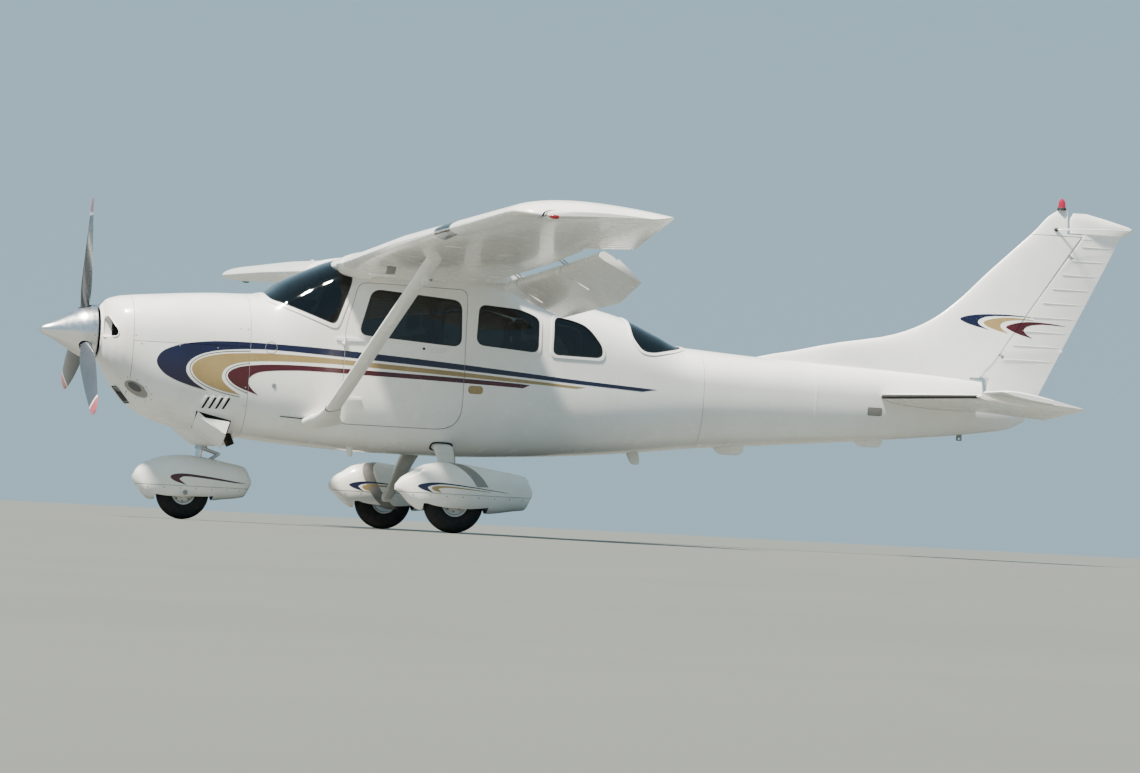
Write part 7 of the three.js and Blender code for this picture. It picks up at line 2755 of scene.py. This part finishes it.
@dataclass
class Livery:
    """Painted stripes as thin coats on the cowling, the fuselage and the doors."""

    coat: float = 0.0007

    def build(self) -> None:
        """Builds the stripes of both sides, parted where panels and doors part."""
        for side in Side:
            self.side(side)

    def side(self, side: Side) -> None:
        """Stripes of one side."""
        span = PORT if side is Side.LEFT else STARBOARD
        doors = [door for door in DOORS if door.side is side]
        for stripe in STRIPES:
            self.parts(stripe.name, stripe.finish, stripe.outline(), side, span, doors, self.coat)
            if stripe.name != "navy":
                self.rims(stripe, side, span)

    def parts(self, name: str, finish: Enamel, outline: np.ndarray, side: Side, span: tuple[float, float],
              doors: Sequence[Door], coat: float) -> None:
        """Coat inside an outline, one piece for the cowling, one for the fuselage and one for each door."""
        shape = prism(outline, *span)
        low, high = outline[:, 0].min() - 0.02, outline[:, 0].max() + 0.02
        for word, start, end in (("cowl", low, FIREWALL - 0.002), ("cabin", FIREWALL + 0.002, high)):
            if end - start < 0.03 or start > high:
                continue
            film = combined(HULL.skin(start, end, coat, 0.0008, 0.02), Join.KEEP, shape)
            if word == "cowl":
                film = combined(film, Join.CUT, box((0, -FAR, COWL_SPLIT - SEAM), (2, FAR, COWL_SPLIT + SEAM)),
                                box((BOWL_END - SEAM, -FAR, -FAR), (BOWL_END + SEAM, FAR, FAR)))
            else:
                film = combined(film, Join.CUT, *[door.hole.prism(span, DOOR_GAP) for door in doors])
            if len(film.polygons):
                dress(f"{name}_stripe_{word}_{side.word}", film, finish, normals=HULL.normals)
        for door in doors:
            film = combined(HULL.skin(max(low, 2.1), 4.4, coat, 0.0008, 0.02), Join.KEEP, shape)
            film = combined(film, Join.KEEP, door.hole.prism(span, -0.0008))
            if len(film.polygons):
                dress(f"{name}_stripe_{door.node}", film, finish, door.node, normals=HULL.normals)

    def rims(self, stripe: Stripe, side: Side, span: tuple[float, float]) -> None:
        """Thin dark outline ahead of the front of a sweep."""
        front = np.array([spot for spot in flowing(stripe.outer, 8) if spot[0] < 1.75])
        outer = self.offset(front, 0.017)
        inner = self.offset(front, 0.012)
        outline = np.concatenate([outer, inner[::-1]])
        film = combined(HULL.skin(0.9, FIREWALL - 0.002, self.coat, 0.0008, 0.02), Join.KEEP, prism(outline, *span))
        dress(f"{stripe.name}_stripe_edge_{side.word}", film, BLACK_PAINT, normals=HULL.normals)

    @staticmethod
    def offset(line: np.ndarray, distance: float) -> np.ndarray:
        """Line moved sideways, ahead of its front."""
        way = np.gradient(line, axis=0)
        way /= np.linalg.norm(way, axis=1)[:, None]
        return line + distance * np.stack([way[:, 1], -way[:, 0]], 1)


# Cabin


@dataclass(frozen=True)
class Seat:
    """Upholstered seat: station of the back's foot, middle buttline, half width and size factor."""

    name: str
    station: float
    middle: float
    half: float
    tall: float = 1.0
    rest: bool = True


SEATS = (
    Seat("seat_front_left", 2.780, -0.270, 0.215), Seat("seat_front_right", 2.780, 0.270, 0.215),
    Seat("seat_middle_left", 3.580, -0.255, 0.205), Seat("seat_middle_right", 3.580, 0.255, 0.205),
    Seat("seat_rear_bench", 4.240, 0.0, 0.385, 0.8, False),
)


@dataclass
class Cabin:
    """Floor, seats, panel with its instruments, control wheels and wall trim."""

    floor: float = -0.560

    def build(self) -> None:
        """Builds all of it."""
        self.carpet()
        self.lining()
        self.panel()
        self.controls()
        for seat in SEATS:
            self.seat(seat)

    def carpet(self) -> None:
        """Carpeted floor over the belly."""
        room = FUSELAGE.room(0.030, 1.60, 4.40)
        body = combined(room, Join.KEEP, box((0, -FAR, -0.70), (9, FAR, self.floor)))
        dress("cabin_floor_carpet", body, CARPET, replaces=("cabin_floor",), sharp=40)

    def lining(self) -> None:
        """Moulded lining inside the walls, with the holes of doors and windows."""
        skin = HULL.skin(1.9, 4.95, -0.0235, 0.0265, 0.06)
        holes = [WINDSHIELD.prism(ACROSS, 0.01), REAR_WINDOW.prism(ACROSS, 0.01), PILOT_DOOR.prism(PORT, 0.006),
                 CARGO_BAY.prism(STARBOARD, 0.006), WINDOW_TWO.prism(PORT, 0.004), WINDOW_THREE.prism(PORT, 0.004),
                 PILOT_WINDOW.prism(STARBOARD, 0.004)]
        body = combined(skin, Join.CUT, *holes, box((1.8, -FAR, -FAR), (5, FAR, self.floor + 0.004)))
        dress("cabin_lining", body, TRIM, sharp=40)
        for door in DOORS:
            card = combined(HULL.skin(2.1, 4.4, -0.0305, 0.0345, 0.04), Join.KEEP, door.hole.prism(door.sides, -0.035))
            card = combined(card, Join.CUT, door.window.prism(door.sides, 0.010))
            dress(f"{door.node}_card", card, TRIM, door.node, sharp=40)

    def panel(self) -> None:
        """Instrument panel with a glare shield, dials, switches and a radio stack, all blank."""
        side = [(1.530, 0.250), (1.640, 0.282), (1.960, 0.322), (1.992, 0.318), (1.985, 0.285), (1.950, 0.262),
                (1.925, -0.060), (1.870, -0.060), (1.850, 0.180), (1.530, 0.200)]
        body = combined(FUSELAGE.room(0.034, 1.53, 2.2), Join.KEEP, prism(rounded(side, 0.010), -FAR, FAR))
        dress("instrument_panel_body", body, PANEL, replaces=("instrument_panel",), sharp=40)
        bezels, faces, marks = [], [], []
        lean = math.atan2(0.025, 0.322)
        way = np.array([math.cos(lean), 0, -math.sin(lean)])

        def spot(y: float, z: float) -> np.ndarray:
            return np.array([1.925 + (z + 0.060) * 0.025 / 0.322, y, z])

        dials = [(y, z, 0.040) for z in (0.205, 0.112) for y in (-0.385, -0.295, -0.205)]
        dials += [(y, 0.205, 0.028) for y in (0.20, 0.27, 0.34)]
        dials += [(y, 0.02, 0.026) for y in (-0.40, -0.34, -0.28)]
        for i, (y, z, radius) in enumerate(dials):
            centre = spot(y, z)
            bezels.append(turned([(-0.002, radius + 0.005), (0.006, radius + 0.004), (0.006, radius), (-0.002, radius),
                                  (-0.002, radius + 0.005)], centre, way, 32))
            faces.append(turned([(-0.001, 0), (-0.001, radius), (0.0012, radius), (0.0012, 0)], centre, way, 32))
            for k in range(10):
                turn = 2 * math.pi * k / 10
                tick = [centre + 0.0016 * way + radius * r * np.array([0, math.cos(turn), math.sin(turn)])
                        for r in (0.80, 0.95)]
                marks.append(tube(tick, 0.0008, 4))
            turn = 0.7 + 1.1 * i
            marks.append(tube([centre + 0.002 * way, centre + 0.002 * way
                               + 0.7 * radius * np.array([0, math.cos(turn), math.sin(turn)])], 0.0012, 4))
        for z in (0.215, 0.165, 0.115, 0.065, 0.015):
            centre = spot(0.02, z)
            bezels.append(box(centre + [-0.004, -0.085, -0.021], centre + [0.009, 0.085, 0.021]))
            faces.append(box(centre + [0.0085, -0.055, -0.012], centre + [0.0105, 0.055, 0.012]))
            for y in (-0.070, 0.070):
                bezels.append(turned([(0.0, 0), (0.0, 0.009), (0.022, 0.008), (0.022, 0)], centre + [0, y, 0], way, 20))
        dress("panel_bezels", gathered(*bezels), PANEL, sharp=40)
        dress("panel_faces", gathered(*faces), FACE, sharp=40)
        dress("panel_marks", gathered(*marks), MARK, sharp=60)
        switches = []
        for k in range(8):
            centre = spot(-0.41 + 0.036 * k, -0.035)
            switches.append(box(centre + [-0.002, -0.010, -0.014], centre + [0.008, 0.010, 0.014]))
        dress("panel_switches", gathered(*switches), MARK, sharp=40)

    def controls(self) -> None:
        """Control wheels with their shafts, throttle knobs and rudder pedals."""
        wheels, shafts = [], []
        for y in (-0.295, 0.275):
            hub = np.array([2.150, y, 0.075])
            shafts.append(tube([(1.930, y, 0.060), hub], 0.011, 16))
            grip = flowing([(0, -0.125, 0.105), (0, -0.150, 0.060), (0, -0.140, 0.000), (0, -0.095, -0.040),
                            (0, 0.0, -0.045), (0, 0.095, -0.040), (0, 0.140, 0.000), (0, 0.150, 0.060),
                            (0, 0.125, 0.105)], 6)
            wheels.append(tube(hub + grip, 0.0125, 16))
            wheels.append(box(hub + [-0.014, -0.040, -0.055], hub + [0.014, 0.040, 0.015]))
        dress("control_wheels", gathered(*wheels), PANEL, sharp=50)
        dress("control_shafts", gathered(*shafts), CHROME, sharp=50)
        knobs = []
        for y, radius in ((0.00, 0.016), (0.045, 0.015), (0.090, 0.015)):
            base = np.array([1.925, y, -0.040])
            knobs.append(tube([base, base + [0.055, 0, 0]], 0.004, 12))
            knobs.append(turned([(0, 0), (0, radius * 0.8), (0.010, radius), (0.020, radius), (0.024, 0)],
                                base + [0.050, 0, 0], (1, 0, 0), 24))
        for y in (-0.36, -0.23, 0.21, 0.34):
            knobs.append(box((1.78, y - 0.040, self.floor + 0.050), (1.80, y + 0.040, self.floor + 0.170)))
            knobs.append(tube([(1.79, y, self.floor + 0.01), (1.79, y, self.floor + 0.10)], 0.008, 12))
        dress("engine_controls_and_pedals", gathered(*knobs), PANEL, sharp=40)

    def seat(self, seat: Seat) -> None:
        """One seat: base, padded cushion and back, and a headrest on posts where it has one."""
        x, y, z = seat.station, seat.middle, self.floor + 0.001
        half, tall = seat.half, seat.tall
        rails = [tube([(x - 0.42, y + s * (half - 0.05), z + 0.012), (x - 0.06, y + s * (half - 0.05), z + 0.012)],
                      0.011, 10) for s in (-1, 1)]
        legs = [tube([(x + dx, y + s * (half - 0.05), z + 0.012),
                      (x + dx + 0.03, y + s * (half - 0.05), z + 0.185 * tall)], 0.012, 12)
                for s in (-1, 1) for dx in (-0.40, -0.10)]
        tray = box((x - 0.44, y - half + 0.02, z + 0.178 * tall), (x - 0.03, y + half - 0.02, z + 0.195 * tall))
        node = seat.name
        dress(f"{node}_frame", gathered(*rails, *legs, tray), STEEL, replaces=(node,), sharp=50)
        cushion = np.array([(x - 0.475, 0.215), (x - 0.47, 0.335), (x - 0.25, 0.345), (x - 0.045, 0.325),
                            (x - 0.02, 0.215)])
        back = np.array([(x - 0.045, 0.300), (x + 0.052, 0.300), (x + 0.160, 0.690), (x + 0.075, 0.700)])
        rest = np.array([(x + 0.085, 0.735), (x + 0.148, 0.735), (x + 0.152, 0.845), (x + 0.095, 0.845)])
        wide = (y - half + 0.004, y + half - 0.004)
        pads = [("cushion", cushion, 0.03, wide, 0.020), ("back", back, 0.03, wide, 0.020)]
        if seat.rest:
            pads.append(("headrest", rest, 0.02, (y - 0.115, y + 0.115), 0.014))
        for word, outline, ease, span, travel in pads:
            shape = np.stack([outline[:, 0], z + outline[:, 1] * tall], 1)
            block = prism(rounded(shape, ease), *span)
            block = puffed(block, travel)
            dress(f"{node}_{word}", block, WOOL, sharp=60)
        if seat.rest:
            posts = [tube([(x + 0.110, y + s * 0.05, z + 0.66), (x + 0.120, y + s * 0.05, z + 0.76)], 0.006, 10)
                     for s in (-1, 1)]
            dress(f"{node}_posts", gathered(*posts), CHROME, sharp=60)


# Edge of a cushion's facets, and how long its cover settles
PAD_VOXEL = 0.010
PAD_FRAMES = 20


def puffed(block: Mesh, travel: float) -> Mesh:
    """Cushion blown up a little by a cloth simulation, as foam fills its cover.

    Args:
        block: Closed block.
        travel: Largest distance that a point may move.

    Returns:
        The padded form.
    """
    holder = bpy.data.objects.new("pad", block)
    bpy.context.scene.collection.objects.link(holder)
    remesh = holder.modifiers.new("remesh", "REMESH")
    remesh.mode = "VOXEL"
    remesh.voxel_size = PAD_VOXEL
    graph = bpy.context.evaluated_depsgraph_get()
    start = bpy.data.meshes.new_from_object(holder.evaluated_get(graph))
    holder.modifiers.clear()
    holder.data = start
    before = np.array([v.co for v in start.vertices])
    cloth = holder.modifiers.new("cloth", "CLOTH")
    cloth.settings.quality = 5
    cloth.settings.use_pressure = True
    cloth.settings.uniform_pressure_force = 4.0
    cloth.settings.effector_weights.gravity = 0.0
    cloth.settings.tension_stiffness = 25
    cloth.settings.shear_stiffness = 12
    cloth.settings.bending_stiffness = 0.6
    for step in range(1, PAD_FRAMES + 1):
        bpy.context.scene.frame_set(step)
    graph = bpy.context.evaluated_depsgraph_get()
    made = bpy.data.meshes.new_from_object(holder.evaluated_get(graph))
    bpy.data.objects.remove(holder)
    bpy.context.scene.frame_set(1)
    after = np.array([v.co for v in made.vertices])
    shift = after - before
    length = np.linalg.norm(shift, axis=1)
    shift *= np.minimum(1, travel / np.maximum(length, 1e-9))[:, None]
    made.vertices.foreach_set("co", (before + shift).ravel())
    made.update()
    return made


# Small fittings


@dataclass
class Fittings:
    """Handles, antennas, plates, rivets and skin laps of the fuselage."""

    def build(self) -> None:
        """Builds all of it."""
        self.handles()
        self.antennas()
        self.plates()
        self.rivets()
        self.seams()

    def handles(self) -> None:
        """Recessed handles and locks of the doors."""
        for door, station, level in ((DOORS[0], 2.915, -0.008), (DOORS[1], 3.230, -0.030)):
            outline = rounded(((station - 0.070, level - 0.024), (station - 0.070, level + 0.024),
                               (station + 0.070, level + 0.020), (station + 0.070, level - 0.020)), 0.018)
            plate = combined(HULL.skin(station - 0.1, station + 0.1, 0.0016, 0.001, 0.01), Join.KEEP,
                             prism(outline, *door.sides))
            dress(f"{door.node}_handle_plate", plate, WHITE, door.node, normals=HULL.normals)
            well = combined(HULL.skin(station - 0.1, station + 0.1, 0.0022, 0.001, 0.01), Join.KEEP,
                            prism(grown(outline, -0.008), *door.sides))
            dress(f"{door.node}_handle_well", well, WHITE_FAIRING, door.node, normals=HULL.normals)
            out = door.side.value
            path = [(x, out * (HULL.side(x, level) + 0.007), level)
                    for x in np.linspace(station - 0.05, station + 0.05, 9)]
            dress(f"{door.node}_handle", tube(path, 0.0085, 14, flat=1.3), WHITE, door.node, sharp=60)
            lock = stud(station - 0.110, level + 0.012, door.side, 0.011, 0.003, 24)
            dress(f"{door.node}_lock", lock, BLADE_GREY, door.node)

    def antennas(self) -> None:
        """Blade antennas below the belly and the tail."""
        shape = superellipse(28, 2.0)

        def blade(start: float, end: float, base: float, tip: float, sweep: float, half: float) -> Mesh:
            rings = []
            for t in np.linspace(0, 1, 9):
                middle = (start + end) / 2 + sweep * t
                run = (end - start) / 2 * (1 - 0.35 * t ** 2)
                size = half * (1 - 0.35 * t)
                if t == 1:
                    run, size = 0.7 * run, 0.4 * size
                rings.append(np.stack([middle + run * shape[:, 0], size * shape[:, 1],
                                       np.full(28, base + t * (tip - base))], 1))
            return loft(np.array(rings))

        blades = [blade(5.25, 5.50, -0.585, -0.650, 0.012, 0.017), blade(6.38, 6.62, -0.468, -0.530, 0.012, 0.014),
                  blade(4.56, 4.66, -0.670, -0.765, 0.030, 0.008)]
        dress("belly_antennas", gathered(*blades), WHITE_FAIRING, sharp=60)
        stub = blade(2.310, 2.360, HULL.bottom(2.33) + 0.020, HULL.bottom(2.33) - 0.047, 0.008, 0.012)
        dress("belly_stub_antenna", moved(stub, Matrix.Translation((0, -0.30, 0))), WHITE_FAIRING,
              sharp=60)

    def plates(self) -> None:
        """Oval plate, fresh-air doors and the grooves low on the cabin sides."""
        outline = rounded(((3.160, -0.312), (3.160, -0.250), (3.275, -0.250), (3.275, -0.312)), 0.030)
        oval = combined(HULL.skin(3.1, 3.35, 0.0016, 0.001, 0.01), Join.KEEP, prism(outline, *PORT))
        dress("oval_plate", oval, TAN, normals=HULL.normals)
        turns = np.linspace(0, 2 * math.pi, 40, endpoint=False)
        rim = np.array([1.655, -0.056]) + 0.045 * np.stack([np.cos(turns), np.sin(turns)], 1)
        bar = rounded(((1.755, -0.558), (1.755, -0.564), (1.930, -0.572), (1.930, -0.564)), 0.003)
        for side, span in ((Side.LEFT, PORT), (Side.RIGHT, STARBOARD)):
            lid = combined(HULL.skin(1.58, 1.73, 0.0012, 0.001, 0.01), Join.KEEP, prism(rim, *span))
            lid = combined(lid, Join.CUT, prism(grown(rim, -0.0035), *span))
            dress(f"fresh_air_door_{side.word}", lid, GREY_BAND, normals=HULL.normals)
            step = combined(HULL.skin(1.72, 1.96, 0.006, 0.001, 0.01), Join.KEEP, prism(bar, *span))
            dress(f"cabin_side_groove_{side.word}", step, BLADE_GREY, normals=HULL.normals)

    def rivets(self) -> None:
        """Rivet rows along the frames and stringers of the cabin and the tail."""
        spots = []

        def on(x: float, z: float, side: int) -> None:
            spots.append((x, side * HULL.side(x, z), z))

        inside = [np.array(hole.corners) for hole in (PILOT_DOOR, WINDOW_TWO, WINDOW_THREE, REAR_WINDOW, WINDSHIELD)]

        def free(x: float, z: float, side: int) -> bool:
            holes = inside + ([np.array(CARGO_BAY.corners)] if side > 0 else [])
            for hole in holes:
                low, high = hole.min(0) - 0.03, hole.max(0) + 0.03
                if low[0] < x < high[0] and low[1] < z < high[1]:
                    return False
            return True

        for side in (-1, 1):
            for x in (1.525, 2.165, 3.165, 3.735, 4.40, 5.025, 5.075, 5.55, 6.05, 6.55, 7.02):
                row = HULL.row(np.array(x))
                top, bottom = row[1], row[2]
                for z in np.arange(bottom + 0.05, top - 0.03, 0.030):
                    if free(x, z, side):
                        on(x, z, side)
            for share in (0.30, 0.58):
                for x in np.arange(1.56, 7.0, 0.032):
                    row = HULL.row(np.array(x))
                    z = row[2] + share * (row[1] - row[2]) * (0.55 if x < 4.4 else 1)
                    if free(x, z, side) and abs(x - 5.05) > 0.03:
                        on(x, z, side)
        spots = np.array(spots)
        dress("fuselage_rivets", domes(spots, HULL.normals(spots), 0.0026, 0.0007), WHITE, sharp=80)

    def seams(self) -> None:
        """Skin laps of the cabin sides and belly."""
        front = combined(HULL.skin(4.320, 4.340, 0.0004, 0.0006, 0.01), Join.CUT, CARGO_BAY.prism(STARBOARD, 0.02))
        bands = gathered(front, HULL.skin(5.980, 6.000, 0.0009, 0.0006, 0.01))
        dress("skin_laps", bands, WHITE, normals=HULL.normals)


FUSELAGE = Fuselage()


# Studio


@dataclass
class Studio:
    """Camera, floor and light."""

    azimuth: float = 14.323
    roll: float = 2.953
    distance: float = 36.0
    height: float = 0.08
    target: tuple[float, float, float] = (-0.211, 0.0, 1.165)
    metre: float = 130.6
    width: int = 1140
    sensor_mm: float = 36.0
    apron: float = 400.0
    sun_way: tuple[float, float, float] = (0.38, 0.20, -0.90)
    sun_energy: float = 15.0
    sun_degrees: float = 6.0
    sky_strength: float = 0.85

    def build(self) -> None:
        """Builds the camera, the floor, the sky and the lamps."""
        self.camera()
        self.floor()
        self.sky()
        self.lamps()

    def camera(self) -> None:
        """Camera near the floor ahead of the port wing, rolled a little."""
        turn, roll = math.radians(self.azimuth), math.radians(self.roll)
        target = Vector(self.target)
        lift = (self.height - target.z) / self.distance
        level = math.sqrt(1 - lift ** 2)
        back = Vector((-math.sin(turn) * level, -math.cos(turn) * level, lift))
        right = (-back).cross(Vector((0, 0, 1))).normalized()
        up = right.cross(-back)
        tilted = math.cos(roll) * right + math.sin(roll) * up
        above = -math.sin(roll) * right + math.cos(roll) * up
        data = bpy.data.cameras.new("camera")
        data.sensor_width = self.sensor_mm
        data.lens = self.metre * self.distance / self.width * self.sensor_mm
        data.clip_end = 2000.0
        holder = bpy.data.objects.new("camera", data)
        rows = Matrix((tilted, above, back)).transposed().to_4x4()
        holder.matrix_world = Matrix.Translation(target + self.distance * back) @ rows
        bpy.context.scene.collection.objects.link(holder)
        bpy.context.scene.camera = holder

    def floor(self) -> None:
        """Large smooth apron of pale sealed concrete."""
        stone = Recipe("sealed_pale_concrete", "#62645F", 0.62)
        stone.tint("#5D5F5A", stone.band(stone.noise(900, 4), 0.3, 0.8))
        mesh = bpy.data.meshes.new("floor")
        corners = [(x * self.apron, y * self.apron, -0.001) for x, y in ((-1, -1), (1, -1), (1, 1), (-1, 1))]
        mesh.from_pydata(corners, [], [(0, 1, 2, 3)])
        mesh.materials.append(stone.material)
        floor = bpy.data.objects.new("floor", mesh)
        bpy.context.scene.collection.objects.link(floor)

    def sky(self) -> None:
        """Pale even sky, a little brighter overhead."""
        world = bpy.data.worlds.new("overcast_sky")
        world.use_nodes = True
        tree = world.node_tree
        back = tree.nodes["Background"]
        place = add_node(tree, "ShaderNodeTexCoord").outputs["Generated"]
        split = add_node(tree, "ShaderNodeSeparateXYZ", Vector=place)
        share = add_node(tree, "ShaderNodeMapRange", {"From Min": -0.02, "From Max": 0.6}, Value=split.outputs["Z"])
        mix = add_node(tree, "ShaderNodeMix", {"data_type": "RGBA"})
        mix.inputs[6].default_value = linear("#B8DBEA")
        mix.inputs[7].default_value = linear("#A2CBE4")
        tree.links.new(share.outputs["Result"], mix.inputs[0])
        tree.links.new(mix.outputs[2], back.inputs["Color"])
        back.inputs["Strength"].default_value = self.sky_strength
        bpy.context.scene.world = world

    def lamps(self) -> None:
        """Sun from ahead and to port, above the wing."""
        data = bpy.data.lights.new("sun", "SUN")
        data.energy = self.sun_energy
        data.angle = math.radians(self.sun_degrees)
        data.color = linear("#FFF6E8")[:3]
        holder = bpy.data.objects.new("sun", data)
        holder.rotation_euler = Vector(self.sun_way).to_track_quat("-Z", "Y").to_euler()
        bpy.context.scene.collection.objects.link(holder)


# Plain finishes for nodes that stay as they are packed
LEFT_AS_PACKED = {"engine_block": CAST}


def main() -> None:
    """Builds every part and the studio."""
    logging.basicConfig(level=logging.INFO, format="%(message)s")
    FUSELAGE.build()
    Livery().build()
    Cabin().build()
    Fittings().build()
    Cowling().build()
    Wings().build()
    Tail().build()
    Propeller().build()
    MainGear().build()
    NOSE_GEAR.build()
    for node, finish in LEFT_AS_PACKED.items():
        repaint(node, finish)
    Studio().build()


if __name__ == "__main__":
    main()
